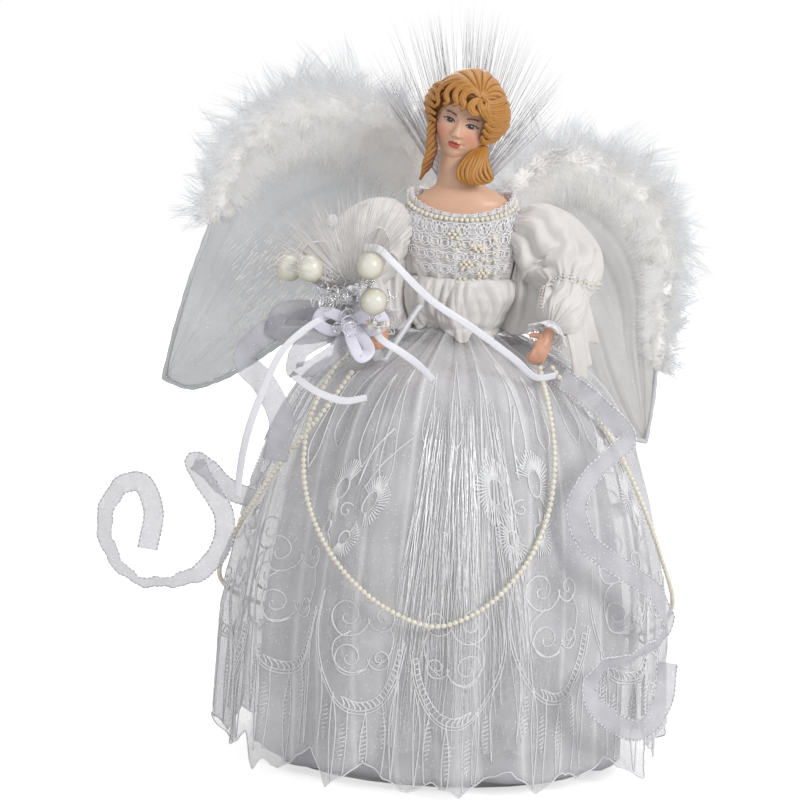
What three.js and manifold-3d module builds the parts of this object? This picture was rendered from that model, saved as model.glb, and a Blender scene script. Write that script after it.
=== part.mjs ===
// Angel tree topper with fibre-optic lights.
// Millimetres, +Z up. The angel faces -Y, and the part stands on its base ring at Z = 0.
// The origin is at the middle of the mouth that goes over the top of the tree.
// Left and right are as seen from the front.
import * as THREE from "three";
import { mergeVertices } from "three/addons/utils/BufferGeometryUtils.js";
import Module from "manifold-3d";

const wasm = await Module();
wasm.setup();

// Gap kept between pieces that touch, the overrun of every cut, and the distance within
// which corners of a solid are one.
const clearance = 0.3;
const overrun = 2;
const weld = 0.001;

// Cone that slides over the top of the tree, with its base ring.
const coneHeight = 232;
const coneFootRadius = 84;
const coneTopRadius = 17;
const coneWall = 1.6;
const ringHeight = 4;
const ringWidth = 6;
const leadNotchWidth = 8;
const leadNotchHeight = 6;

// Tube that grips the leader of the tree, on a flange glued inside the cone.
const treeTubeBore = 14;
const treeTubeWall = 1.6;
const treeTubeLength = 84;
const treeTubeTop = 112;
const treeFlangeThickness = 2.4;

// Lamp unit above the tube.
const housingRadius = 27;
const housingHeight = 44;
const housingWall = 1.8;
const leadBore = 5;
const coverThickness = 2.2;
const coverOverlap = 1.4;
const coverLipHeight = 3;
const motorRadius = 7;
const motorHeight = 12;
const shaftRadius = 1.2;
const shaftRise = 12;
const holderRadius = 5.5;
const holderHeight = 9;
const holderGap = 0.5;
const bulbRadius = 4.4;
const bulbHeight = 9;
const wheelThickness = 1.2;
const wheelWindowRadius = 3.2;
const wheelWindowCount = 4;
const wheelRim = 0.6;
const wheelPlay = 1.2;
// The windows of the wheel pass between the bulb and the ferrule of the fibres.
const wheelWindowSeat = motorRadius + holderGap + holderRadius;
const wheelRadius = wheelWindowSeat + wheelWindowRadius + wheelRim;
const motorOffset = housingRadius - housingWall - wheelPlay - wheelRadius;
const bulbOffset = wheelWindowSeat - motorOffset;
const ferruleRadius = 6.4;
const ferruleHeight = 13;
const ferruleGap = 2;
const ferruleFlangeRadius = 8.4;
const ferruleFlangeThickness = 1.6;
const screwHeadRadius = 2;
const screwHeadHeight = 1.2;
const screwShankRadius = 0.9;
const screwShankLength = 5;
const screwInset = 6;
const screwSeat = housingRadius - screwInset;

// Bundles of fibres that carry the light to the halo and to the bouquet.
const haloBundleRadius = 2.6;
const bouquetBundleRadius = 1.6;
const bundleRise = 20;
const bundleBend = 4;

// Torso, as shares of the chest's sizes at shares of the height from waist to neckline.
const waistRise = 4;
const waistHeight = coneHeight + waistRise;
const torsoHeight = 67;
const bodiceTop = waistHeight + torsoHeight;
const chestHalfWidth = 33;
const chestHalfDepth = 22;
const bodiceWall = 1.5;
const torsoBore = 10;
const torsoShares = [
  { height: 0, width: 0.7, depth: 0.77, forward: 0 },
  { height: 0.21, width: 0.79, depth: 0.86, forward: 0.05 },
  { height: 0.48, width: 0.94, depth: 1, forward: 0.14 },
  { height: 0.7, width: 1, depth: 0.95, forward: 0.09 },
  { height: 0.88, width: 0.97, depth: 0.77, forward: 0 },
  { height: 1, width: 0.85, depth: 0.68, forward: -0.05 },
];
const sashHeight = 8;
const sashThickness = 2.2;

// Head, neck and shoulder plate, one casting.
const headRise = 44;
const headHeight = bodiceTop + headRise;
const headForward = 2;
const faceHalfWidth = 15;
const faceHalfDepth = 17;
const faceHalfHeight = 21;
const jawTaperShare = 0.3;
const faceFlatShare = 0.16;
const faceOpeningShare = 0.34;
const hairlineShare = 0.78;
const hairHalfWidth = 22;
const hairHalfDepth = 21;
const hairHalfHeight = 25;
const hairRise = 3.5;
const hairWaveShare = 0.06;
const hairWaveCount = 11;
const napeTaperShare = 0.28;
const noseLength = 4.6;
const noseWidth = 2.4;
const noseOutShare = 0.8;
const noseDropShare = 0.1;
const noseTilt = THREE.MathUtils.degToRad(-16);
const headLean = THREE.MathUtils.degToRad(13);
const headTurn = THREE.MathUtils.degToRad(10);
const headNod = THREE.MathUtils.degToRad(6);
const neckRadius = 9;
const plateHalfWidth = 25;
const plateHalfDepth = 12;
const plateSink = 4;
const plateFoot = bodiceTop - plateSink;
const plateRise = 8;
const curlRadius = 4.4;
const curlTaperShare = 0.35;
const leftCurlShares = [
  [-0.84, -0.14, -0.12],
  [-1, -0.2, -0.65],
  [-0.95, -0.28, -1.05],
  [-1.12, -0.34, -1.4],
];
const rightCurlShares = [
  [0.85, -0.1, -0.35],
  [0.78, -0.28, -0.8],
  [0.68, -0.42, -1.12],
  [0.78, -0.42, -1.4],
];
const neckPearlRadius = 1.3;
const neckPearlCount = 30;

// Skirts. Shares of the hem radius at shares of the waist height.
const hemRadius = 119;
const skirtWall = 1.2;
const skirtShares = [
  [0, 1],
  [0.2, 0.985],
  [0.34, 0.975],
  [0.5, 0.925],
  [0.66, 0.845],
  [0.8, 0.735],
  [0.9, 0.58],
  [0.955, 0.4],
  [1, 0.245],
];
const skirtRowShares = [1, 0.95, 0.87, 0.72, 0.5, 0.25, 0];
const gatherShare = 0.88;
const foldDepthShare = 0.045;
const frontCalmShare = 0.4;
const foldCount = 12;
const tipCount = 16;
const notchDepth = 22;
const tipLift = 0.8;
const liningShare = 0.84;
const liningTopShare = 0.96;
const liningHem = 12;
const liningWall = 1;
const panelShare = 0.9;
const panelTopShare = 0.84;
const panelSeatShare = 0.965;
const panelSpread = THREE.MathUtils.degToRad(33);
const panelHem = 22;

// Arms. Places are shares of the arm's reach from the shoulder.
const shoulderHalfWidth = 28;
const shoulderDrop = 14;
const shoulderHeight = bodiceTop - shoulderDrop;
const armReach = 60;
const armShares = {
  left: [
    [0, 0, 0],
    [-0.28, -0.1, -0.08],
    [-0.47, -0.3, -0.33],
    [-0.43, -0.58, -0.58],
    [-0.27, -0.83, -0.75],
  ],
  right: [
    [0, 0, 0],
    [0.3, -0.05, -0.05],
    [0.5, -0.17, -0.27],
    [0.52, -0.4, -0.53],
    [0.37, -0.65, -0.8],
  ],
};
const armRadius = 4;
const sleeveRadius = 20;
const sleeveShares = [
  [0, 0.55],
  [0.18, 0.92],
  [0.5, 1],
  [0.78, 0.86],
  [1, 0.5],
];
const sleeveGatherCount = 6;
const sleeveGatherDepth = 1.4;
const cuffFlare = 4.5;
const cuffLength = 7;
const cuffWall = 1;
const frillStartShare = 0.62;
const frillEndShare = 0.94;
const frillOutShare = 0.55;
const frillDownShare = 0.7;
const frillDrop = 26;
const frillFlare = 6;
const frillWall = 1.2;
const frillWaveCount = 3;
const frillWaveDepth = 3.5;

// Hands. Reach is the way the fingers point, fold the way they close.
const handShares = {
  left: { reach: [0.2, -0.8, -0.5], fold: [-0.91, 0, -0.37] },
  right: { reach: [-0.35, -0.4, -0.85], fold: [-0.7, 0.6, 0] },
};
const palmHalfWidth = 5;
const palmHalfDepth = 3;
const palmHalfLength = 6.4;
const fingerRadius = 1.45;
const fingerLength = 8;
const fingerShares = [-0.72, -0.24, 0.24, 0.72];
const wristRadius = 3.2;

// Wings. Edges are shares of the reach outwards and of the rise or fall from the hinge.
const hingeOffset = 12;
const hingeBack = 43;
const hingeDrop = 13;
const hingeHeight = bodiceTop - hingeDrop;
const wireRadius = 0.9;
const wirePinRadius = 1.2;
const socketRadius = 3.2;
const socketHeight = 17;
const socketDrop = 6;
const pinTail = 3;
const plateWidth = 30;
const plateTall = 26;
const plateThick = 2.4;
const wingReach = 152;
const wingRise = 57;
const wingFall = 104;
const leadingShares = [
  [0.055, 0.42],
  [0.14, 0.78],
  [0.3, 0.97],
  [0.45, 1],
  [0.62, 0.83],
  [0.74, 0.5],
  [0.81, 0.05],
  [0.86, -0.19],
  [0.91, -0.41],
  [0.96, -0.68],
  [1, -0.96],
];
const trailingShares = [
  [0.06, -0.06],
  [0.11, -0.22],
  [0.2, -0.38],
  [0.31, -0.49],
  [0.42, -0.58],
  [0.54, -0.7],
  [0.66, -0.83],
  [0.78, -0.94],
  [0.9, -1],
];
const wingPose = {
  left: { side: -1, droop: 0, sweep: 12, fallShare: 1, boaEndShare: 0.68 },
  right: { side: 1, droop: 26, sweep: 25, fallShare: 0.66, boaEndShare: 0.84 },
};
const wireStepCount = 14;
const panelStartShare = 0.16;
const panelEndShare = 0.96;
const panelWall = 0.9;
const panelFoldDepth = 3.2;
const panelFoldCount = 2;
const boaRadius = 16;
const boaStartShare = 0.16;
const boaTipShare = 0.5;
const boaLumpCount = 6;
const boaLumpDepth = 1.2;
const boaStepCount = 25;

// Halo behind the head.
const haloBack = 25;
const haloSeatRise = 9;
const haloRootRadius = 12;
const haloSpread = THREE.MathUtils.degToRad(82);
const haloStrandCount = 19;
const haloRowCount = 5;
const haloRowGap = 0.9;
const haloLength = 96;
const haloLengthShares = [0.78, 0.9, 0.94, 0.97, 1, 1, 0.97, 0.95, 0.88, 0.82, 0.72];
const strandRadius = 0.24;
const ferruleWall = 1.2;

// Bouquet, held in the left hand. Pearls and petals are shares of their own reach.
const bouquetStrandCount = 62;
const bouquetStrandLength = 56;
const bouquetCone = THREE.MathUtils.degToRad(60);
const sprayLeanShares = [-0.3, -0.1, 1];
const stemLength = 40;
const stemLeanShares = [-0.34, -0.42, 0.84];
const gripShare = 0.35;
const stemTopRadius = 8;
const stemFootRadius = 3.4;
const stemRadiusShares = [0, 0, 0.15, 0.5, 1];
const sprayBallRadius = 5;
const pearlRadius = 7.4;
const pickReach = 36;
const pickRadius = 0.5;
const pearlShares = [
  [-0.97, -0.14, 0.38],
  [-0.66, -0.47, 0.42],
  [0.2, -0.56, 0.5],
  [0.28, -0.64, 0],
];
const pearlRimShares = [0.525, 0.621, 0.971, 0.875];
const coilRadius = 3.2;
const coilWire = 0.5;
const coilTurnCount = 4;
const coilLength = 20;
const coilShares = [
  { around: 0.697, toward: [-0.3, -1, 0.1] },
  { around: 0.812, toward: [0.15, -0.85, -0.55] },
];
const petalLength = 34;
const petalWidth = 20;
const petalCup = 5;
const petalShares = [
  [0, 0.14],
  [0.25, 0.72],
  [0.6, 1],
  [0.85, 0.72],
  [1, 0.2],
];
const petalSeatShares = [
  { around: 0.414, toward: [-0.55, 0.05, 0.83] },
  { around: 0.207, toward: [0.25, 0, 0.97] },
];

// Ribbons. Places are shares of the hem radius across and of the waist height upwards,
// and the last number of a row is the ribbon's turn in degrees.
const ribbonWidth = 13;
const ribbonWall = 0.8;
const satinWidth = 4.6;
const satinWall = 0.8;
const bowWidth = 13;
const leftRibbonShares = [
  [-0.88, -0.3, 0.6, 0],
  [-1, -0.27, 0.62, 0],
  [-1.09, -0.25, 0.66, 0],
  [-1.15, -0.29, 0.68, 10],
  [-1.1, -0.35, 0.64, 0],
  [-1.01, -0.36, 0.57, 0],
  [-1.01, -0.34, 0.5, 0],
  [-1.1, -0.3, 0.43, 20],
  [-1.24, -0.27, 0.4, 50],
  [-1.4, -0.24, 0.4, 55],
  [-1.52, -0.21, 0.46, 40],
  [-1.55, -0.19, 0.54, 35],
  [-1.48, -0.2, 0.61, 30],
  [-1.39, -0.22, 0.62, 10],
  [-1.33, -0.24, 0.56, 0],
  [-1.35, -0.25, 0.47, 0],
];
const rightRibbonShares = [
  [0.4, -0.33, 0.93, 20],
  [0.52, -0.48, 0.9, 20],
  [0.64, -0.6, 0.86, 0],
  [0.76, -0.68, 0.8, 20],
  [0.64, -0.78, 0.74, 30],
  [0.55, -0.84, 0.66, 10],
  [0.6, -0.86, 0.58, 10],
  [0.76, -0.82, 0.52, 20],
  [0.92, -0.74, 0.46, 40],
  [0.98, -0.7, 0.38, 60],
  [0.86, -0.8, 0.33, 60],
  [0.68, -0.92, 0.3, 50],
  [0.64, -0.97, 0.25, 40],
  [0.74, -0.93, 0.19, 20],
  [0.88, -0.82, 0.16, 0],
  [0.97, -0.72, 0.21, 0],
  [0.99, -0.68, 0.3, 0],
];
const bowShares = [
  [-0.5, -0.6, 1.04, 10],
  [-0.66, -0.64, 1.03, 10],
  [-0.84, -0.64, 1, 0],
  [-0.93, -0.66, 0.94, 20],
  [-0.84, -0.7, 0.89, 10],
  [-0.76, -0.72, 0.81, 0],
  [-0.78, -0.72, 0.72, 0],
];

// Narrow satin ribbons and strands of pearls hang along these points.
const drapeRoute = [
  [-51, -86, 283.6],
  [-43, -91, 283.6],
  [-35, -94, 277],
  [-15, -87, 258],
  [8, -80, 243],
  [30, -71, 227],
  [42, -64, 217],
  [53, -54, 217],
];
const tailRoute = [
  [-56, -72, 248],
  [-70, -84, 246],
  [-90, -92, 230],
  [-101, -88, 205],
  [-108, -82, 182],
  [-111, -76, 163],
  [-112, -72, 148],
];
const garlandRadius = 1.5;
const garlandFrontRoute = [
  [-46, -66, 232],
  [-58, -68, 226],
  [-70, -66, 206],
  [-77, -66, 184],
  [-77, -76, 158],
  [-68, -92, 134],
  [-52, -106, 114],
  [-30, -117, 99],
  [-6, -121, 92],
  [14, -120, 99],
  [30, -115, 112],
  [44, -105, 131],
  [52, -94, 155],
  [53, -82, 181],
  [49, -70, 204],
  [46, -57, 214],
  [44, -50, 222],
];
const garlandBackRoute = [
  [50, -52, 222],
  [58, -51, 212],
  [76, -49, 195],
  [91, -46, 172],
  [104, -39, 145],
  [116, -25, 115],
  [124, 4, 88],
  [119, 39, 68],
  [102, 74, 56],
  [72, 103, 50],
  [33, 122, 48],
  [-11, 126, 49],
  [-53, 115, 53],
  [-87, 91, 60],
  [-111, 57, 72],
  [-123, 17, 90],
  [-118, -17, 112],
  [-105, -42, 140],
  [-88, -57, 168],
  [-68, -61, 195],
  [-53, -62, 218],
];

const V = (x, y, z) => new THREE.Vector3(x, y, z);
const turn = 2 * Math.PI;
const mix = THREE.MathUtils.lerp;
const clamp = THREE.MathUtils.clamp;
const radians = THREE.MathUtils.degToRad;
const countTo = (count, make) => Array.from({ length: count }, (_, i) => make(i));

// Smooth curve through a table of [place, value] pairs, in rising order of place.
function valueAt(table, place) {
  const last = table.length - 2;
  const found = table.findIndex(([start]) => start > place) - 1;
  const i = found >= 0 ? found : place <= table[0][0] ? 0 : last;
  const slope = (a, b) => (table[b][1] - table[a][1]) / (table[b][0] - table[a][0]);
  const span = table[i + 1][0] - table[i][0];
  const t = clamp((place - table[i][0]) / span, 0, 1);
  const here = slope(i, i + 1);
  const slopeIn = i > 0 ? (slope(i - 1, i) + here) / 2 : here;
  const slopeOut = i < last ? (slope(i + 1, i + 2) + here) / 2 : here;
  const ease = t * t * (3 - 2 * t);
  const bend = t * (1 - t) * ((1 - t) * slopeIn - t * slopeOut);
  return mix(table[i][1], table[i + 1][1], ease) + span * bend;
}

// A steady spread of numbers from 0 to 1, the same in every build.
const scatter = (i, salt) => {
  const s = Math.sin(i * 12.9898 + salt * 78.233) * 43758.5453;
  return s - Math.floor(s);
};

// Solids, and the geometry that shows them.
function merged(geometry) {
  const bare = geometry.clone();
  bare.deleteAttribute("normal");
  bare.deleteAttribute("uv");
  return mergeVertices(bare, weld);
}

function solidOf(geometry) {
  const shared = merged(geometry);
  return new wasm.Manifold(
    new wasm.Mesh({
      numProp: 3,
      vertProperties: new Float32Array(shared.attributes.position.array),
      triVerts: new Uint32Array(shared.index.array),
    }),
  );
}

function geometryOf(solid) {
  const mesh = solid.getMesh();
  const geometry = new THREE.BufferGeometry();
  geometry.setAttribute("position", new THREE.BufferAttribute(new Float32Array(mesh.vertProperties), 3));
  geometry.setIndex(new THREE.BufferAttribute(new Uint32Array(mesh.triVerts), 1));
  geometry.computeVertexNormals();
  return geometry;
}

const join = (first, ...others) =>
  geometryOf(others.reduce((sum, g) => sum.add(solidOf(g)), solidOf(first)));
const cut = (body, ...tools) =>
  geometryOf(tools.reduce((rest, g) => rest.subtract(solidOf(g)), solidOf(body)));

// The largest body of a geometry, measured by the volume that its faces enclose.
function largest(geometry) {
  const place = geometry.attributes.position;
  const index = geometry.index.array;
  const parent = countTo(place.count, (i) => i);
  const root = (i) => {
    while (parent[i] !== i) {
      parent[i] = parent[parent[i]];
      i = parent[i];
    }
    return i;
  };
  for (let t = 0; t < index.length; t += 3) {
    parent[root(index[t + 1])] = root(index[t]);
    parent[root(index[t + 2])] = root(index[t]);
  }
  const corner = (i) => V(place.getX(i), place.getY(i), place.getZ(i));
  const bodies = new Map();
  for (let t = 0; t < index.length; t += 3) {
    const key = root(index[t]);
    const body = bodies.get(key) ?? { volume: 0, faces: [] };
    const [a, b, c] = [index[t], index[t + 1], index[t + 2]];
    body.volume += corner(a).dot(corner(b).cross(corner(c)));
    body.faces.push(a, b, c);
    bodies.set(key, body);
  }
  const best = [...bodies.values()].reduce((most, body) => (body.volume > most.volume ? body : most));
  const kept = geometry.clone();
  kept.setIndex(best.faces);
  return geometryOf(solidOf(kept.toNonIndexed()));
}

// Geometry from points and triangles, turned so that its faces point outwards.
function faced(points, triangles) {
  const volume = triangles.reduce(
    (sum, [a, b, c]) => sum + points[a].dot(V(0, 0, 0).crossVectors(points[b], points[c])),
    0,
  );
  const order = volume < 0 ? triangles.map(([a, b, c]) => [a, c, b]) : triangles;
  const geometry = new THREE.BufferGeometry();
  geometry.setAttribute("position", new THREE.Float32BufferAttribute(points.flatMap((p) => p.toArray()), 3));
  geometry.setIndex(order.flat());
  geometry.computeVertexNormals();
  return geometry;
}

// Skin over rings of equally many points, each end closed by a fan from its middle.
function loft(rings) {
  const around = rings[0].length;
  const points = rings.flat();
  const triangles = [];
  for (let r = 0; r + 1 < rings.length; r++) {
    for (let i = 0; i < around; i++) {
      const next = (i + 1) % around;
      const [low, high] = [r * around, (r + 1) * around];
      triangles.push([low + i, low + next, high + next], [low + i, high + next, high + i]);
    }
  }
  const fan = (ring, start, flip) => {
    points.push(ring.reduce((sum, p) => sum.add(p), V(0, 0, 0)).divideScalar(around));
    for (let i = 0; i < around; i++) {
      const face = [start + i, start + ((i + 1) % around), points.length - 1];
      triangles.push(flip ? face.reverse() : face);
    }
  };
  fan(rings[0], 0, true);
  fan(rings.at(-1), (rings.length - 1) * around, false);
  return faced(points, triangles);
}

// Sheet between two grids of points, wrapped round on itself or with side edges.
function sheet(front, back, wrapped = false) {
  const rows = front.length;
  const columns = front[0].length;
  const points = [...front.flat(), ...back.flat()];
  const at = (side, row, column) => side * rows * columns + row * columns + (column % columns);
  const triangles = [];
  const quad = (a, b, c, d) => triangles.push([a, b, c], [a, c, d]);
  const spans = wrapped ? columns : columns - 1;
  const end = columns - 1;
  for (let r = 0; r + 1 < rows; r++) {
    for (let c = 0; c < spans; c++) {
      quad(at(0, r, c), at(0, r, c + 1), at(0, r + 1, c + 1), at(0, r + 1, c));
      quad(at(1, r, c), at(1, r + 1, c), at(1, r + 1, c + 1), at(1, r, c + 1));
    }
    if (!wrapped) {
      quad(at(0, r, 0), at(0, r + 1, 0), at(1, r + 1, 0), at(1, r, 0));
      quad(at(0, r, end), at(1, r, end), at(1, r + 1, end), at(0, r + 1, end));
    }
  }
  for (let c = 0; c < spans; c++) {
    quad(at(0, 0, c), at(1, 0, c), at(1, 0, c + 1), at(0, 0, c + 1));
    quad(at(0, rows - 1, c), at(0, rows - 1, c + 1), at(1, rows - 1, c + 1), at(1, rows - 1, c));
  }
  return faced(points, triangles);
}

const through = (points) => new THREE.CatmullRomCurve3(points, false, "centripetal");

// Rings of a round tube along a curve, with a radius that may change along it.
function tubeRings(curve, steps, sides, radiusAt) {
  const frames = curve.computeFrenetFrames(steps, false);
  return countTo(steps + 1, (i) => {
    const middle = curve.getPointAt(i / steps);
    const radius = radiusAt(i / steps);
    return countTo(sides, (k) => {
      const a = (turn * k) / sides;
      return middle
        .clone()
        .addScaledVector(frames.normals[i], radius * Math.cos(a))
        .addScaledVector(frames.binormals[i], radius * Math.sin(a));
    });
  });
}

const polygon = (radius, sides) =>
  new THREE.Shape(countTo(sides, (k) => {
    const a = (turn * k) / sides;
    return new THREE.Vector2(radius * Math.cos(a), radius * Math.sin(a));
  }));
const tube = (points, radius, sides, steps) =>
  new THREE.ExtrudeGeometry(polygon(radius, sides), { extrudePath: through(points), steps, bevelEnabled: false });
const swelled = (points, sides, steps, radiusAt) => loft(tubeRings(through(points), steps, sides, radiusAt));

const turned = (profile, segments) =>
  new THREE.LatheGeometry(profile.map(([r, z]) => new THREE.Vector2(r, z)), segments).rotateX(Math.PI / 2);
const drum = (radius, bottom, top, sides = 20) =>
  new THREE.CylinderGeometry(radius, radius, top - bottom, sides)
    .rotateX(Math.PI / 2)
    .translate(0, 0, (top + bottom) / 2);
const block = (x0, x1, y0, y1, z0, z1) =>
  new THREE.BoxGeometry(x1 - x0, y1 - y0, z1 - z0).translate((x0 + x1) / 2, (y0 + y1) / 2, (z0 + z1) / 2);
const ball = (radius, around, down) => new THREE.SphereGeometry(radius, around, down);

function reshape(geometry, move) {
  const place = geometry.attributes.position;
  for (let i = 0; i < place.count; i++) {
    place.setXYZ(i, ...move(V(place.getX(i), place.getY(i), place.getZ(i))).toArray());
  }
  return geometry;
}

const finish = (color, roughness, metalness = 0) =>
  new THREE.MeshStandardMaterial({ color, roughness, metalness });
const card = finish("#d9d6cf", 0.9);
const plastic = finish("#e8e6e0", 0.5);
const clear = finish("#e6ecef", 0.15);
const wireSteel = finish("#c9c9cc", 0.35, 0.9);
const satin = finish("#efeef0", 0.4);
const organza = finish("#e4e4ea", 0.5);
const porcelain = finish("#dca58a", 0.45);
const down = finish("#f2f0ee", 0.95);
const pearlCoat = finish("#ece6d4", 0.25);
const silver = finish("#c7c7cc", 0.3, 0.9);

const topper = new THREE.Group();
function add(name, geometry, material, parent = topper) {
  const mesh = new THREE.Mesh(geometry, material);
  mesh.name = name;
  parent.add(mesh);
  return mesh;
}

// Cone, base ring and tree tube.
const coneRadiusAt = (z) => mix(coneFootRadius, coneTopRadius, (z - ringHeight) / (coneHeight - ringHeight));

const leadNotch = (bottom) =>
  block(
    -leadNotchWidth / 2,
    leadNotchWidth / 2,
    coneFootRadius / 2,
    coneFootRadius + ringWidth,
    bottom,
    ringHeight + leadNotchHeight,
  );

const coneBody = () =>
  cut(
    turned(
      [
        [coneFootRadius, ringHeight],
        [coneTopRadius, coneHeight],
        [coneTopRadius - coneWall, coneHeight],
        [coneFootRadius - coneWall, ringHeight],
        [coneFootRadius, ringHeight],
      ],
      28,
    ),
    leadNotch(ringHeight - overrun),
  );

function baseRing() {
  const outer = coneFootRadius + ringWidth / 3;
  const inner = outer - ringWidth;
  const top = ringHeight - clearance;
  const ring = turned([[outer, 0], [outer, top], [inner, top], [inner, 0], [outer, 0]], 28);
  return cut(ring, leadNotch(ringHeight / 2));
}

function treeTube() {
  const outer = treeTubeBore + treeTubeWall;
  const foot = treeTubeTop - treeTubeLength;
  const rim = (coneRadiusAt(treeTubeTop) - coneWall) * Math.cos(Math.PI / 28) - clearance;
  return turned(
    [
      [treeTubeBore, foot],
      [outer, foot],
      [outer, treeTubeTop - treeFlangeThickness],
      [rim, treeTubeTop - treeFlangeThickness],
      [rim, treeTubeTop],
      [treeTubeBore, treeTubeTop],
      [treeTubeBore, foot],
    ],
    28,
  );
}

// Lamp unit.
const housingFoot = treeTubeTop + clearance;
const housingFloor = housingFoot + housingWall;
const housingTop = housingFoot + housingHeight;
const motorTop = housingFloor + clearance + motorHeight;
const shaftTop = motorTop + shaftRise;
const wheelTop = shaftTop - shaftRadius;
const wheelFoot = wheelTop - wheelThickness;
const holderTop = housingFloor + clearance + holderHeight;
const coverFoot = housingTop + clearance;
const coverTop = coverFoot + coverThickness;
const ferruleSeat = coverTop + clearance;
const ferruleTop = ferruleSeat + ferruleHeight;
const bulbSeat = -bulbOffset;

function lampHousing() {
  const inner = housingRadius - housingWall;
  const pot = turned(
    [
      [0, housingFoot],
      [housingRadius, housingFoot],
      [housingRadius, housingTop],
      [inner, housingTop],
      [inner, housingFloor],
      [0, housingFloor],
    ],
    24,
  );
  const inlet = drum(leadBore / 2, -housingWall - overrun, housingWall + overrun, 12)
    .rotateX(Math.PI / 2)
    .translate(0, housingRadius - housingWall / 2, housingFloor + leadBore);
  return cut(pot, inlet);
}

function lampCover() {
  const lip = (housingRadius - housingWall) * Math.cos(Math.PI / 24) - clearance;
  const disc = turned(
    [
      [0, coverFoot],
      [lip - coverOverlap, coverFoot],
      [lip - coverOverlap, coverFoot - coverLipHeight],
      [lip, coverFoot - coverLipHeight],
      [lip, coverFoot],
      [housingRadius, coverFoot],
      [housingRadius, coverTop],
      [0, coverTop],
    ],
    24,
  );
  const hole = (radius, sides) => drum(radius + clearance, coverFoot - overrun, coverTop + overrun, sides);
  const screwHoles = [1, -1].map((side) => hole(screwShankRadius, 8).translate(0, side * screwSeat, 0));
  return cut(disc, hole(ferruleRadius, 16).translate(bulbSeat, 0, 0), ...screwHoles);
}

function coverScrew(side) {
  const seat = coverTop + clearance;
  const profile = [
    [0, seat - screwShankLength],
    [screwShankRadius, seat - screwShankLength],
    [screwShankRadius, seat],
    [screwHeadRadius, seat],
    [screwHeadRadius, seat + screwHeadHeight],
    [0, seat + screwHeadHeight],
  ];
  return turned(profile, 8).translate(0, side * screwSeat, 0);
}

function wheelMotor() {
  const body = drum(motorRadius, housingFloor + clearance, motorTop);
  const well = drum(shaftRadius + clearance, motorTop - motorHeight / 2, motorTop + overrun, 12);
  return cut(body, well).translate(motorOffset, 0, 0);
}

// The shaft and the wheel are drawn about their own axis.
const motorShaft = () => drum(shaftRadius, motorTop - motorHeight / 2 + clearance, shaftTop, 12);
function colourWheel() {
  const disc = drum(wheelRadius, wheelFoot, wheelTop, 28);
  const bore = drum(shaftRadius + clearance, wheelFoot - overrun, wheelTop + overrun, 12);
  const windows = countTo(wheelWindowCount, (i) => {
    const a = (turn * (i + 0.5)) / wheelWindowCount;
    return drum(wheelWindowRadius, wheelFoot + wheelThickness / 2, wheelTop + overrun, 8).translate(
      wheelWindowSeat * Math.cos(a),
      wheelWindowSeat * Math.sin(a),
      0,
    );
  });
  return cut(disc, bore, ...windows);
}

function lampHolder() {
  const body = drum(holderRadius, housingFloor + clearance, holderTop);
  const well = drum(bulbRadius / 2 + clearance, holderTop - holderHeight / 2, holderTop + overrun, 12);
  return cut(body, well).translate(bulbSeat, 0, 0);
}

function bulb() {
  const foot = holderTop - holderHeight / 2 + clearance;
  const profile = [
    [0, foot],
    [bulbRadius / 2, foot],
    [bulbRadius / 2, holderTop + clearance],
    [bulbRadius, holderTop + bulbHeight / 3],
    [bulbRadius, holderTop + (2 * bulbHeight) / 3],
    [bulbRadius / 2, holderTop + bulbHeight],
    [0, holderTop + bulbHeight],
  ];
  return turned(profile, 12).translate(bulbSeat, 0, 0);
}

function fibreFerrule() {
  const foot = wheelTop + ferruleGap;
  const profile = [
    [0, foot],
    [ferruleRadius, foot],
    [ferruleRadius, ferruleSeat],
    [ferruleFlangeRadius, ferruleSeat],
    [ferruleFlangeRadius, ferruleSeat + ferruleFlangeThickness],
    [ferruleRadius, ferruleSeat + ferruleFlangeThickness],
    [ferruleRadius, ferruleTop],
    [0, ferruleTop],
  ];
  return turned(profile, 16).translate(bulbSeat, 0, 0);
}

// Torso.
const torsoTable = (key) =>
  torsoShares.map((row) => [mix(waistHeight, bodiceTop, row.height), row[key]]);
const torsoSize = (z, grow) => ({
  halfWidth: chestHalfWidth * valueAt(torsoTable("width"), z) + grow,
  halfDepth: chestHalfDepth * valueAt(torsoTable("depth"), z) + grow,
  middle: -chestHalfDepth * valueAt(torsoTable("forward"), z),
});
const torsoPoint = (z, angle, grow = 0) => {
  const size = torsoSize(z, grow);
  return V(size.halfWidth * Math.sin(angle), size.middle - size.halfDepth * Math.cos(angle), z);
};
const torsoRing = (z, grow = 0, sides = 20) => countTo(sides, (i) => torsoPoint(z, (turn * i) / sides, grow));
const levels = (low, high, count) => countTo(count + 1, (i) => mix(low, high, i / count));

const bodiceShell = () => {
  const heights = levels(waistHeight + clearance, bodiceTop, 5);
  return sheet(heights.map((z) => torsoRing(z)), heights.map((z) => torsoRing(z, -bodiceWall)), true);
};
const bodiceGrown = () =>
  loft(levels(waistHeight - overrun, bodiceTop + overrun, 5).map((z) => torsoRing(z, clearance)));

// Arms.
const shoulder = (side) => V((side === "left" ? -1 : 1) * shoulderHalfWidth, 0, shoulderHeight);
const armPoints = (side) =>
  armShares[side].map(([x, y, z]) => shoulder(side).add(V(x, y, z).multiplyScalar(armReach)));
const armCurve = (side) => through(armPoints(side));
const wrist = (side) => ({ place: armCurve(side).getPointAt(1), along: armCurve(side).getTangentAt(1) });

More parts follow.
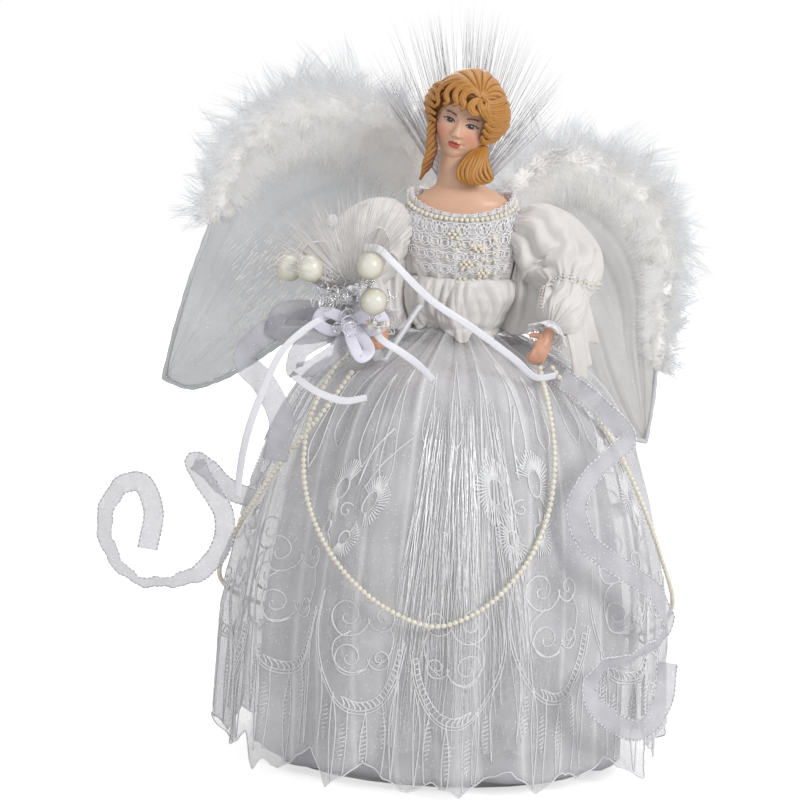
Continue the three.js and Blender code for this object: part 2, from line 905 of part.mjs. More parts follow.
function palm(side) {
  const { place, along } = wrist(side);
  const reach = V(...handShares[side].reach).normalize();
  const fold = V(...handShares[side].fold);
  fold.addScaledVector(reach, -fold.dot(reach)).normalize();
  const start = place.clone().addScaledVector(along, cuffLength);
  const middle = start.clone().addScaledVector(reach, palmHalfLength);
  return { start, middle, reach, fold, across: reach.clone().cross(fold).normalize() };
}

// Bouquet stem, gripped against the palm at the left.
const stemAlong = V(...stemLeanShares).normalize();
const stemGrip = () => {
  const { middle, fold } = palm("left");
  return middle.clone().addScaledVector(fold, palmHalfDepth + stemFootRadius + clearance);
};
const stemFoot = stemGrip().addScaledVector(stemAlong, -stemLength * gripShare);
const bouquetCentre = stemFoot.clone().addScaledVector(stemAlong, stemLength);

// Bundles of fibres run up the torso, one out of its back and one out of its front.
const haloCentre = V(0, haloBack, hingeHeight + haloSeatRise);
const bundleHigh = coneHeight + bundleRise;
const haloBundleShift = haloBundleRadius + clearance;
const haloRoute = [
  V(bulbSeat + ferruleRadius / 2, 0, ferruleTop + clearance),
  V(0, 0, mix(ferruleTop, coneHeight, 0.5)),
  V(haloBundleShift, 0, coneHeight),
  V(haloBundleShift, 0, bundleHigh),
  V(haloBundleShift / 2, haloBack * 0.35, mix(bundleHigh, haloCentre.z, 0.42)),
  V(0, haloBack, haloCentre.z - haloRootRadius * 0.6),
  V(0, haloBack, haloCentre.z - 2 * clearance),
];
const bouquetRoute = [
  V(bulbSeat - ferruleRadius / 2, 0, ferruleTop + clearance),
  V(bulbSeat, 0, mix(ferruleTop, coneHeight, 0.5)),
  V(-2 * bouquetBundleRadius, 0, coneHeight),
  V(-chestHalfWidth * 0.3, -chestHalfDepth * 0.3, waistHeight + sashHeight),
  V(-chestHalfWidth * 0.55, -chestHalfDepth * 0.9, waistHeight + sashHeight * 1.6),
  V(stemFoot.x * 0.72, stemFoot.y * 0.66, mix(stemFoot.z, waistHeight + sashHeight, 0.5)),
  stemFoot.clone().addScaledVector(stemAlong, -bundleBend),
  stemFoot.clone().addScaledVector(stemAlong, -clearance),
];
const haloBundle = (grow = 0) => tube(haloRoute, haloBundleRadius + grow, 8, 12);
const bouquetBundle = (grow = 0) => tube(bouquetRoute, bouquetBundleRadius + grow, 6, 18);

function torsoForm() {
  const grow = -bodiceWall - 3 * clearance;
  const heights = levels(coneHeight + clearance, plateFoot - clearance, 5);
  const solid = loft(heights.map((z) => torsoRing(Math.max(z, waistHeight), grow).map((p) => p.setZ(z))));
  const bore = drum(torsoBore, coneHeight - overrun, bundleHigh);
  return cut(solid, bore, haloBundle(clearance), bouquetBundle(clearance));
}

const bodice = () => cut(bodiceShell(), haloBundle(clearance), bouquetBundle(clearance));

function waistSash() {
  const heights = levels(waistHeight + clearance, waistHeight + sashHeight, 2);
  const swell = [sashThickness / 2, sashThickness, sashThickness / 2];
  const outer = heights.map((z, i) => torsoRing(z, swell[i] + 2 * clearance));
  const inner = heights.map((z) => torsoRing(z, 2 * clearance));
  return cut(sheet(outer, inner, true), bouquetBundle(clearance));
}

// Head, with the neck and the shoulder plate.
function headForm() {
  const face = reshape(ball(1, 14, 10).rotateX(Math.PI / 2), (p) => {
    const jaw = 1 - jawTaperShare * Math.pow(Math.max(0, -p.z), 1.6);
    const flat = 1 + faceFlatShare * Math.min(0, p.y);
    return V(p.x * faceHalfWidth * jaw, p.y * faceHalfDepth * flat, p.z * faceHalfHeight);
  });
  const nose = new THREE.ConeGeometry(noseWidth, 2 * noseLength, 6)
    .rotateX(noseTilt)
    .translate(0, -faceHalfDepth * noseOutShare, -faceHalfHeight * noseDropShare);
  const hair = reshape(ball(1, 2 * hairWaveCount, 10).rotateX(Math.PI / 2), (p) => {
    const around = Math.atan2(p.x, -p.y);
    const wave = 1 + hairWaveShare * Math.cos(hairWaveCount * around) * (1 - p.z * p.z);
    const nape = 1 + napeTaperShare * Math.min(0, p.z);
    return V(p.x * hairHalfWidth * wave * nape, p.y * hairHalfDepth * wave * nape, p.z * hairHalfHeight + hairRise);
  });
  const opening = ball(1, 14, 10)
    .scale(faceHalfWidth, hairHalfDepth, faceHalfHeight)
    .translate(0, -hairHalfDepth, -faceHalfHeight * faceOpeningShare);
  const width = 2 * hairHalfWidth;
  const under = block(-width, width, -width, width, -2 * hairHalfHeight, -faceHalfHeight * hairlineShare);
  return join(cut(hair, opening, under), face, nose)
    .rotateX(headNod)
    .rotateZ(-headTurn)
    .rotateY(headLean)
    .translate(0, -headForward, headHeight);
}

function curl(shares) {
  const points = shares.map(([x, y, z]) =>
    V(x * hairHalfWidth, y * hairHalfDepth, headHeight + z * hairHalfHeight));
  return swelled(points, 7, 7, (t) => curlRadius * (1 - curlTaperShare * t) * (1 + 0.2 * Math.cos(5 * Math.PI * t)));
}

function dollHead() {
  const neckTop = headHeight - faceHalfHeight / 2;
  const neckFoot = plateFoot + plateRise + neckRadius / 2;
  const rows = [
    [plateFoot, plateHalfWidth, plateHalfDepth],
    [plateFoot + plateRise / 2, plateHalfWidth, plateHalfDepth],
    [plateFoot + plateRise, mix(plateHalfWidth, neckRadius, 0.4), plateHalfDepth],
    [neckFoot, neckRadius * 1.2, neckRadius * 1.1],
    [mix(neckFoot, neckTop, 0.4), neckRadius, neckRadius],
    [neckTop, neckRadius, neckRadius],
  ];
  const neck = loft(rows.map(([z, halfWidth, halfDepth]) =>
    countTo(16, (i) => {
      const a = (turn * i) / 16;
      return V(halfWidth * Math.cos(a), halfDepth * Math.sin(a), z);
    }),
  ));
  return join(headForm(), neck, curl(leftCurlShares), curl(rightCurlShares));
}

// Strand of small pearls, sewn along the neckline.
function neckPearls() {
  const rings = countTo(neckPearlCount + 1, (i) => {
    const a = (turn * i) / neckPearlCount;
    const radius = neckPearlRadius * (i % 2 ? 0.8 : 1);
    const middle = torsoPoint(bodiceTop, a, -bodiceWall / 2).setZ(bodiceTop + neckPearlRadius + clearance);
    return { middle, out: V(Math.sin(a), -Math.cos(a), 0), radius };
  });
  const ringPoints = rings.map(({ middle, out, radius }) =>
    countTo(5, (k) => {
      const b = (turn * k) / 5;
      return middle.clone().addScaledVector(out, radius * Math.cos(b)).add(V(0, 0, radius * Math.sin(b)));
    }),
  );
  const points = ringPoints.slice(0, -1).flat();
  const triangles = [];
  for (let i = 0; i < neckPearlCount; i++) {
    for (let k = 0; k < 5; k++) {
      const [low, high] = [i * 5, ((i + 1) % neckPearlCount) * 5];
      const next = (k + 1) % 5;
      triangles.push([low + k, low + next, high + next], [low + k, high + next, high + k]);
    }
  }
  return cut(faced(points, triangles), dollPlateGrown());
}
const dollPlateGrown = () =>
  loft([plateFoot, plateFoot + plateRise * 2].map((z) =>
    countTo(24, (i) => {
      const a = (turn * i) / 24;
      return V((plateHalfWidth + clearance) * Math.cos(a), (plateHalfDepth + clearance) * Math.sin(a), z);
    }),
  ));

// Skirts.
const heightShare = (z) => clamp(z / waistHeight, 0, 1);
function skirtRadius(z, angle) {
  const waist = torsoSize(waistHeight, sashThickness);
  const oval = 1 / Math.hypot(Math.sin(angle) / waist.halfWidth, Math.cos(angle) / waist.halfDepth);
  const gathered = hemRadius * skirtShares.at(-1)[1];
  const near = THREE.MathUtils.smoothstep(heightShare(z), gatherShare, 1);
  return hemRadius * valueAt(skirtShares, heightShare(z)) + near * (oval - gathered);
}
const foldAt = (z, angle) => {
  const calm = mix(frontCalmShare, 1, Math.abs(Math.sin(angle / 2)));
  const deep = foldDepthShare * calm * (1 - THREE.MathUtils.smoothstep(heightShare(z), 0.75, 1));
  return 1 + deep * Math.cos(foldCount * angle + 0.9 * Math.sin(3 * angle));
};
const skirtPoint = (z, angle, share, grow, folded) => {
  const radius = skirtRadius(z, angle) * share * (folded ? foldAt(z, angle) : 1) + grow;
  return V(radius * Math.sin(angle), -radius * Math.cos(angle), z);
};

// Height of the hem at an angle: it hangs in points with notches between them.
function hemAt(angle) {
  const t = ((angle / turn) * tipCount + tipCount) % 1;
  return tipLift + notchDepth * (1 - Math.pow(Math.abs(2 * t - 1), 1.6));
}
const skirtColumns = 4 * foldCount;
const overskirtGrid = (grow) =>
  skirtRowShares.map((share) =>
    countTo(skirtColumns, (i) => {
      const angle = (turn * i) / skirtColumns;
      return skirtPoint(mix(hemAt(angle), waistHeight, share), angle, 1, grow, true);
    }),
  );
const overskirt = () => sheet(overskirtGrid(0), overskirtGrid(-skirtWall), true);
const skirtGrown = () => loft(overskirtGrid(clearance));

function underskirt() {
  const top = waistHeight - sashHeight;
  const grid = (grow) =>
    levels(liningHem, top, 3).map((z) => {
      const near = mix(liningShare, liningTopShare, THREE.MathUtils.smoothstep(heightShare(z), 0.8, 1));
      return countTo(24, (i) => skirtPoint(z, (turn * i) / 24, near, grow, false));
    });
  return cut(sheet(grid(0), grid(-liningWall), true), coneGrown());
}
const coneGrown = () =>
  turned(
    [
      [0, 0],
      [coneFootRadius + ringWidth / 3 + clearance, 0],
      [coneFootRadius + ringWidth / 3 + clearance, ringHeight],
      [coneTopRadius + clearance, coneHeight],
      [0, coneHeight],
    ],
    28,
  );

function frontPanel() {
  const top = waistHeight * panelTopShare;
  const grid = (grow) =>
    levels(panelHem, top, 4).map((z) => {
      const near = mix(panelShare, panelSeatShare, THREE.MathUtils.smoothstep(z, top * panelTopShare, top));
      return countTo(9, (i) => skirtPoint(z, mix(-panelSpread, panelSpread, i / 8), near, grow, false));
    });
  const skirt = sheet(overskirtGrid(clearance), overskirtGrid(-skirtWall - clearance), true);
  return largest(cut(sheet(grid(0), grid(-liningWall)), skirt));
}

// Sleeves, cuffs and hands.
const sleeveRadiusAt = (t) => sleeveRadius * valueAt(sleeveShares, t);
function sleeveSolid(side, grow = 0) {
  const steps = 8;
  const rings = tubeRings(armCurve(side), steps, 2 * sleeveGatherCount, (t) => sleeveRadiusAt(t));
  return loft(rings.map((ring, i) => {
    const middle = armCurve(side).getPointAt(i / steps);
    return ring.map((p, k) => {
      const out = p.clone().sub(middle);
      const gather = k % 2 ? 0 : -sleeveGatherDepth;
      return middle.clone().addScaledVector(out.normalize(), sleeveRadiusAt(i / steps) + gather + grow);
    });
  }));
}

const armCore = (side, grow = 0) => {
  const { place, along } = wrist(side);
  const end = place.clone().addScaledVector(along, cuffLength / 2);
  return tube([...armPoints(side), end], armRadius + grow, 7, 9);
};
const sleeve = (side) => largest(cut(sleeveSolid(side), bodiceGrown(), armCore(side, clearance)));
const arm = (side) => largest(cut(armCore(side), bodiceGrown(), handSolid(side, clearance)));

function cuffLace(side) {
  const { place, along } = wrist(side);
  const across = V(0, 0, 1).cross(along).normalize();
  const up = along.clone().cross(across).normalize();
  const ring = (reach, radius) =>
    countTo(16, (i) => {
      const a = (turn * i) / 16;
      return place
        .clone()
        .addScaledVector(along, reach)
        .addScaledVector(across, radius * Math.cos(a))
        .addScaledVector(up, radius * Math.sin(a));
    });
  const inner = armRadius + clearance;
  const outer = [ring(-clearance, inner + 2 * cuffWall), ring(cuffLength, inner + cuffFlare + cuffWall)];
  const inside = [ring(-clearance, inner), ring(cuffLength, inner + cuffFlare)];
  const tools = [sleeveSolid(side, clearance), handSolid(side, clearance)];
  if (side === "left") tools.push(stemSolid(clearance), bouquetBundle(clearance));
  return largest(cut(sheet(outer, inside, true), ...tools));
}

// Frill that hangs out of the sleeve, below the forearm.
function frill(side) {
  const sign = side === "left" ? -1 : 1;
  const [high, low] = [frillStartShare, frillEndShare].map((t) => {
    const size = sleeveRadiusAt(t);
    return armCurve(side).getPointAt(t).add(V(sign * size * frillOutShare, 0, -size * frillDownShare));
  });
  const grid = (grow) =>
    countTo(4, (r) =>
      countTo(13, (c) => {
        const wave = frillWaveDepth * (r / 3) * Math.sin((turn * frillWaveCount * c) / 12);
        return high
          .clone()
          .lerp(low, c / 12)
          .add(V(sign * (wave + frillFlare * (r / 3) + grow), 0, -frillDrop * (r / 3)));
      }),
    );
  const body = sheet(grid(frillWall), grid(0));
  return largest(cut(body, sleeveSolid(side, clearance), cuffLace(side), skirtGrown()));
}

function handSolid(side, grow = 0) {
  const { start, middle, reach, fold, across } = palm(side);
  const back = start.clone().addScaledVector(wrist(side).along, -cuffLength / 2);
  const pad = ball(1, 8, 6)
    .scale(palmHalfDepth + grow, palmHalfWidth + grow, palmHalfLength + grow)
    .applyMatrix4(new THREE.Matrix4().makeBasis(fold, across, reach))
    .translate(...middle.toArray());
  const forearm = tube([back, start, middle], wristRadius + grow, 8, 2);
  const digit = (root, reachShare, foldShare, width) => {
    const tip = root.clone().addScaledVector(reach, reachShare * fingerLength);
    tip.addScaledVector(fold, foldShare * fingerLength).addScaledVector(across, width);
    return swelled([root, tip], 4, 1, (t) => fingerRadius * (1 - 0.25 * t) + grow);
  };
  const fingers = fingerShares.map((place) => {
    const root = middle.clone().addScaledVector(across, place * palmHalfWidth);
    return digit(root.addScaledVector(reach, palmHalfLength / 2), 1, 0.35, 0);
  });
  const thumb = digit(middle.clone().addScaledVector(reach, -palmHalfLength * 0.9), 0.2, 0.5, -fingerLength);
  return join(pad, forearm, ...fingers, thumb);
}
const hand = (side) => {
  const solid = handSolid(side);
  return largest(side === "left" ? cut(solid, stemSolid(clearance), bouquetBundle(clearance)) : solid);
};

// Bouquet.
const stemSolid = (grow = 0) => {
  const curve = new THREE.LineCurve3(stemFoot, bouquetCentre);
  const steps = stemRadiusShares.length - 1;
  return loft(tubeRings(curve, steps, 14, (t) =>
    mix(stemFootRadius, stemTopRadius, stemRadiusShares[Math.round(t * steps)]) + grow));
};
const stemSide = V(0, 0, 1).cross(stemAlong).normalize();
const stemUp = stemAlong.clone().cross(stemSide).normalize();
const stemRim = (around, lift) =>
  bouquetCentre
    .clone()
    .addScaledVector(stemAlong, lift)
    .addScaledVector(stemSide, stemTopRadius * Math.cos(turn * around))
    .addScaledVector(stemUp, stemTopRadius * Math.sin(turn * around));

// One straight fibre with three sides, drawn to a point.
function strand(root, direction, length) {
  const side = V(0, 1, 0).cross(direction).normalize();
  const up = direction.clone().cross(side).normalize();
  const base = countTo(3, (k) =>
    root
      .clone()
      .addScaledVector(side, strandRadius * Math.cos((turn * k) / 3))
      .addScaledVector(up, strandRadius * Math.sin((turn * k) / 3)),
  );
  const tip = root.clone().addScaledVector(direction, length);
  return faced([...base, tip], [[0, 2, 1], [0, 1, 3], [1, 2, 3], [2, 0, 3]]);
}

const sprayCentre = bouquetCentre.clone().addScaledVector(stemAlong, sprayBallRadius + clearance);
const sprayCore = (grow = 0) => ball(sprayBallRadius + grow, 12, 8).translate(...sprayCentre.toArray());
function bouquetFibres() {
  const axis = V(...sprayLeanShares).normalize();
  const side = V(0, 1, 0).cross(axis).normalize();
  const up = axis.clone().cross(side).normalize();
  const golden = Math.PI * (3 - Math.sqrt(5));
  const strands = countTo(bouquetStrandCount, (i) => {
    const tilt = Math.acos(1 - ((i + 0.5) / bouquetStrandCount) * (1 - Math.cos(bouquetCone)));
    const direction = axis
      .clone()
      .multiplyScalar(Math.cos(tilt))
      .addScaledVector(side, Math.sin(tilt) * Math.cos(i * golden))
      .addScaledVector(up, Math.sin(tilt) * Math.sin(i * golden));
    const root = sprayCentre.clone().addScaledVector(direction, sprayBallRadius * 0.8);
    return strand(root, direction, bouquetStrandLength * mix(0.7, 1, scatter(i, 3)));
  });
  return join(sprayCore(), ...strands);
}

const pearlSeat = (i) => bouquetCentre.clone().add(V(...pearlShares[i]).multiplyScalar(pickReach));
function pearlPick(i) {
  const root = stemRim(pearlRimShares[i], clearance + pickRadius);
  const seat = pearlSeat(i);
  const lift = root.clone().lerp(seat, 0.5).addScaledVector(stemAlong, -pickRadius * 4);
  const wire = tube([root, lift, seat], pickRadius, 4, 4);
  return largest(cut(join(ball(pearlRadius, 10, 6).translate(...seat.toArray()), wire), sprayCore(clearance)));
}

// Wire curl of the bouquet, one unbroken helix.
function tinselCoil({ around, toward }) {
  const along = V(...toward).normalize();
  const side = V(0, 0, 1).cross(along).normalize();
  const up = along.clone().cross(side).normalize();
  const root = stemRim(around, 0)
    .addScaledVector(along, coilWire + clearance)
    .addScaledVector(side, -coilRadius);
  const steps = 8 * coilTurnCount;
  const points = countTo(steps + 1, (i) => {
    const a = (turn * i) / 8;
    return root
      .clone()
      .addScaledVector(along, (coilLength * i) / steps)
      .addScaledVector(side, coilRadius * Math.cos(a))
      .addScaledVector(up, coilRadius * Math.sin(a));
  });
  const nearest = points.slice(6, 11).map((p) => p.distanceTo(points[0]));
  console.log(`least gap between curls ${(Math.min(...nearest) - 2 * coilWire).toFixed(2)} mm`);
  return loft(tubeRings(new THREE.CatmullRomCurve3(points), steps, 5, () => coilWire));
}

// Petal of gathered cloth: a leaf with a cupped middle.
function petal({ around, toward }, grow = 0) {
  const along = V(...toward).normalize();
  const root = stemRim(around, clearance).addScaledVector(along, sprayBallRadius / 2);
  const across = along.clone().cross(V(0, 1, 0)).normalize();
  const normal = across.clone().cross(along).normalize();
  const grid = (out) =>
    countTo(7, (i) => {
      const half = (petalWidth / 2) * valueAt(petalShares, i / 6) + grow;
      return countTo(5, (k) => {
        const s = (k - 2) / 2;
        return root
          .clone()
          .addScaledVector(along, (petalLength * i) / 6)
          .addScaledVector(across, half * s)
          .addScaledVector(normal, petalCup * s * s * Math.sin((Math.PI * i) / 6) + out);
      });
    });
  return sheet(grid(satinWall / 2 + grow), grid(-satinWall / 2 - grow));
}

// Ribbon along a route. At turn 0 its width lies in the XZ plane, and at 90 degrees along Y.
function ribbon(points, turns, width, wall, steps) {
  const path = through(points);
  const rings = [];
  const before = V(0, 0, 0);
  for (let i = 0; i <= steps; i++) {
    const t = i / steps;
    const spot = t * (turns.length - 1);
    const k = Math.min(Math.floor(spot), turns.length - 2);
    const angle = radians(mix(turns[k], turns[k + 1], spot - k));
    const middle = path.getPoint(t);
    const along = path.getTangent(t);
    const across = V(-along.z, 0, along.x).normalize();
    if (across.dot(before) < 0) across.negate();
    before.copy(across);
    across.multiplyScalar(Math.cos(angle)).add(V(0, Math.sin(angle), 0));
    across.addScaledVector(along, -across.dot(along)).normalize();
    const normal = across.clone().cross(along).normalize();
    const corner = (a, b) =>
      middle.clone().addScaledVector(across, (a * width) / 2).addScaledVector(normal, (b * wall) / 2);
    rings.push([corner(-1, -1), corner(1, -1), corner(1, 1), corner(-1, 1)]);
  }
  return loft(rings);
}
const ribbonFrom = (shares, width, wall, steps) =>
  ribbon(
    shares.map(([x, y, z]) => V(x * hemRadius, y * hemRadius, z * waistHeight)),
    shares.map((row) => row[3]),
    width,
    wall,
    steps,
  );
const cord = (points, radius, steps) => tube(points.map(([x, y, z]) => V(x, y, z)), radius, 8, steps);
const satinRibbon = (points, steps, grow = 0) =>
  ribbon(
    points.map(([x, y, z]) => V(x, y, z)),
    points.map(() => 0),
    satinWidth + 2 * grow,
    satinWall + 2 * grow,
    steps,
  );

// Halo.
const haloRay = (angle) => V(Math.sin(angle), 0, Math.cos(angle));
const haloHalf = ((haloRowCount - 1) / 2) * haloRowGap + 2 * strandRadius;
function haloFibres() {
  const arc = 10;
  const rays = levels(-haloSpread / 2, haloSpread / 2, arc).map(haloRay);
  const rim = (radius, y) => rays.map((ray) => ray.clone().multiplyScalar(radius).add(haloCentre).add(V(0, y, 0)));
  const slice = (y) => [rim(haloRootRadius, y), rim(haloRootRadius / 2, y)];
  const core = sheet(slice(haloHalf), slice(-haloHalf));
  const strands = countTo(haloRowCount * haloStrandCount, (n) => {
    const row = n % haloRowCount;
    const place = (Math.floor(n / haloRowCount) + 0.25 + (row % 2) / 2) / haloStrandCount;
    const ray = haloRay(mix(-haloSpread, haloSpread, place) / 2);
    const root = ray.clone().multiplyScalar(haloRootRadius * 0.9).add(haloCentre);
    root.y += (row - (haloRowCount - 1) / 2) * haloRowGap;
    const table = haloLengthShares.map((share, k) => [k / (haloLengthShares.length - 1), share]);
    return strand(root, ray, haloLength * valueAt(table, place) * mix(0.78, 1, scatter(n, row)));
  });
  return join(core, ...strands);
}

function haloFerrule() {
  const foot = haloCentre.z;
  const floor = haloCentre.z + haloRootRadius * 0.35;
  const top = haloCentre.z + haloRootRadius * 0.85;
  const wide = (top - haloCentre.z) * Math.tan(haloSpread / 2) + 2 * strandRadius + clearance;
  const deep = haloHalf + clearance;
  const outer = block(
    -wide - ferruleWall, wide + ferruleWall, haloBack - deep - ferruleWall, haloBack + deep + ferruleWall, foot, top,
  );
  const pocket = block(-wide, wide, haloBack - deep, haloBack + deep, floor, top + overrun);
  return cut(outer, pocket);
}

// Wings, drawn about their own hinge axis and bent down by their droop.
const wingPoint = (fall) => ([u, w]) => V(u * wingReach, 0, w > 0 ? w * wingRise : w * wingFall * fall);
const wingRoot = V(0, 0, 0);
const wingEdges = (name) => {
  const point = wingPoint(wingPose[name].fallShare);
  const leading = [wingRoot, ...leadingShares.map(point)];
  const trailing = [wingRoot, ...trailingShares.map(point), leading.at(-1)];
  return { leading, trailing };
};
function mirrored(geometry) {
  const flipped = geometry.index ? geometry.toNonIndexed() : geometry;
  const place = flipped.attributes.position;
  const corners = countTo(place.count, (i) => V(-place.getX(i), place.getY(i), place.getZ(i)));
  return faced(corners, countTo(place.count / 3, (i) => [3 * i, 3 * i + 1, 3 * i + 2]));
}
function placed(geometry, name) {
  const { side, droop } = wingPose[name];
  const turnedDown = geometry.rotateY(radians(droop));
  return side < 0 ? mirrored(turnedDown) : turnedDown;
}

function wingFrame(name) {
  const { leading, trailing } = wingEdges(name);
  const tip = leading.at(-1);
  const upper = tube(leading, wireRadius, 5, wireStepCount);
  const lower = tube(trailing, wireRadius, 5, wireStepCount);
  const wire = placed(join(upper, lower, ball(wireRadius * 1.2, 6, 4).translate(...tip.toArray())), name);
  return join(wire, drum(wirePinRadius, -socketDrop - socketHeight - pinTail, wireRadius, 12));
}

// Panel of sheer cloth inside the wire, with folds that run out to the tip.
function wingPanel(name, grow = 0) {
  const { leading, trailing } = wingEdges(name);
  const [high, low] = [through(leading), through(trailing)];
  const inset = 3 * wireRadius + clearance;
  const grid = (side) =>
    countTo(6, (r) =>
      countTo(10, (c) => {
        const upper = high.getPointAt(mix(panelStartShare, panelEndShare, c / 9));
        const lower = low.getPointAt(mix(panelStartShare, panelEndShare, c / 9));
        const gap = upper.distanceTo(lower);
        const t = mix(inset / gap, 1 - inset / gap, r / 5);
        const swell = panelFoldDepth * Math.sin((Math.PI * r) / 5) * Math.sin((Math.PI * c) / 9);
        const wave = swell * Math.sin((turn * panelFoldCount * r) / 5 + 4 * (c / 9));
        return upper.clone().lerp(lower, t).add(V(0, wave + side * (panelWall / 2 + grow), 0));
      }),
    );
  return placed(sheet(grid(1), grid(-1)), name);
}

function boaSolid(name, grow = 0) {
  const { boaEndShare } = wingPose[name];
  const curve = through(wingEdges(name).leading);
  const rings = tubeRings(curve, boaStepCount, 9, (t) => {
    const s = clamp((t - boaStartShare) / (boaEndShare - boaStartShare), 0, 1);
    const swell = mix(boaTipShare, 1, Math.pow(Math.sin(Math.PI * s), 0.6));
    return boaRadius * swell + boaLumpDepth * Math.sin(turn * boaLumpCount * s) + grow;
  });
  const first = Math.round(boaStartShare * boaStepCount);
  const last = Math.round(boaEndShare * boaStepCount);
  return placed(loft(rings.slice(first, last + 1)), name);
}
function wingBoa(name) {
  const wire = tube(wingEdges(name).leading, (wireRadius + clearance) / Math.cos(Math.PI / 5), 5, wireStepCount);
  return cut(boaSolid(name), placed(wire, name));
}
const trimmedPanel = (name) => largest(cut(wingPanel(name), boaSolid(name, clearance)));

function wingBracket() {
  const low = hingeHeight - plateTall;
  const socketTop = hingeHeight - socketDrop;
  const face = Math.max(...levels(low, hingeHeight, 4).map((z) => torsoPoint(z, Math.PI).y)) + clearance;
  const outer = face + plateThick;
  const plate = block(-plateWidth / 2, plateWidth / 2, face, outer, low, hingeHeight);
  const tongueTop = haloCentre.z - clearance;
  const tongue = block(-haloRootRadius / 2, haloRootRadius / 2, face, haloBack + haloHalf, hingeHeight - plateThick, tongueTop);
  const parts = [-1, 1].flatMap((side) => [
    block(-socketRadius / 2, socketRadius / 2, outer - plateThick / 2, hingeBack, socketTop - socketHeight, socketTop)
      .translate(side * hingeOffset, 0, 0),
    drum(socketRadius, socketTop - socketHeight, socketTop, 16).translate(side * hingeOffset, hingeBack, 0),
  ]);
  const bores = [-1, 1].map((side) =>
    drum(wirePinRadius + clearance, low - overrun, hingeHeight, 12).translate(side * hingeOffset, hingeBack, 0),
  );
  return cut(join(plate, tongue, ...parts), ...bores, haloBundle(clearance));
}

// Assembly.
add("base_ring", baseRing(), plastic);
add("cone_body", coneBody(), card);
add("tree_tube", treeTube(), plastic);
add("lamp_housing", lampHousing(), plastic);
add("lamp_cover", lampCover(), plastic);
add("lamp_holder", lampHolder(), plastic);
add("bulb", bulb(), clear);
add("wheel_motor", wheelMotor(), plastic);
const wheelAxis = new THREE.Group();
wheelAxis.position.x = motorOffset;
add("motor_shaft", motorShaft(), wireSteel, wheelAxis);
add("colour_wheel", colourWheel(), clear, wheelAxis);
topper.add(wheelAxis);
add("fibre_ferrule", fibreFerrule(), plastic);
[1, -1].forEach((side, i) => add(`cover_screw_${i + 1}`, coverScrew(side), wireSteel));
add("halo_bundle", haloBundle(), clear);
add("bouquet_bundle", bouquetBundle(), clear);
add("torso_form", torsoForm(), card);
add("bodice", bodice(), satin);
add("waist_sash", waistSash(), satin);
add("doll_head", dollHead(), porcelain);
add("neck_pearls", neckPearls(), pearlCoat);
add("underskirt", underskirt(), satin);
add("front_panel", frontPanel(), organza);
add("overskirt", overskirt(), organza);
for (const side of ["left", "right"]) {
  add(`arm_${side}`, arm(side), card);
  add(`sleeve_${side}`, sleeve(side), satin);
  add(`cuff_lace_${side}`, cuffLace(side), organza);
  add(`sleeve_frill_${side}`, frill(side), satin);
  add(`hand_${side}`, hand(side), porcelain);
}
add("wing_bracket", wingBracket(), plastic);
for (const [name, { side, sweep }] of Object.entries(wingPose)) {
  const wing = new THREE.Group();
  wing.position.set(side * hingeOffset, hingeBack, hingeHeight);
  wing.rotation.z = radians(side * sweep);
  add(`wing_frame_${name}`, wingFrame(name), wireSteel, wing);
  add(`wing_panel_${name}`, trimmedPanel(name), organza, wing);
  add(`wing_boa_${name}`, wingBoa(name), down, wing);
  topper.add(wing);
}
add("halo_ferrule", haloFerrule(), plastic);
add("halo_fibres", haloFibres(), clear);
add("bouquet_stem", stemSolid(), silver);
const inTheSpray = [
  ...petalSeatShares.map((place) => petal(place, clearance)),
  ...pearlShares.map((_, i) => ball(pearlRadius + clearance, 10, 8).translate(...pearlSeat(i).toArray())),
  satinRibbon(drapeRoute, 20, clearance),
];
add("bouquet_fibres", largest(cut(bouquetFibres(), ...inTheSpray)), clear);
petalSeatShares.forEach((place, i) => add(`bouquet_petal_${i + 1}`, petal(place), organza));
pearlShares.forEach((_, i) => add(`pearl_pick_${i + 1}`, pearlPick(i), pearlCoat));
coilShares.forEach((place, i) => add(`tinsel_coil_${i + 1}`, tinselCoil(place), silver));
const wrapCut = (geometry, ...tools) => largest(cut(geometry, skirtGrown(), ...tools));
add("wired_ribbon_left", wrapCut(ribbonFrom(leftRibbonShares, ribbonWidth, ribbonWall, 30)), organza);
const rightRibbon = ribbonFrom(rightRibbonShares, ribbonWidth, ribbonWall, 32);
add("wired_ribbon_right", wrapCut(rightRibbon, cord(garlandBackRoute, garlandRadius + clearance, 33)), organza);
add("bow_ribbon", wrapCut(ribbonFrom(bowShares, bowWidth, satinWall, 18), stemSolid(clearance)), organza);
add("satin_drape", satinRibbon(drapeRoute, 20), satin);
add("satin_tail", largest(cut(satinRibbon(tailRoute, 14), stemSolid(clearance))), satin);
add("garland_front", cord(garlandFrontRoute, garlandRadius, 27), pearlCoat);
add("garland_back", cord(garlandBackRoute, garlandRadius, 33), pearlCoat);

export default topper;
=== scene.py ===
"""Angel tree topper: doll head, satin and organza gown, marabou wings, fibre halo and bouquet.

Sizes are millimetres in the frame of the solids, with +Z up and the angel facing -Y. Tables of curves hold
shares of a length that has a name.
"""

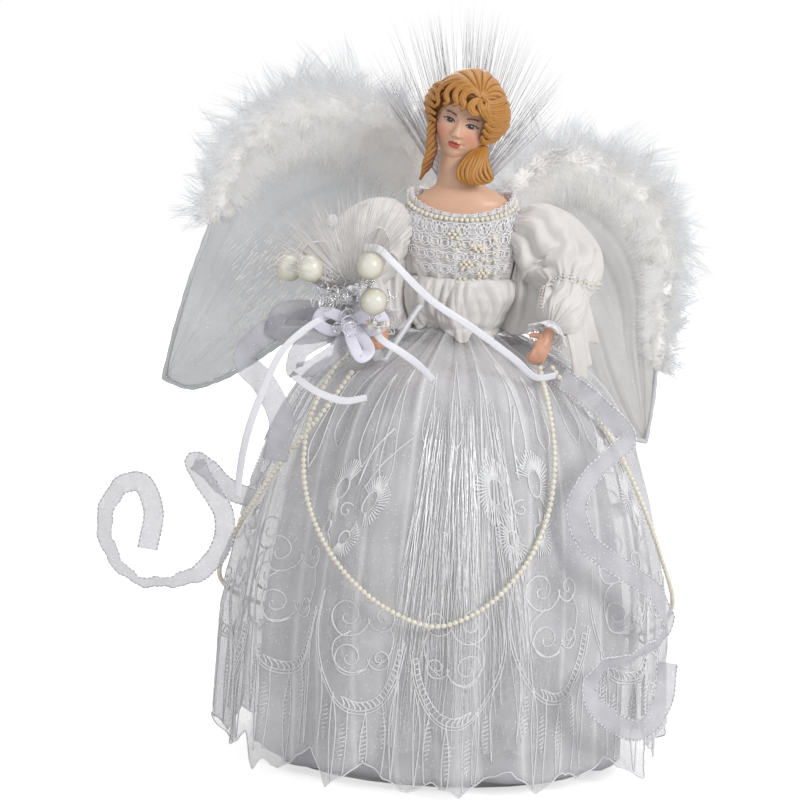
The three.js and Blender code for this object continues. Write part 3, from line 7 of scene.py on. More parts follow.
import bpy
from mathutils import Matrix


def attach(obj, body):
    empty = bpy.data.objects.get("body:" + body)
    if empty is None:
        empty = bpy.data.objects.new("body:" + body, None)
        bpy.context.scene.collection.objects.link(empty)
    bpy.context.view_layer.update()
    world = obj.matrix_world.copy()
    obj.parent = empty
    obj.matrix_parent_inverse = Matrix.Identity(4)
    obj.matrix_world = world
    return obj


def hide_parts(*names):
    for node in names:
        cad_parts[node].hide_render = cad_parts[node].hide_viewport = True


bl_info = {
    "name": "Angel Tree Topper",
    "version": (1, 0, 0),
    "blender": (4, 5, 0),
    "location": "3D View > Sidebar > Topper",
    "description": "Dresses the solids of an angel tree topper and sets up its studio",
    "category": "Object",
}

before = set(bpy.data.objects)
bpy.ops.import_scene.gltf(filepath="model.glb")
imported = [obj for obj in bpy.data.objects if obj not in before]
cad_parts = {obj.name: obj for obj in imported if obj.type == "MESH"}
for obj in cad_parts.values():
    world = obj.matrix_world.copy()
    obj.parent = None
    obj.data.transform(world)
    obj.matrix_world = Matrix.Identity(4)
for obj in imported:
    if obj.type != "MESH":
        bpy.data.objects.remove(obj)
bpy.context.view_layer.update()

import math

import bmesh
import bpy
import numpy as np
from mathutils import Matrix, Vector

MM = 0.001
TURN = 2 * math.pi
ANGEL = "angel"
SIGN = {"left": -1, "right": 1}

# The gown's frame, in the sizes that the solids were made to.
WAIST = 236
BODICE_TOP = 303
HEM_RADIUS = 119
SKIRT = ((0, 1), (0.2, 0.985), (0.34, 0.975), (0.5, 0.925), (0.66, 0.845), (0.8, 0.735), (0.9, 0.58),
         (0.955, 0.4), (1, 0.245))
TORSO = {
    "width": ((0, 0.7), (0.21, 0.79), (0.48, 0.94), (0.7, 1), (0.88, 0.97), (1, 0.85)),
    "depth": ((0, 0.77), (0.21, 0.86), (0.48, 1), (0.7, 0.95), (0.88, 0.77), (1, 0.68)),
    "forward": ((0, 0), (0.21, 0.05), (0.48, 0.14), (0.7, 0.09), (0.88, 0), (1, -0.05)),
}
CHEST = (33, 22)
SHOULDER = (28, 0, 289)
ARM_REACH = 60
ARMS = {
    "left": ((0, 0, 0), (-0.28, -0.1, -0.08), (-0.47, -0.3, -0.33), (-0.43, -0.58, -0.58),
             (-0.27, -0.83, -0.75)),
    "right": ((0, 0, 0), (0.3, -0.05, -0.05), (0.5, -0.17, -0.27), (0.52, -0.4, -0.53), (0.37, -0.65, -0.8)),
}
HANDS = {
    "left": {"reach": (0.2, -0.8, -0.5), "fold": (-0.91, 0, -0.37)},
    "right": {"reach": (-0.35, -0.4, -0.85), "fold": (-0.7, 0.6, 0)},
}
HINGE = (12, 43, 290)
WING_SIZE = {"reach": 152, "rise": 57, "fall": 104}
LEADING = ((0.055, 0.42), (0.14, 0.78), (0.3, 0.97), (0.45, 1), (0.62, 0.83), (0.74, 0.5), (0.81, 0.05),
           (0.86, -0.19), (0.91, -0.41), (0.96, -0.68), (1, -0.96))
TRAILING = ((0.06, -0.06), (0.11, -0.22), (0.2, -0.38), (0.31, -0.49), (0.42, -0.58), (0.54, -0.7),
            (0.66, -0.83), (0.78, -0.94), (0.9, -1))
WINGS = {
    "left": {"droop": 0, "sweep": 12, "fall": 1, "boa_end": 0.68},
    "right": {"droop": 26, "sweep": 25, "fall": 0.66, "boa_end": 0.84},
}
STEM_LEAN = (-0.34, -0.42, 0.84)
STEM_LENGTH = 40
STEM_GRIP = 0.35
STEM_RADII = (3.4, 8)
PALM = (3, 5, 6.4)
CUFF_LENGTH = 7
HEAD_PLACE = (0, -2, 347)
HALO_PLACE = (0, 25, 299)

# Routes of the free strands, as in the solids.
DRAPE_ROUTE = ((-51, -86, 283.6), (-43, -91, 283.6), (-35, -94, 277), (-15, -87, 258), (8, -80, 243),
               (30, -71, 227), (42, -64, 217), (53, -54, 217))
TAIL_ROUTE = ((-56, -72, 248), (-70, -84, 246), (-90, -92, 230), (-101, -88, 205), (-108, -82, 182),
              (-111, -76, 163), (-112, -72, 148))
GARLAND_FRONT_ROUTE = ((-46, -66, 232), (-58, -68, 226), (-70, -66, 206), (-77, -66, 184), (-77, -76, 158),
                       (-68, -92, 134), (-52, -106, 114), (-30, -117, 99), (-6, -121, 92), (14, -120, 99),
                       (30, -115, 112), (44, -105, 131), (52, -94, 155), (53, -82, 181), (49, -70, 204),
                       (46, -57, 214), (44, -50, 222))
GARLAND_BACK_ROUTE = ((50, -52, 222), (58, -51, 212), (76, -49, 195), (91, -46, 172), (104, -39, 145),
                      (116, -25, 115), (124, 4, 88), (119, 39, 68), (102, 74, 56), (72, 103, 50),
                      (33, 122, 48), (-11, 126, 49), (-53, 115, 53), (-87, 91, 60), (-111, 57, 72),
                      (-123, 17, 90), (-118, -17, 112), (-105, -42, 140), (-88, -57, 168), (-68, -61, 195),
                      (-53, -62, 218))

# Ribbons: x and y in shares of the hem's radius, z in shares of the waist's height, then a turn in degrees.
LEFT_RIBBON = ((-0.88, -0.3, 0.6, 0), (-1, -0.27, 0.62, 0), (-1.09, -0.25, 0.66, 0),
               (-1.15, -0.29, 0.68, 10), (-1.1, -0.35, 0.64, 0), (-1.01, -0.36, 0.57, 0),
               (-1.01, -0.34, 0.5, 0), (-1.1, -0.3, 0.43, 20), (-1.24, -0.27, 0.4, 50),
               (-1.4, -0.24, 0.4, 55), (-1.52, -0.21, 0.46, 40), (-1.55, -0.19, 0.54, 35),
               (-1.48, -0.2, 0.61, 30), (-1.39, -0.22, 0.62, 10), (-1.33, -0.24, 0.56, 0),
               (-1.35, -0.25, 0.47, 0))
RIGHT_RIBBON = ((0.4, -0.33, 0.93, 20), (0.52, -0.48, 0.9, 20), (0.64, -0.6, 0.86, 0),
                (0.76, -0.68, 0.8, 20), (0.64, -0.78, 0.74, 30), (0.55, -0.84, 0.66, 10),
                (0.6, -0.86, 0.58, 10), (0.76, -0.82, 0.52, 20), (0.92, -0.74, 0.46, 40),
                (0.98, -0.7, 0.38, 60), (0.86, -0.8, 0.33, 60), (0.68, -0.92, 0.3, 50),
                (0.64, -0.97, 0.25, 40), (0.74, -0.93, 0.19, 20), (0.88, -0.82, 0.16, 0),
                (0.97, -0.72, 0.21, 0), (0.99, -0.68, 0.3, 0))
BOW_RIBBON = ((-0.5, -0.6, 1.04, 10), (-0.66, -0.64, 1.03, 10), (-0.84, -0.64, 1, 0),
              (-0.93, -0.66, 0.94, 20), (-0.84, -0.7, 0.89, 10), (-0.76, -0.72, 0.81, 0),
              (-0.78, -0.72, 0.72, 0))


def settings():
    """What is set for the topper in the scene."""
    return bpy.context.scene.topper


# Curves and numbers
def value_at(table, places):
    """Smooth curve through a table of (place, value) pairs, as in the solids."""
    places = np.asarray(places, float)
    xs, ys = (np.array(column, float) for column in zip(*table))
    i = np.clip(np.searchsorted(xs, places, side="right") - 1, 0, len(xs) - 2)
    slopes = np.diff(ys) / np.diff(xs)
    span = xs[i + 1] - xs[i]
    t = np.clip((places - xs[i]) / span, 0, 1)
    here = slopes[i]
    before = np.where(i > 0, (slopes[np.maximum(i - 1, 0)] + here) / 2, here)
    after = np.where(i < len(slopes) - 1, (slopes[np.minimum(i + 1, len(slopes) - 1)] + here) / 2, here)
    ease = t * t * (3 - 2 * t)
    bend = t * (1 - t) * ((1 - t) * before - t * after)
    return ys[i] + (ys[i + 1] - ys[i]) * ease + span * bend


def smoothstep(x, low, high):
    t = np.clip((np.asarray(x, float) - low) / (high - low), 0, 1)
    return t * t * (3 - 2 * t)


def full_turn(count):
    """Angles at even steps all the way round."""
    return np.arange(count) * TURN / count


def unit(v):
    v = np.asarray(v, float)
    return v / np.maximum(np.linalg.norm(v, axis=-1, keepdims=True), 1e-12)


def hash01(i, salt=0.0):
    """A steady spread of numbers from 0 to 1, the same in every run."""
    s = np.sin(np.asarray(i, float) * 12.9898 + salt * 78.233) * 43758.5453
    return s - np.floor(s)


def spline(points, per_span=24):
    """Centripetal curve through the points, sampled closely."""
    p = np.asarray(points, float)
    out = []
    for i in range(len(p) - 1):
        p1, p2 = p[i], p[i + 1]
        p0 = p[i - 1] if i else 2 * p1 - p2
        p3 = p[i + 2] if i + 2 < len(p) else 2 * p2 - p1
        legs = ((p0, p1), (p1, p2), (p2, p3))
        d0, d1, d2 = (max(np.linalg.norm(b[:3] - a[:3]) ** 0.5, 1e-4) for a, b in legs)
        m1 = ((p1 - p0) / d0 - (p2 - p0) / (d0 + d1) + (p2 - p1) / d1) * d1
        m2 = ((p2 - p1) / d1 - (p3 - p1) / (d1 + d2) + (p3 - p2) / d2) * d1
        t = np.linspace(0, 1, per_span, endpoint=False)[:, None]
        out.append(p1 + t * m1 + t * t * (-3 * p1 + 3 * p2 - 2 * m1 - m2) +
                   t ** 3 * (2 * p1 - 2 * p2 + m1 + m2))
    return np.vstack(out + [p[-1:]])


def run_of(points):
    """How far along the line each of its points is."""
    return np.concatenate([[0], np.cumsum(np.linalg.norm(np.diff(points[:, :3], axis=0), axis=1))])


def even(points, count):
    """The same line with count points at equal steps along it."""
    along = run_of(points)
    at = np.linspace(0, along[-1], count)
    return np.stack([np.interp(at, along, points[:, k]) for k in range(points.shape[1])], axis=1)


def smooth_line(points, count):
    return even(spline(points), count)


def at_shares(line, shares):
    """Places at shares of a line, counted from 0 at its start to 1 at its end."""
    steps = np.linspace(0, 1, len(line))
    return np.stack([np.interp(shares, steps, line[:, k]) for k in range(3)], axis=1)


def length_of(points):
    return float(np.linalg.norm(np.diff(np.asarray(points, float)[:, :3], axis=0), axis=1).sum())


def frames_of(paths):
    """Tangents and two steady normals of a stack of paths (k, n, 3)."""
    paths = np.asarray(paths, float)
    tangent = unit(np.gradient(paths, axis=1))
    seed = np.where(np.abs(tangent[:, :1, 2:]) < 0.9, np.array([0.0, 0.0, 1.0]), np.array([1.0, 0.0, 0.0]))
    normal = np.empty_like(paths)
    current = unit(np.cross(tangent[:, 0], seed[:, 0]))
    for i in range(paths.shape[1]):
        t = tangent[:, i]
        current = unit(current - (current * t).sum(1, keepdims=True) * t)
        normal[:, i] = current
    return tangent, normal, np.cross(tangent, normal)


def turned(points, axis, degrees):
    return np.asarray(points, float) @ np.array(Matrix.Rotation(math.radians(degrees), 3, axis)).T


# Meshes
def mesh_object(name, verts, faces, uv=None, values=None):
    """A mesh object from millimetres.

    faces is a list of (m, k) index arrays, and values are point attributes.
    """
    mesh = bpy.data.meshes.new(name)
    verts = np.asarray(verts, float).reshape(-1, 3) * MM
    faces = [np.asarray(f, np.int32) for f in faces if len(f)]
    mesh.vertices.add(len(verts))
    mesh.vertices.foreach_set("co", verts.ravel())
    loops = np.concatenate([f.ravel() for f in faces])
    totals = np.concatenate([np.full(len(f), f.shape[1], np.int32) for f in faces])
    mesh.loops.add(len(loops))
    mesh.loops.foreach_set("vertex_index", loops)
    mesh.polygons.add(len(totals))
    mesh.polygons.foreach_set("loop_start", np.concatenate([[0], np.cumsum(totals)[:-1]]).astype(np.int32))
    mesh.polygons.foreach_set("loop_total", totals)
    mesh.polygons.foreach_set("use_smooth", np.ones(len(totals), bool))
    mesh.update(calc_edges=True)
    if uv is not None:
        layer = mesh.uv_layers.new(name="UVMap")
        layer.data.foreach_set("uv", np.asarray(uv, np.float32)[loops].ravel())
    for key, data in (values or {}).items():
        data = np.asarray(data, np.float32)
        kind = "FLOAT_VECTOR" if data.ndim == 2 else "FLOAT"
        attribute = mesh.attributes.new(key, kind, "POINT")
        attribute.data.foreach_set("vector" if data.ndim == 2 else "value", data.ravel())
    obj = bpy.data.objects.new(name, mesh)
    bpy.context.scene.collection.objects.link(obj)
    return obj


def grid_faces(rows, columns, wrapped=False, start=0):
    spans = columns if wrapped else columns - 1
    r, c = np.meshgrid(np.arange(rows - 1), np.arange(spans), indexing="ij")
    a = r * columns + c
    b = r * columns + (c + 1) % columns
    return (np.stack([a, b, b + columns, a + columns], axis=-1).reshape(-1, 4)) + start


def capped_faces(rows, columns):
    """Faces of a closed tube of rows, with a flat cap at each end."""
    ring = np.arange(columns)[None]
    return [grid_faces(rows, columns, True), ring[:, ::-1], ring + (rows - 1) * columns]


def grid_uv(rows, columns, width, height):
    """UV in metres of cloth, so that weave keeps its size."""
    u, v = np.meshgrid(np.linspace(0, width, columns), np.linspace(0, height, rows))
    return np.stack([u, v], axis=-1).reshape(-1, 2) * MM


def only(obj):
    bpy.ops.object.select_all(action="DESELECT")
    obj.select_set(True)
    bpy.context.view_layer.objects.active = obj


def apply_modifier(obj, kind, **settings):
    modifier = obj.modifiers.new(kind.title(), kind)
    for key, value in settings.items():
        setattr(modifier, key, value)
    only(obj)
    bpy.ops.object.modifier_apply(modifier=modifier.name)


def face_out(obj):
    only(obj)
    bpy.ops.object.mode_set(mode="EDIT")
    bpy.ops.mesh.select_all(action="SELECT")
    bpy.ops.mesh.normals_make_consistent(inside=False)
    bpy.ops.object.mode_set(mode="OBJECT")


def finish_piece(obj, material, body=ANGEL, replaces=()):
    obj.data.materials.clear()
    obj.data.materials.append(material)
    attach(obj, body)
    if replaces:
        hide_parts(*replaces)
    return obj


def cloth(name, grid, wall, wrapped=False, values=None, offset=0):
    """Sheet of cloth over a grid of points (rows, columns, 3), with a wall and closed edges."""
    rows, columns = grid.shape[:2]
    width = length_of(grid[rows // 2])
    height = length_of(grid[:, columns // 2])
    obj = mesh_object(name, grid, [grid_faces(rows, columns, wrapped)], grid_uv(rows, columns, width, height),
                      values)
    apply_modifier(obj, "SOLIDIFY", thickness=wall * MM, offset=offset, use_even_offset=False)
    return obj


def tubes(paths, radii, sides):
    """Verts and faces of many tubes with as many points each. radii is (k, n) or a number."""
    paths = np.asarray(paths, float)
    count, steps = paths.shape[:2]
    radii = np.broadcast_to(np.asarray(radii, float), (count, steps))
    _, normal, binormal = frames_of(paths)
    a = full_turn(sides)
    ring = (np.cos(a)[:, None] * normal[:, :, None, :] + np.sin(a)[:, None] * binormal[:, :, None, :])
    verts = (paths[:, :, None, :] + ring * radii[:, :, None, None]).reshape(-1, 3)
    base = grid_faces(steps, sides, True)[:, ::-1]
    stride = steps * sides
    quads = (base[None] + (np.arange(count) * stride)[:, None, None]).reshape(-1, 4)
    first = np.arange(sides)[None] + (np.arange(count) * stride)[:, None]
    last = first[:, ::-1] + stride - sides
    return verts, [quads, first, last]


def needles(roots, directions, lengths, radius, bends, segments, taper=0.7):
    """Thin threads with three sides that taper to a point. bends is a sideways curve for each."""
    count = len(roots)
    t = np.linspace(0, 1, segments + 1)[None, :, None]
    paths = roots[:, None] + directions[:, None] * lengths[:, None, None] * t + bends[:, None] * t * t
    _, normal, binormal = frames_of(paths)
    a = full_turn(3)
    ring = np.cos(a)[:, None] * normal[:, :, None, :] + np.sin(a)[:, None] * binormal[:, :, None, :]
    width = np.asarray(radius, float).reshape(-1, 1, 1, 1) * (1 - taper * t[..., None])
    body = (paths[:, :, None, :] + ring * width)[:, :-1]
    stride = 3 * segments + 1
    verts = np.concatenate([body.reshape(count, -1, 3), paths[:, -1:]], axis=1).reshape(-1, 3)
    start = (np.arange(count) * stride)[:, None, None]
    sides = (grid_faces(segments, 3, True)[:, ::-1][None] + start).reshape(-1, 4)
    lead = 3 * (segments - 1)
    tips = np.array([[lead + 1, lead, stride - 1], [lead + 2, lead + 1, stride - 1],
                     [lead, lead + 2, stride - 1]])
    caps = np.array([[0, 1, 2]])
    triangles = (np.concatenate([tips, caps])[None] + start).reshape(-1, 3)
    return verts, [sides, triangles]


def bead_mesh(segments, rings):
    """Points and faces of a small round bead of radius 1."""
    lats = np.linspace(0, math.pi, rings + 1)[1:-1]
    a = full_turn(segments)
    body = np.stack([np.sin(lats)[:, None] * np.cos(a), np.sin(lats)[:, None] * np.sin(a),
                     np.repeat(np.cos(lats)[:, None], segments, 1)], axis=-1).reshape(-1, 3)
    verts = np.concatenate([body, [[0, 0, 1], [0, 0, -1]]])
    quads = grid_faces(rings - 1, segments, True)[:, ::-1]
    k = np.arange(segments)
    top = np.stack([k, (k + 1) % segments, np.full(segments, len(body))], 1)
    low = (rings - 2) * segments
    bottom = np.stack([low + (k + 1) % segments, low + k, np.full(segments, len(body) + 1)], 1)
    return verts, quads, np.concatenate([top, bottom])


def beads(centres, radii, segments=8, rings=5):
    centres = np.asarray(centres, float)
    radii = np.broadcast_to(np.asarray(radii, float), (len(centres),))
    verts, quads, triangles = bead_mesh(segments, rings)
    start = (np.arange(len(centres)) * len(verts))[:, None, None]
    placed = (centres[:, None] + verts[None] * radii[:, None, None]).reshape(-1, 3)
    return placed, [(quads[None] + start).reshape(-1, 4), (triangles[None] + start).reshape(-1, 3)]


def joined(parts):
    """One set of points and faces out of several."""
    verts, faces, start = [], [], 0
    for points, kinds in parts:
        verts.append(np.asarray(points, float).reshape(-1, 3))
        faces += [np.asarray(f) + start for f in kinds if len(f)]
        start += len(verts[-1])
    by_size = {}
    for f in faces:
        by_size.setdefault(f.shape[1], []).append(f)
    return np.concatenate(verts), [np.concatenate(group) for group in by_size.values()]


def threads(lines, radius, sides=3, step=1.3):
    """Tubes along lines of any length, as one set of points and faces."""
    groups = {}
    for line in lines:
        line = np.asarray(line, float)
        count = max(3, int(round(length_of(line) / step)) + 1)
        count = int(math.ceil(count / 4)) * 4
        groups.setdefault(count, []).append(even(line, count))
    return joined([tubes(np.stack(group), radius, sides) for group in groups.values()])


def cloth_piece(name, grid, wall, finish, replaces=(), wrapped=False, offset=0,
                values=None, body=ANGEL):
    """Sheet of cloth with its finish."""
    obj = cloth(name, grid, wall, wrapped, values, offset)
    finish_piece(obj, M[finish], body, replaces)
    return obj


def sewn_piece(name, lines, radius, finish, sides=3, step=1.3, replaces=()):
    """Threads along lines, with their finish."""
    return finish_piece(mesh_object(name, *threads(lines, radius, sides, step)), M[finish],
                        replaces=replaces)


def pearl_piece(name, centres, radii, segments, rings, replaces=()):
    """Small strung pearls at their centres."""
    obj = mesh_object(name, *beads(centres, radii, segments, rings))
    return finish_piece(obj, M["strung_pearl"], replaces=replaces)


# Shapes shared with the solids
def way_out(angle):
    """Level direction away from the middle of the body."""
    angle = np.asarray(angle, float)
    return np.stack([np.sin(angle), -np.cos(angle), np.zeros_like(angle)], axis=-1)


def torso_point(z, angle, grow=0.0):
    share = (np.asarray(z, float) - WAIST) / (BODICE_TOP - WAIST)
    half_width = CHEST[0] * value_at(TORSO["width"], share) + grow
    half_depth = CHEST[1] * value_at(TORSO["depth"], share) + grow
    middle = -CHEST[1] * value_at(TORSO["forward"], share)
    spot = (half_width * np.sin(angle), middle - half_depth * np.cos(angle), z)
    return np.stack(np.broadcast_arrays(*spot), axis=-1)


def skirt_radius(z, angle):
    share = np.clip(np.asarray(z, float) / WAIST, 0, 1)
    half_width = CHEST[0] * TORSO["width"][0][1] + 2.2
    half_depth = CHEST[1] * TORSO["depth"][0][1] + 2.2
    oval = 1 / np.hypot(np.sin(angle) / half_width, np.cos(angle) / half_depth)
    near = smoothstep(share, 0.88, 1)
    return HEM_RADIUS * value_at(SKIRT, share) + near * (oval - HEM_RADIUS * SKIRT[-1][1])


def main_fold(z, angle):
    calm = 0.4 + 0.6 * np.abs(np.sin(angle / 2))
    deep = 0.045 * calm * (1 - smoothstep(np.asarray(z, float) / WAIST, 0.75, 1))
    return 1 + deep * np.cos(12 * angle + 0.9 * np.sin(3 * angle))


def pleats(z, angle):
    """Soft pleats of the gown in millimetres: many at the waist, fewer and deeper towards the hem."""
    share = np.clip(np.asarray(z, float) / WAIST, 0, 1)
    drift = 0.5 * np.sin(3 * share + 2 * angle)
    waist = 1.1 * smoothstep(share, 0.5, 0.93) * (1 - smoothstep(share, 0.985, 1.0))
    fine = np.sin(46 * angle + 2 * drift) * 0.6 + np.sin(31 * angle + 3 * drift + 1.3) * 0.8
    broad = np.sin(19 * angle + drift + 0.6 * np.sin(5 * angle)) + 0.6 * np.sin(27 * angle - 2 * drift)
    low = 1.5 * (1 - smoothstep(share, 0.35, 0.95)) + 0.5
    high = smoothstep(share, 0.78, 0.92) * (1 - smoothstep(share, 0.965, 1.0))
    puff = 2.0 * high * np.sin(9 * angle + 5 * share + np.sin(4 * angle))
    crinkle = 0.32 * np.sin(83 * angle + 9 * share) * np.sin(14 * share + 7 * angle)
    return waist * fine + low * broad + puff + crinkle


def skirt_point(z, angle, share=1.0, grow=0.0, folded=True):
    radius = skirt_radius(z, angle) * share * (main_fold(z, angle) if folded else 1) + grow
    return np.stack(np.broadcast_arrays(radius * np.sin(angle), -radius * np.cos(angle), z), axis=-1)


def gown_point(z, angle, grow=0.0):
    return skirt_point(z, angle, 1.0, pleats(z, angle) + grow)


def shoulder(side):
    return np.array([SIGN[side] * SHOULDER[0], *SHOULDER[1:]], float)


def arm_line(side, count=60):
    return smooth_line(shoulder(side) + np.array(ARMS[side]) * ARM_REACH, count)


def palm(side):
    line = arm_line(side, 200)
    along = unit(line[-1] - line[-2])
    reach = unit(HANDS[side]["reach"])
    fold = np.array(HANDS[side]["fold"], float)
    fold = unit(fold - fold.dot(reach) * reach)
    start = line[-1] + along * CUFF_LENGTH
    return {"wrist": line[-1], "along": along, "start": start, "middle": start + reach * PALM[2],
            "reach": reach, "fold": fold, "across": unit(np.cross(reach, fold))}


STEM_ALONG = unit(STEM_LEAN)
_grip = palm("left")
STEM_FOOT = (_grip["middle"] + _grip["fold"] * (PALM[0] + STEM_RADII[0] + 0.3) -
             STEM_ALONG * STEM_LENGTH * STEM_GRIP)
BOUQUET = STEM_FOOT + STEM_ALONG * STEM_LENGTH
STEM_SIDE = unit(np.cross([0, 0, 1], STEM_ALONG))
STEM_UP = np.cross(STEM_ALONG, STEM_SIDE)


def stem_rim(around, lift=0.0):
    a = TURN * around
    return BOUQUET + STEM_ALONG * lift + STEM_RADII[1] * (STEM_SIDE * math.cos(a) + STEM_UP * math.sin(a))


def wing_edges(name):
    fall = WINGS[name]["fall"]

    def edge(rows):
        return [(u * WING_SIZE["reach"], 0, w * (WING_SIZE["rise"] if w > 0 else WING_SIZE["fall"] * fall))
                for u, w in rows]

    leading = [(0, 0, 0)] + edge(LEADING)
    return np.array(leading, float), np.array([(0, 0, 0)] + edge(TRAILING) + [leading[-1]], float)


def swept(points, name):
    """Turned back about the hinge to where the wing is at rest."""
    points = turned(points, "Z", SIGN[name] * WINGS[name]["sweep"])
    return points + np.array([SIGN[name] * HINGE[0], *HINGE[1:]])


def wing_place(points, name):
    """From the wing's own plane to its place at rest on the hinge."""
    return swept(turned(points, "Y", WINGS[name]["droop"]) * np.array([SIGN[name], 1, 1]), name)


# Materials
def new_group(name, inputs, outputs):
    """A node group: inputs as (name, kind, default) rows, outputs as (name, kind). Gives both ends too."""
    group = bpy.data.node_groups.new(name, "ShaderNodeTree")
    for label, kind, default in inputs:
        socket = group.interface.new_socket(label, in_out="INPUT", socket_type=kind)
        if default is not None:
            socket.default_value = default
    for label, kind in outputs:
        group.interface.new_socket(label, in_out="OUTPUT", socket_type=kind)
    start = group.nodes.new("NodeGroupInput")
    end = group.nodes.new("NodeGroupOutput")
    start.location, end.location = (-900, 0), (600, 0)
    return group, start.outputs, end.inputs


def rgba(color):
    return (*color, 1) if len(color) == 3 else color


def feed(tree, socket, value):
    """Gives an input what another node puts out, or a number or colour of its own."""
    if isinstance(value, bpy.types.NodeSocket):
        tree.links.new(value, socket)
    elif value is not None:
        socket.default_value = rgba(value) if socket.type == "RGBA" else value


def place(tree, kind, x, y, inputs=None, **settings):
    """A node at its place in the tree, with its settings and what goes into it."""
    node = tree.nodes.new(kind)
    node.location = (x, y)
    for key, value in settings.items():
        setattr(node, key, value)
    for key, value in (inputs or {}).items():
        feed(tree, node.inputs[key], value)
    return node


def calc(tree, operation, x, y, *values, clamp=False):
    node = place(tree, "ShaderNodeMath", x, y, dict(enumerate(values)), operation=operation, use_clamp=clamp)
    return node.outputs[0]


def mixed(tree, x, y, factor, first, second, how="MIX"):
    """One colour out of two."""
    node = place(tree, "ShaderNodeMix", x, y, {"Factor": factor, 6: first, 7: second}, data_type="RGBA",
                 blend_type=how)
    return node.outputs[2]


def build_weave():
    """Over and under threads, counted per metre, with the run of them a little uneven."""
    tree, given, asked = new_group(
        "Thread Weave",
        [("Vector", "NodeSocketVector", None), ("Threads", "NodeSocketFloat", 2600.0)],
        [("Height", "NodeSocketFloat")])
    uneven = place(tree, "ShaderNodeTexNoise", -700, -200, {"Vector": given["Vector"], "Scale": 240})
    shift = place(tree, "ShaderNodeVectorMath", -500, -200, {0: uneven.outputs["Color"], "Scale": 0.0006},
                  operation="SCALE")
    moved = place(tree, "ShaderNodeVectorMath", -340, 0, {0: given["Vector"], 1: shift.outputs[0]},
                  operation="ADD")
    split = place(tree, "ShaderNodeSeparateXYZ", -180, 0, {0: moved.outputs[0]})
    waves = []
    for k, axis in enumerate("XY"):
        turns = calc(tree, "MULTIPLY", -20, -160 * k, split.outputs[axis], given["Threads"])
        waves.append(calc(tree, "SINE", 120, -160 * k, calc(tree, "MULTIPLY", 60, -160 * k, turns, TURN)))
    both = calc(tree, "MULTIPLY", 280, 0, *waves)
    feed(tree, asked["Height"], calc(tree, "MULTIPLY_ADD", 420, 0, both, 0.5, 0.5))


def build_tone():
    """Soft cloudy change from one colour to another."""
    tree, given, asked = new_group(
        "Soft Tone",
        [("Vector", "NodeSocketVector", None), ("Scale", "NodeSocketFloat", 30.0),
         ("Low", "NodeSocketColor", (0.5, 0.5, 0.5, 1)), ("High", "NodeSocketColor", (1, 1, 1, 1)),
         ("Contrast", "NodeSocketFloat", 1.6)],
        [("Color", "NodeSocketColor"), ("Value", "NodeSocketFloat")])
    noise = place(tree, "ShaderNodeTexNoise", -600, 0,
                  {"Vector": given["Vector"], "Scale": given["Scale"], "Detail": 4})
    centred = calc(tree, "SUBTRACT", -400, 0, noise.outputs["Fac"], 0.5)
    wide = calc(tree, "MULTIPLY", -250, 0, centred, given["Contrast"])
    value = calc(tree, "ADD", -100, 0, wide, 0.5, clamp=True)
    feed(tree, asked["Color"], mixed(tree, 200, 0, value, given["Low"], given["High"]))
    feed(tree, asked["Value"], value)


def build_glitter():
    """Small flakes, each on or off by chance."""
    tree, given, asked = new_group(
        "Glitter Flakes",
        [("Vector", "NodeSocketVector", None), ("Scale", "NodeSocketFloat", 900.0),
         ("Share", "NodeSocketFloat", 0.12)],
        [("Mask", "NodeSocketFloat")])
    cells = place(tree, "ShaderNodeTexVoronoi", -600, 0, {"Vector": given["Vector"], "Scale": given["Scale"]},
                  feature="F1")
    split = place(tree, "ShaderNodeSeparateColor", -400, -100, {0: cells.outputs["Color"]})
    chosen = calc(tree, "LESS_THAN", -200, -100, split.outputs[0], given["Share"])
    near = calc(tree, "LESS_THAN", -200, 100, cells.outputs["Distance"], 0.32)
    feed(tree, asked["Mask"], calc(tree, "MULTIPLY", 100, 0, chosen, near))


def build_streaks():
    """Fine broken lines along the second axis of the vector."""
    tree, given, asked = new_group(
        "Fine Streaks",
        [("Vector", "NodeSocketVector", None), ("Across", "NodeSocketFloat", 900.0),
         ("Along", "NodeSocketFloat", 30.0), ("Level", "NodeSocketFloat", 0.6)],
        [("Mask", "NodeSocketFloat")])
    join = place(tree, "ShaderNodeCombineXYZ", -600, 0,
                 {0: given["Across"], 1: given["Along"], 2: given["Across"]})
    scaled = place(tree, "ShaderNodeVectorMath", -420, 0, {0: given["Vector"], 1: join.outputs[0]},
                   operation="MULTIPLY")
    noise = place(tree, "ShaderNodeTexNoise", -240, 0, {"Vector": scaled.outputs[0], "Scale": 1, "Detail": 2})
    over = calc(tree, "SUBTRACT", 0, 0, noise.outputs["Fac"], given["Level"])
    feed(tree, asked["Mask"], calc(tree, "MULTIPLY", 160, 0, over, 12, clamp=True))


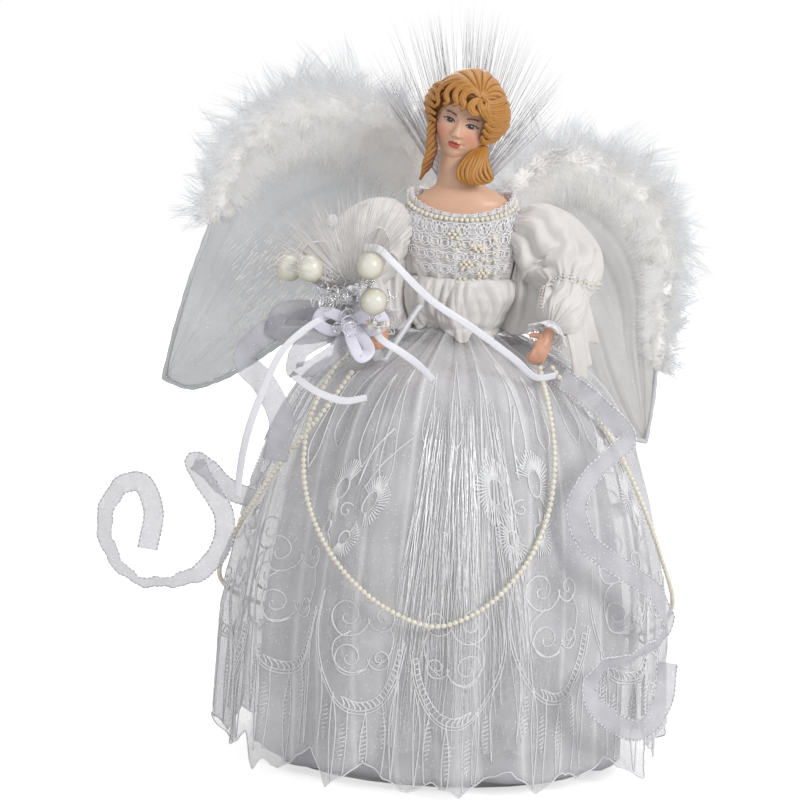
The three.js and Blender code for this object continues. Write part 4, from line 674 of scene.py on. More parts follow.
class Surface:
    """A material under making: a Principled shader with the helpers that its maps need."""

    def __init__(self, name, color, **sockets):
        self.material = bpy.data.materials.new(name)
        self.material.use_nodes = True
        self.tree = self.material.node_tree
        self.shader = self.tree.nodes["Principled BSDF"]
        self.link(color, "Base Color")
        for key, value in sockets.items():
            self.link(value, key.replace("_", " "))
        self.x = -400

    def link(self, value, socket):
        feed(self.tree, self.shader.inputs[socket], value)

    def coordinates(self, kind="Object"):
        return place(self.tree, "ShaderNodeTexCoord", -1200, 0).outputs[kind]

    def group(self, name, vector, **values):
        inputs = {"Vector": vector, **{key.title(): value for key, value in values.items()}}
        node = place(self.tree, "ShaderNodeGroup", self.x, -300, inputs, node_tree=bpy.data.node_groups[name])
        self.x -= 60
        return node

    def tone(self, low, high, scale, contrast):
        node = self.group("Soft Tone", self.coordinates(), low=low, high=high, scale=scale, contrast=contrast)
        self.link(node.outputs["Color"], "Base Color")
        return node

    def remap(self, value, low, high):
        """Numbers from 0 to 1 laid between two others."""
        return calc(self.tree, "MULTIPLY_ADD", -250, -500, value, high - low, low)

    def blend(self, factor, first, second):
        return mixed(self.tree, -200, 200, factor, first, second)

    def bump(self, height, strength, distance):
        """Relief, laid over the relief that the surface has already."""
        below = self.shader.inputs["Normal"].links
        node = place(self.tree, "ShaderNodeBump", -200, -300,
                     {"Height": height, "Strength": strength, "Distance": distance,
                      "Normal": below[0].from_socket if below else None})
        self.link(node.outputs[0], "Normal")

    def noise(self, scale):
        node = place(self.tree, "ShaderNodeTexNoise", -700, -500,
                     {"Vector": self.coordinates(), "Scale": scale, "Detail": 3})
        return node.outputs["Fac"]


def satin_material(name, low, high):
    s = Surface(name, high, Roughness=0.42, Sheen_Weight=0.25, Sheen_Roughness=0.4)
    tone = s.tone(low, high, 26, 1.4)
    s.link(s.remap(tone.outputs["Value"], 0.34, 0.5), "Roughness")
    weave = s.group("Thread Weave", s.coordinates("UV"), threads=2400.0)
    s.bump(weave.outputs["Height"], 0.25, 0.00012)
    s.bump(s.noise(260), 0.3, 0.0004)
    return s


def lining_material():
    """Satin under the organza. Painted light and shade: bright where it is gathered at the waist, grey
    towards the hem.
    """
    s = satin_material("lining satin", (0.58, 0.57, 0.61), (0.76, 0.75, 0.79))
    split = place(s.tree, "ShaderNodeSeparateXYZ", -1000, 300, {0: s.coordinates()})
    # Painted light and shade: from the grey tone low down to near white high up by the waist.
    rise = calc(s.tree, "MULTIPLY_ADD", -800, 300, split.outputs["Z"], 9.0, -1.2, clamp=True)
    tone = s.shader.inputs["Base Color"].links[0].from_socket
    s.link(s.blend(rise, tone, (0.9, 0.88, 0.87)), "Base Color")
    return s.material


def silver_lines(s, slant, area):
    """Mask of fine lines over a cloth.

    area is (x from, x to, z from, z to) in metres: the lines fade in along x, and out up z.
    """
    lie = place(s.tree, "ShaderNodeMapping", -1000, -700,
                {"Vector": s.coordinates("Object" if area else "UV"),
                 "Rotation": (-TURN / 4 if area else 0, 0, math.radians(slant)),
                 "Scale": (1, 0, 1) if area else (1, 1, 1)})
    lines = s.group("Fine Streaks", lie.outputs[0], across=1100.0, along=110.0, level=0.53).outputs["Mask"]
    if area:
        split = place(s.tree, "ShaderNodeSeparateXYZ", -1000, -900, {0: s.coordinates()})
        for axis, start, stop in (("X", *area[:2]), ("Z", *area[2:])):
            fade = place(s.tree, "ShaderNodeMapRange", -800, -900,
                         {"From Min": start, "From Max": stop, "Value": split.outputs[axis]})
            lines = calc(s.tree, "MULTIPLY", -600, -900, lines, fade.outputs[0])
    return lines


def sheer_material(name, low, high, alpha, flake=0.06, streak=0.0, slant=0.0, area=None, ridge=False):
    """Organza: its threads cover a share of it. It has glitter, and painted light on its folds or silver
    lines if asked.
    """
    s = Surface(name, high, Roughness=0.5, Sheen_Weight=0.2)
    tone = s.tone(low, high, 40, 1.8)
    flakes = s.group("Glitter Flakes", s.coordinates(), scale=1300.0, share=flake).outputs["Mask"]
    color = s.blend(flakes, tone.outputs["Color"], (0.98, 0.98, 0.99))
    cover = s.remap(tone.outputs["Value"], alpha - 0.07, alpha + 0.07)
    if ridge:
        # Painted highlight on the fold crests, painted shade between them; the crests also cover more, where
        # cloth doubles.
        fold = place(s.tree, "ShaderNodeAttribute", -900, 500, attribute_name="ridge").outputs["Fac"]
        deep = s.blend(0.35, color, s.blend(fold, low, high))
        lit = s.blend(fold, color, (0.97, 0.97, 0.98))
        color = s.blend(calc(s.tree, "MULTIPLY", -300, 500, fold, 0.8), deep, lit)
        cover = calc(s.tree, "MULTIPLY_ADD", -200, 500, fold, 0.3, cover)
    if streak:
        lines = silver_lines(s, slant, area)
        color = s.blend(lines, color, (0.98, 0.98, 0.97))
        cover = calc(s.tree, "MULTIPLY_ADD", -200, -600, lines, streak, cover)
    s.link(color, "Base Color")
    s.link(calc(s.tree, "MAXIMUM", -100, -600, cover, flakes), "Alpha")
    s.link(s.remap(flakes, 0.5, 0.15), "Roughness")
    weave = s.group("Thread Weave", s.coordinates("UV"), threads=1400.0)
    s.bump(weave.outputs["Height"], 0.3, 0.0002)
    return s.material


def plain_material(name, low, high, rough, scale=60, bump=0.2, **sockets):
    s = Surface(name, high, Roughness=rough, **sockets)
    tone = s.tone(low, high, scale, 1.3)
    s.link(s.remap(tone.outputs["Value"], rough - 0.06, rough + 0.08), "Roughness")
    s.bump(s.noise(scale * 8), bump, 0.0002)
    return s.material


def painted_material(name, scale, low, rough, bump, **sockets):
    """Colours laid on the mesh as an attribute, with a fine grain over them."""
    s = Surface(name, (0.8, 0.8, 0.8), Roughness=rough, **sockets)
    paint = place(s.tree, "ShaderNodeAttribute", -700, 200, attribute_name="paint")
    grain = s.group("Soft Tone", s.coordinates(), low=low, high=(1.0, 1.0, 1.0), scale=scale)
    s.link(mixed(s.tree, -200, 200, 1, paint.outputs["Color"], grain.outputs["Color"], "MULTIPLY"),
           "Base Color")
    s.bump(s.noise(scale * 3), bump, 0.0001)
    return s.material


def pearl_material(name, rim, high, rough):
    """Pearl coat with a clear gleam, and a painted shade that darkens it towards its rim as it turns edge-on.
    """
    s = Surface(name, high, Roughness=rough, Coat_Weight=0.8, Coat_Roughness=0.06)
    tone = s.group("Soft Tone", s.coordinates(), low=darker(high, 0.92), high=high, scale=60)
    # Painted shade: the colour darkens towards the rim, where the surface turns away from the view.
    facing = place(s.tree, "ShaderNodeLayerWeight", -700, 400, {"Blend": 0.45})
    s.link(s.blend(facing.outputs["Facing"], tone.outputs["Color"], rim), "Base Color")
    s.bump(s.noise(500), 0.05, 0.0001)
    return s.material


def darker(color, share):
    return tuple(channel * share for channel in color[:3])


M = {}


def make_materials():
    """Every finish of the part, by its name."""
    for build in (build_weave, build_tone, build_glitter, build_streaks):
        build()
    satin, organza = tuple(settings().satin_color), tuple(settings().organza_color)
    M.update({
        "satin": satin_material("satin", darker(satin, 0.85), satin).material,
        "lining": lining_material(),
        "ribbon_satin": satin_material("ribbon satin", (0.74, 0.74, 0.79), (0.88, 0.88, 0.92)).material,
        "knot_satin": satin_material("lilac satin", (0.66, 0.64, 0.76), (0.86, 0.85, 0.92)).material,
        "organza": sheer_material("organza", darker(organza, 0.7), organza, 0.3, 0.05, ridge=True),
        "organza_bow": sheer_material("bow organza", (0.42, 0.42, 0.46), (0.6, 0.6, 0.65), 0.52, 0.02),
        "tinsel_panel": sheer_material("tinsel panel", (0.8, 0.795, 0.82), (0.96, 0.955, 0.97), 0.55, 0.12,
                                       streak=0.35),
        "wing_left": sheer_material("wing cloth left", (0.54, 0.55, 0.56), (0.7, 0.71, 0.73), 0.66, 0.01,
                                    streak=0.4, slant=40, area=(-0.132, -0.118, 0.284, 0.262)),
        "wing_right": sheer_material("wing cloth right", (0.52, 0.51, 0.5), (0.68, 0.67, 0.66), 0.74, 0.01),
        "hem_cloth": plain_material("folded wing cloth", (0.54, 0.55, 0.56), (0.7, 0.71, 0.73), 0.6, 120, 0.4,
                                    Sheen_Weight=0.2),
        "petal": sheer_material("petal organza", (0.36, 0.315, 0.295), (0.62, 0.56, 0.53), 0.62, 0.02),
        "wired": sheer_material("wired ribbon organza", (0.46, 0.46, 0.5), (0.76, 0.76, 0.8), 0.52, 0.05),
        "thread": plain_material("embroidery thread", (0.86, 0.86, 0.88), (0.97, 0.97, 0.98), 0.55, 300, 0.3,
                                 Sheen_Weight=0.3),
        "lace": plain_material("lace cord", (0.84, 0.82, 0.85), (0.95, 0.94, 0.96), 0.6, 300, 0.3,
                               Sheen_Weight=0.2),
        "tinsel": plain_material("silver tinsel", (0.8, 0.8, 0.82), (0.96, 0.96, 0.97), 0.25, 500, 0.2,
                                 Metallic=0.5),
        "silver_wire": plain_material("silver wire", (0.34, 0.34, 0.36), (0.7, 0.7, 0.72), 0.28, 700, 0.2,
                                      Metallic=0.9),
        "foil": plain_material("silver foil", (0.55, 0.55, 0.58), (0.92, 0.92, 0.94), 0.2, 400, 0.6,
                               Metallic=0.95),
        # The first colour of the pearl coat is its painted shade at the rim.
        "pearl": pearl_material("pearl coat", (0.36, 0.31, 0.17), (0.84, 0.82, 0.73), 0.24),
        "strung_pearl": plain_material("strung pearl", (0.74, 0.69, 0.55), (0.88, 0.84, 0.74), 0.3, 200, 0.05,
                                       Coat_Weight=0.5, Coat_Roughness=0.1),
        "down": painted_material("marabou down", 60.0, (0.97, 0.97, 0.97), 0.85, 0.1, Sheen_Weight=0.5,
                                 Sheen_Roughness=0.5),
        "halo_fibre": plain_material("halo fibre", (0.26, 0.26, 0.29), (0.56, 0.56, 0.6), 0.3, 80, 0.05,
                                     Coat_Weight=0.3),
        "fibre": plain_material("bouquet fibre", (0.56, 0.53, 0.52), (0.86, 0.84, 0.84), 0.25, 80, 0.05,
                                Coat_Weight=0.4, Alpha=0.75),
        "hair": painted_material("painted hair", 420.0, (0.8, 0.78, 0.76), 0.42, 0.35, Coat_Weight=0.1,
                                 Coat_Roughness=0.3),
        "hand": plain_material("painted hand", (0.6, 0.3, 0.19), (0.72, 0.41, 0.29), 0.45, 120, 0.08,
                               Subsurface_Weight=0.1, Subsurface_Scale=0.003),
        "card": plain_material("card", (0.74, 0.72, 0.68), (0.86, 0.84, 0.8), 0.85, 90, 0.4),
        "plastic": plain_material("moulded plastic", (0.84, 0.83, 0.82), (0.93, 0.92, 0.91), 0.45, 200, 0.15),
        "steel": plain_material("drawn steel", (0.5, 0.5, 0.52), (0.68, 0.68, 0.7), 0.3, 400, 0.15,
                                Metallic=1.0),
        "film": plain_material("wheel film", (0.5, 0.62, 0.8), (0.8, 0.7, 0.78), 0.2, 60, 0.05, Alpha=0.75),
        "bulb": plain_material("bulb glass", (0.85, 0.85, 0.82), (0.95, 0.95, 0.92), 0.1, 60, 0.02,
                               Alpha=0.4),
        "bundle": plain_material("fibre bundle", (0.62, 0.63, 0.66), (0.8, 0.8, 0.84), 0.3, 500, 0.4),
        "clear": plain_material("clear bead", (0.86, 0.87, 0.9), (0.95, 0.95, 0.97), 0.06, 60, 0.02,
                                Alpha=0.45, Coat_Weight=1.0),
        "skin": painted_material("painted bisque", 300.0, (0.94, 0.93, 0.92), 0.42, 0.08,
                                 Subsurface_Weight=0.08, Subsurface_Scale=0.003, Coat_Weight=0.08,
                                 Coat_Roughness=0.25),
    })


CAD_FINISH = {
    "card": ("cone_body", "torso_form", "arm_left", "arm_right"),
    "plastic": ("base_ring", "tree_tube", "lamp_housing", "lamp_cover", "lamp_holder", "wheel_motor",
                "fibre_ferrule", "halo_ferrule", "wing_bracket"),
    "film": ("colour_wheel",),
    "bulb": ("bulb",),
    "bundle": ("halo_bundle", "bouquet_bundle"),
    "steel": ("motor_shaft", "cover_screw_1", "cover_screw_2"),
    "foil": ("bouquet_stem",),
}


def finish_cad_nodes():
    for finish, names in CAD_FINISH.items():
        for name in names:
            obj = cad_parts[name]
            obj.data.materials.clear()
            obj.data.materials.append(M[finish])


# Camera, floor and light
CAMERA = {"rise": 7.5, "roll": 2.45, "lens": 208.3, "distance": 2500, "aim": (-28.6, 4.6), "height": 190.0}
FLOOR_SIZE = 60000
FLOOR_GLOW = 0.66
LAMPS = {
    "key": ((1.5, -1.6, 1.3), 0.8, 30),
    "fill": ((-1.6, -1.5, 0.7), 1.2, 6),
    "top": ((0.1, 0.5, 2.0), 1.2, 10),
    "back": ((-0.5, 2.1, 0.9), 1.2, 15),
}


def make_camera():
    """The photograph's angle: a little from above, with the camera rolled slightly."""
    rise, roll = math.radians(CAMERA["rise"]), math.radians(CAMERA["roll"])
    across = np.array([1.0, 0, 0])
    up = np.array([0, math.sin(rise), math.cos(rise)])
    ahead = np.array([0, math.cos(rise), -math.sin(rise)])
    right = math.cos(roll) * across + math.sin(roll) * up
    above = -math.sin(roll) * across + math.cos(roll) * up
    aim = np.array([0, 0, CAMERA["height"]]) + CAMERA["aim"][0] * right + CAMERA["aim"][1] * above
    data = bpy.data.cameras.new("photo_camera")
    data.lens = CAMERA["lens"]
    data.sensor_width = 36
    data.clip_end = 100
    camera = bpy.data.objects.new("photo_camera", data)
    bpy.context.scene.collection.objects.link(camera)
    turn = Matrix((right, above, -ahead)).transposed().to_4x4()
    camera.matrix_world = Matrix.Translation((aim - CAMERA["distance"] * ahead) * MM) @ turn
    bpy.context.scene.camera = camera


def area_lamp(name, location, size, power):
    """Square soft lamp that shines on the middle of the figure."""
    data = bpy.data.lights.new(name, "AREA")
    data.shape = "SQUARE"
    data.size = size
    data.energy = power
    lamp = bpy.data.objects.new(name, data)
    lamp.location = location
    lamp.rotation_euler = (Vector((0, 0, 0.2)) - Vector(location)).to_track_quat("-Z", "Y").to_euler()
    bpy.context.scene.collection.objects.link(lamp)


def straight_rays(tree, x, y):
    """The kinds of light path, and a mask of what the camera sees directly or through a clear piece."""
    rays = place(tree, "ShaderNodeLightPath", x, y).outputs
    return rays, calc(tree, "MAXIMUM", x + 200, y, rays["Is Camera Ray"], rays["Is Transmission Ray"])


def make_floor():
    """White floor that keeps a soft shadow."""
    half = FLOOR_SIZE / 2
    corners = [(-half, -half, -0.4), (half, -half, -0.4), (half, half, -0.4), (-half, half, -0.4)]
    floor = mesh_object("studio_floor", corners, [np.array([[0, 1, 2, 3]])])
    surface = bpy.data.materials.new("studio floor")
    surface.use_nodes = True
    tree = surface.node_tree
    tree.nodes.remove(tree.nodes["Principled BSDF"])
    matt = place(tree, "ShaderNodeBsdfDiffuse", -400, 0, {"Color": (0.85, 0.85, 0.85)})
    seen = straight_rays(tree, -900, -200)[1]
    glow = place(tree, "ShaderNodeEmission", -400, -200,
                 {"Strength": calc(tree, "MULTIPLY", -560, -200, seen, FLOOR_GLOW)})
    total = place(tree, "ShaderNodeAddShader", -150, 0, {0: matt.outputs[0], 1: glow.outputs[0]})
    feed(tree, tree.nodes["Material Output"].inputs["Surface"], total.outputs[0])
    floor.data.materials.append(surface)


def make_stage():
    """The floor, a white surround, and soft lamps."""
    make_floor()
    light = settings().light
    world = bpy.data.worlds.new("studio")
    bpy.context.scene.world = world
    world.use_nodes = True
    tree = world.node_tree
    back = tree.nodes["Background"].inputs
    rays, first = straight_rays(tree, -800, 0)
    seen = calc(tree, "MAXIMUM", -450, 0, first, rays["Is Glossy Ray"])
    feed(tree, back["Color"], (1, 1, 1))
    feed(tree, back["Strength"], calc(tree, "MULTIPLY_ADD", -250, 0, seen, 1 - light, light))
    for name, (location, size, power) in LAMPS.items():
        area_lamp(name, location, size, power)
    bpy.context.scene.view_settings.view_transform = "Standard"


# Strands, ribbons and garlands
def bead_string(route, radius, pitch):
    """Centre line and radii of a string of beads on a thread."""
    line = spline(route, 60)
    count = int(length_of(line) / pitch)
    steps = np.array([-0.96, -0.72, -0.3, 0.3, 0.72, 0.96])
    places = ((np.arange(count)[:, None] + 0.5) * pitch + steps[None] * radius).ravel()
    radii = np.tile(np.sqrt(1 - steps ** 2) * radius, count)
    along = run_of(line)
    return np.stack([np.interp(places, along, line[:, k]) for k in range(3)], axis=1), radii, line


def make_garland(name, route):
    path, radii, line = bead_string(route, 1.5, 3.12)
    obj = mesh_object("pearl_" + name, *tubes(path[None], radii[None], 8))
    finish_piece(obj, M["strung_pearl"], replaces=(name,))
    return obj


def ribbon_frames(rows, per_span):
    """Places of a ribbon: its middle line, the way across it and the way out of its face."""
    rows = np.asarray(rows, float)
    line = spline(rows[:, :3], per_span)
    spot = np.arange(len(line)) / per_span
    turns = np.radians(np.interp(spot, np.arange(len(rows)), rows[:, 3]))
    along = unit(np.gradient(line, axis=0))
    across = unit(np.stack([-along[:, 2], np.zeros(len(line)), along[:, 0]], axis=1))
    for i in range(1, len(across)):
        if across[i].dot(across[i - 1]) < 0:
            across[i:] *= -1
    across = across * np.cos(turns)[:, None] + np.array([0, 1, 0]) * np.sin(turns)[:, None]
    across = unit(across - (across * along).sum(1, keepdims=True) * along)
    return line, across, unit(np.cross(across, along))


def from_shares(rows):
    return [(x * HEM_RADIUS, y * HEM_RADIUS, z * WAIST, turn) for x, y, z, turn in rows]


def make_satin_cord(name, route, replaces=(), half=2.0, finish="ribbon_satin"):
    """Narrow satin ribbon as a flat cord with soft edges."""
    rows = [(*p, 0) for p in route]
    line, across, normal = ribbon_frames(rows, 16)
    a = full_turn(10)
    twist = 0.35 * np.sin(np.linspace(0, 5, len(line)))[:, None]
    wide = across * np.cos(twist) + normal * np.sin(twist)
    thin = normal * np.cos(twist) - across * np.sin(twist)
    ring = (np.sign(np.cos(a)) * np.abs(np.cos(a)) ** 0.7 * half)[None, :, None] * wide[:, None]
    ring = ring + (np.sin(a) * 0.3)[None, :, None] * thin[:, None]
    verts = (line[:, None] + ring).reshape(-1, 3)
    obj = mesh_object(name, verts, capped_faces(len(line), 10))
    face_out(obj)
    finish_piece(obj, M[finish], replaces=replaces)
    return obj


def make_cords():
    make_garland("garland_front", GARLAND_FRONT_ROUTE)
    make_garland("garland_back", GARLAND_BACK_ROUTE)
    make_satin_cord("narrow_ribbon_drape", DRAPE_ROUTE, ("satin_drape",))
    make_satin_cord("narrow_ribbon_tail", TAIL_ROUTE, ("satin_tail",))


def clear_of_gown(points, gap):
    """Points that would be inside the gown come out to its surface."""
    angle = np.arctan2(points[..., 0], -points[..., 1])
    reach = np.hypot(points[..., 0], points[..., 1])
    surface = np.linalg.norm(gown_point(points[..., 2], angle, gap)[..., :2], axis=-1)
    out = np.where((points[..., 2] < WAIST) & (reach < surface), surface / np.maximum(reach, 1e-6), 1)
    moved = points.copy()
    moved[..., :2] *= out[..., None]
    return moved


def ribbon_grid(rows, width, columns, ruffle, per_span=14):
    line, across, normal = ribbon_frames(rows, per_span)
    s = np.linspace(-1, 1, columns)
    along = np.arange(len(line)) * 0.55
    wave = ruffle * np.sin(along)[:, None] * (0.3 + 0.7 * np.abs(s)[None])
    wave = wave + 0.4 * ruffle * np.sin(2.3 * along + 1)[:, None] * s[None]
    spread = across[:, None] * (s * width / 2)[None, :, None]
    return line[:, None] + spread + normal[:, None] * wave[..., None]


def make_wired_ribbon(name, rows):
    """Sheer ribbon with a silver wire sewn along each edge."""
    grid = clear_of_gown(ribbon_grid(from_shares(rows), 10.4, 9, 0.8), 0.9)
    obj = cloth("sheer_" + name, grid, 0.35)
    finish_piece(obj, M["wired"], replaces=(name,))
    edges = [grid[:, k] for k in (0, -1)]
    wires = mesh_object(name + "_wires", *threads(edges, 0.32, 5, 1.6))
    dashes = []
    for edge in edges:
        count = int(length_of(edge) / 2.6)
        line = even(edge, count * 4)
        dashes += [line[4 * k:4 * k + 3] for k in range(count)]
    silver = mesh_object(name + "_stitches", *threads(dashes, 0.46, 5, 0.8))
    finish_piece(wires, M["thread"])
    finish_piece(silver, M["silver_wire"])


def make_wired_ribbons():
    make_wired_ribbon("wired_ribbon_left", LEFT_RIBBON)
    make_wired_ribbon("wired_ribbon_right", RIGHT_RIBBON)


def make_bow():
    """Loops and ends of sheer grey ribbon below the bouquet."""
    grid = clear_of_gown(ribbon_grid(from_shares(BOW_RIBBON), 13, 9, 1.0), 0.8)
    cloth_piece("sheer_bow_tail", grid, 0.35, "organza_bow",
                replaces=("bow_ribbon",))
    loops = {
        "bow_loop_1": (((-56, -74, 243, 0), (-66, -80, 240, 0), (-82, -82, 236, 20), (-96, -80, 238, 40),
                        (-92, -76, 247, 30), (-76, -74, 248, 10), (-60, -74, 246, 0)), 11),
        "bow_loop_2": (((-54, -76, 241, 0), (-60, -84, 232, 10), (-72, -88, 222, 20), (-84, -88, 218, 30),
                        (-82, -84, 228, 20), (-70, -80, 236, 10), (-58, -76, 243, 0)), 10),
    }
    for name, (rows, width) in loops.items():
        grid = clear_of_gown(ribbon_grid(rows, width, 7, 0.5), 0.8)
        cloth_piece(name, grid, 0.3, "organza_bow")
    make_satin_cord("ribbon_end_1", ((-46, -77, 243), (-40, -84, 236), (-30, -84, 230), (-20, -82, 223),
                                    (-12, -80, 215)))
    make_satin_cord("ribbon_end_2", ((-86, -86, 216), (-72, -92, 208), (-58, -93, 204), (-46, -92, 206)))


# Gown: its columns round the body and rows, the parts of its embroidery and its hem, which is a table of
# height over the floor by degrees from the front.
GOWN_COLUMNS, GOWN_ROWS = 560, 60
LINING_COLUMNS, LINING_ROWS = 320, 50
TINSEL_LINES = 170
LOBES = 14
BOWS = 7
LEAVES = 34
HEM = ((-180, 3), (-171, 17), (-163, 4), (-151, 20), (-142, 2), (-131, 15), (-121, 5), (-110, 19),
       (-101, 3), (-91, 16), (-80, 4), (-71, 18), (-66, 9), (-60, 19), (-53, 2.5), (-50.5, 9), (-47, 3.5),
       (-41, 13), (-35, 20), (-29, 1.5), (-24, 9), (-20, 16), (-14, 8), (-8, 2), (-2, 8), (5, 1.5),
       (12, 10), (18, 14), (25, 3), (33, 12), (39, 8), (48, 18), (56, 8), (61, 3), (68, 12), (76, 17),
       (84, 4), (93, 18), (101, 6), (112, 19), (121, 3), (130, 16), (139, 5), (150, 20), (160, 4),
       (170, 18), (180, 3))


def hem_at(angle):
    turns = np.degrees((np.asarray(angle, float) + math.pi) % TURN - math.pi)
    ragged = 1.6 * np.abs(np.sin(37 * angle)) * np.abs(np.sin(11 * angle + 1))
    return np.interp(turns, *zip(*HEM)) + ragged


def fold_doubling_and_painted_light(z, angle):
    """Crests of the folds from 0 to 1, where the cloth doubles over: painted highlight there, painted shade
    between.
    """
    share = z / WAIST
    drift = 0.5 * np.sin(3 * share + 2 * angle)
    broad = ((0.5 + 0.5 * np.sin(19 * angle + drift + 0.6 * np.sin(5 * angle))) ** 6 *
             np.sin(2.5 * angle + 0.7) ** 2)
    slim = (0.5 + 0.5 * np.sin(31 * angle + 3 * drift + 1.3 + 0.5 * np.sin(7 * share))) ** 24
    veil = (0.5 + 0.5 * np.sin(13 * angle - 2.5 * share + 0.8 * np.sin(4 * angle + 3 * share))) ** 3
    return np.clip(0.26 * broad + 0.6 * slim + 0.35 * veil, 0, 1)


def make_gown():
    """Outer skirt of organza, the satin under it, and the tinsel panel between them."""
    angle = full_turn(GOWN_COLUMNS)[None]
    low = hem_at(angle)
    z = low + (WAIST - low) * np.linspace(0, 1, GOWN_ROWS)[:, None] ** 0.85
    angle = np.broadcast_to(angle, z.shape)
    grid = gown_point(z, angle)
    cloth_piece("gown_skirt", grid, 0.45, "organza",
                replaces=("overskirt",), wrapped=True,
                values={"ridge": fold_doubling_and_painted_light(grid[..., 2], angle).ravel()}, offset=-1)

    angle = full_turn(LINING_COLUMNS)
    fading = np.linspace(1, 0, LINING_ROWS)[:, None]
    z = np.linspace(5, WAIST - 8, LINING_ROWS)[:, None] + 1.2 * np.sin(9 * angle)[None] * fading
    near = 0.84 + 0.12 * smoothstep(z / WAIST, 0.8, 1)
    wide = np.broadcast_to(angle[None], z.shape)
    grid = skirt_point(z, wide, near, 0.5 * pleats(z, wide) - 1.0, False)
    cloth_piece("under_skirt", grid, 0.7, "lining",
                replaces=("underskirt",), wrapped=True, offset=-1)

    angle = np.radians(np.linspace(-33, 33, 150))
    top = WAIST * 0.84
    z = np.linspace(22, top, 60)[:, None] + 1.5 * np.sin(41 * angle)[None] * np.linspace(1, 0, 60)[:, None]
    near = 0.9 + 0.065 * smoothstep(z, top * 0.84, top)
    wide = np.broadcast_to(angle[None], z.shape)
    grid = skirt_point(z, wide, near, 1.0 * np.sin(31 * wide) - 0.8, False)
    cloth_piece("tinsel_panel", grid, 0.5, "tinsel_panel",
                replaces=("front_panel",), offset=-1)


def on_gown(angle, z, lift):
    return gown_point(np.asarray(z, float), np.asarray(angle, float), lift)


def make_tinsel_lines():
    """Fine silver threads that run down the front of the gown."""
    lines, bright = [], []
    for i in range(TINSEL_LINES):
        a0 = math.radians(-11 + 25 * hash01(i, 1)) + math.radians(2)
        spread = (a0 - math.radians(2)) * 0.8
        top, low = 205 - 70 * hash01(i, 2) ** 2, 26 + 95 * hash01(i, 3) ** 1.4
        z = np.linspace(top, low, 40)
        a = a0 + spread * (1 - z / 205) + 0.006 * np.sin(z * 0.11 + 6 * hash01(i, 4))
        (lines if i % 3 else bright).append(on_gown(a, z, 0.35))
    sewn_piece("tinsel_threads", lines, 0.2, "thread", step=3.0)
    sewn_piece("tinsel_threads_bright", bright, 0.18, "tinsel", step=3.0)


def spiral(u, v, size, turns, start, hand):
    t = np.linspace(0, 1, 60)
    r = size * (1 - t) ** 0.9 + 0.6
    a = start + hand * turns * TURN * t
    return np.stack([u + r * np.cos(a), v + r * np.sin(a)], axis=1)


def curve2(*points):
    p = np.array([(x, y, 0) for x, y in points], float)
    return spline(p, 14)[:, :2]


def scroll_pair(u, v, left, right):
    """Two curls that part from one point and roll in to both sides, as in a drawn wave."""
    return [spiral(u - left, v, left, 1.7, 0, -1), spiral(u + right, v, right, 1.5, math.pi, 1)]


def lobe(tall):
    """Rounded lobe of the border, flat: its outline, two pairs of curls and the veins that run to the hem."""
    outline = curve2((-23, 62), (-25.5, 40), (-20, 18), (-8, 3), (2, 0), (12, 4), (21, 19), (25, 38))
    inner = curve2((-8, 9), (2, 6), (10, 9.5), (17.5, 22), (21, 36))
    lines = [outline, outline * np.array([0.96, 1]) + np.array([0, 1.6]), inner]
    lines += scroll_pair(4, 64 * tall, 11.5, 7.5) + scroll_pair(5, 37 * tall, 10, 6.2)
    lines.append(curve2((15, 60 * tall), (18, 50 * tall), (15, 38 * tall), (9, 32 * tall)))
    lines.append(curve2((-5, 54 * tall), (-14, 46 * tall), (-13, 34 * tall), (-4, 27 * tall), (4, 30 * tall)))
    low = curve2((-6, 3.5), (3, 1.5), (12, 6), (20, 20), (23.5, 35))
    for a, b in zip(even(low, 19), even(inner, 19)):
        middle = (a + b) / 2 + np.array([1.1, -0.4])
        lines.append(curve2(tuple(a), tuple(middle), tuple(b)))
    for k in range(6):
        u = -21 + 8.6 * k
        top = 1.5 + 0.045 * (u - 2) ** 2
        foot = top - 44 - 10 * (k % 2)
        sway = 1.6 * math.sin(2.1 * k)
        lines.append(curve2((u, top), (u + sway + 1.4, top - 18), (u + sway, foot)))
        if k % 2:
            lines.append(curve2((u, top), (u + sway - 2.2, top - 20), (u + sway, foot)))
    return lines


def wing_ribs(u, v, hole, rim, start, stop, count):
    """Satin stitch round an oval opening, from its edge to a scalloped rim."""
    lines = []
    for a in np.radians(np.linspace(start, stop, count)):
        reach = 1 + 0.07 * math.sin(5 * a)
        lines.append(np.array([(u + hole[0] * math.cos(a), v + hole[1] * math.sin(a)),
                               (u + rim[0] * reach * math.cos(a + 0.12),
                                v + rim[1] * reach * math.sin(a + 0.12))]))
    t = np.linspace(0, TURN, 30)
    lines.append(np.stack([u + hole[0] * np.cos(t), v + hole[1] * np.sin(t)], axis=1))
    return lines


def butterfly(big):
    """Bow of satin stitch with four wings, flat, about its middle."""
    lines = (wing_ribs(-9, 8, (3.4, 6), (9.5, 15), 60, 290, 30) +
             wing_ribs(9, 10, (3, 6.5), (8.5, 14), -70, 150, 28))
    lines += (wing_ribs(-6, -13, (2.4, 4), (6.5, 11), 120, 330, 20) +
              wing_ribs(7, -12, (2.6, 4), (7, 11), -120, 70, 20))
    return [line * big for line in lines] + [spiral(0, 0, 4, 1.2, 1, 1), curve2((-2, 14), (-5, 30), (-3, 46)),
                                            curve2((2, 14), (4, 32), (10, 50))]


def vine(n):
    """Long narrow leaf that hangs from the waist."""
    width, long = 2.6 + 1.2 * hash01(n, 3), 36 + 26 * hash01(n, 4)
    top = 222 - 8 * hash01(n, 5)
    lean = 3 * (hash01(n, 6) - 0.5)
    return [curve2((0, top), (hand * width * 0.7 + lean * 0.4, top - long * 0.45),
                   (hand * width + lean, top - long * 0.8), (lean, top - long)) for hand in (-1, 1)]


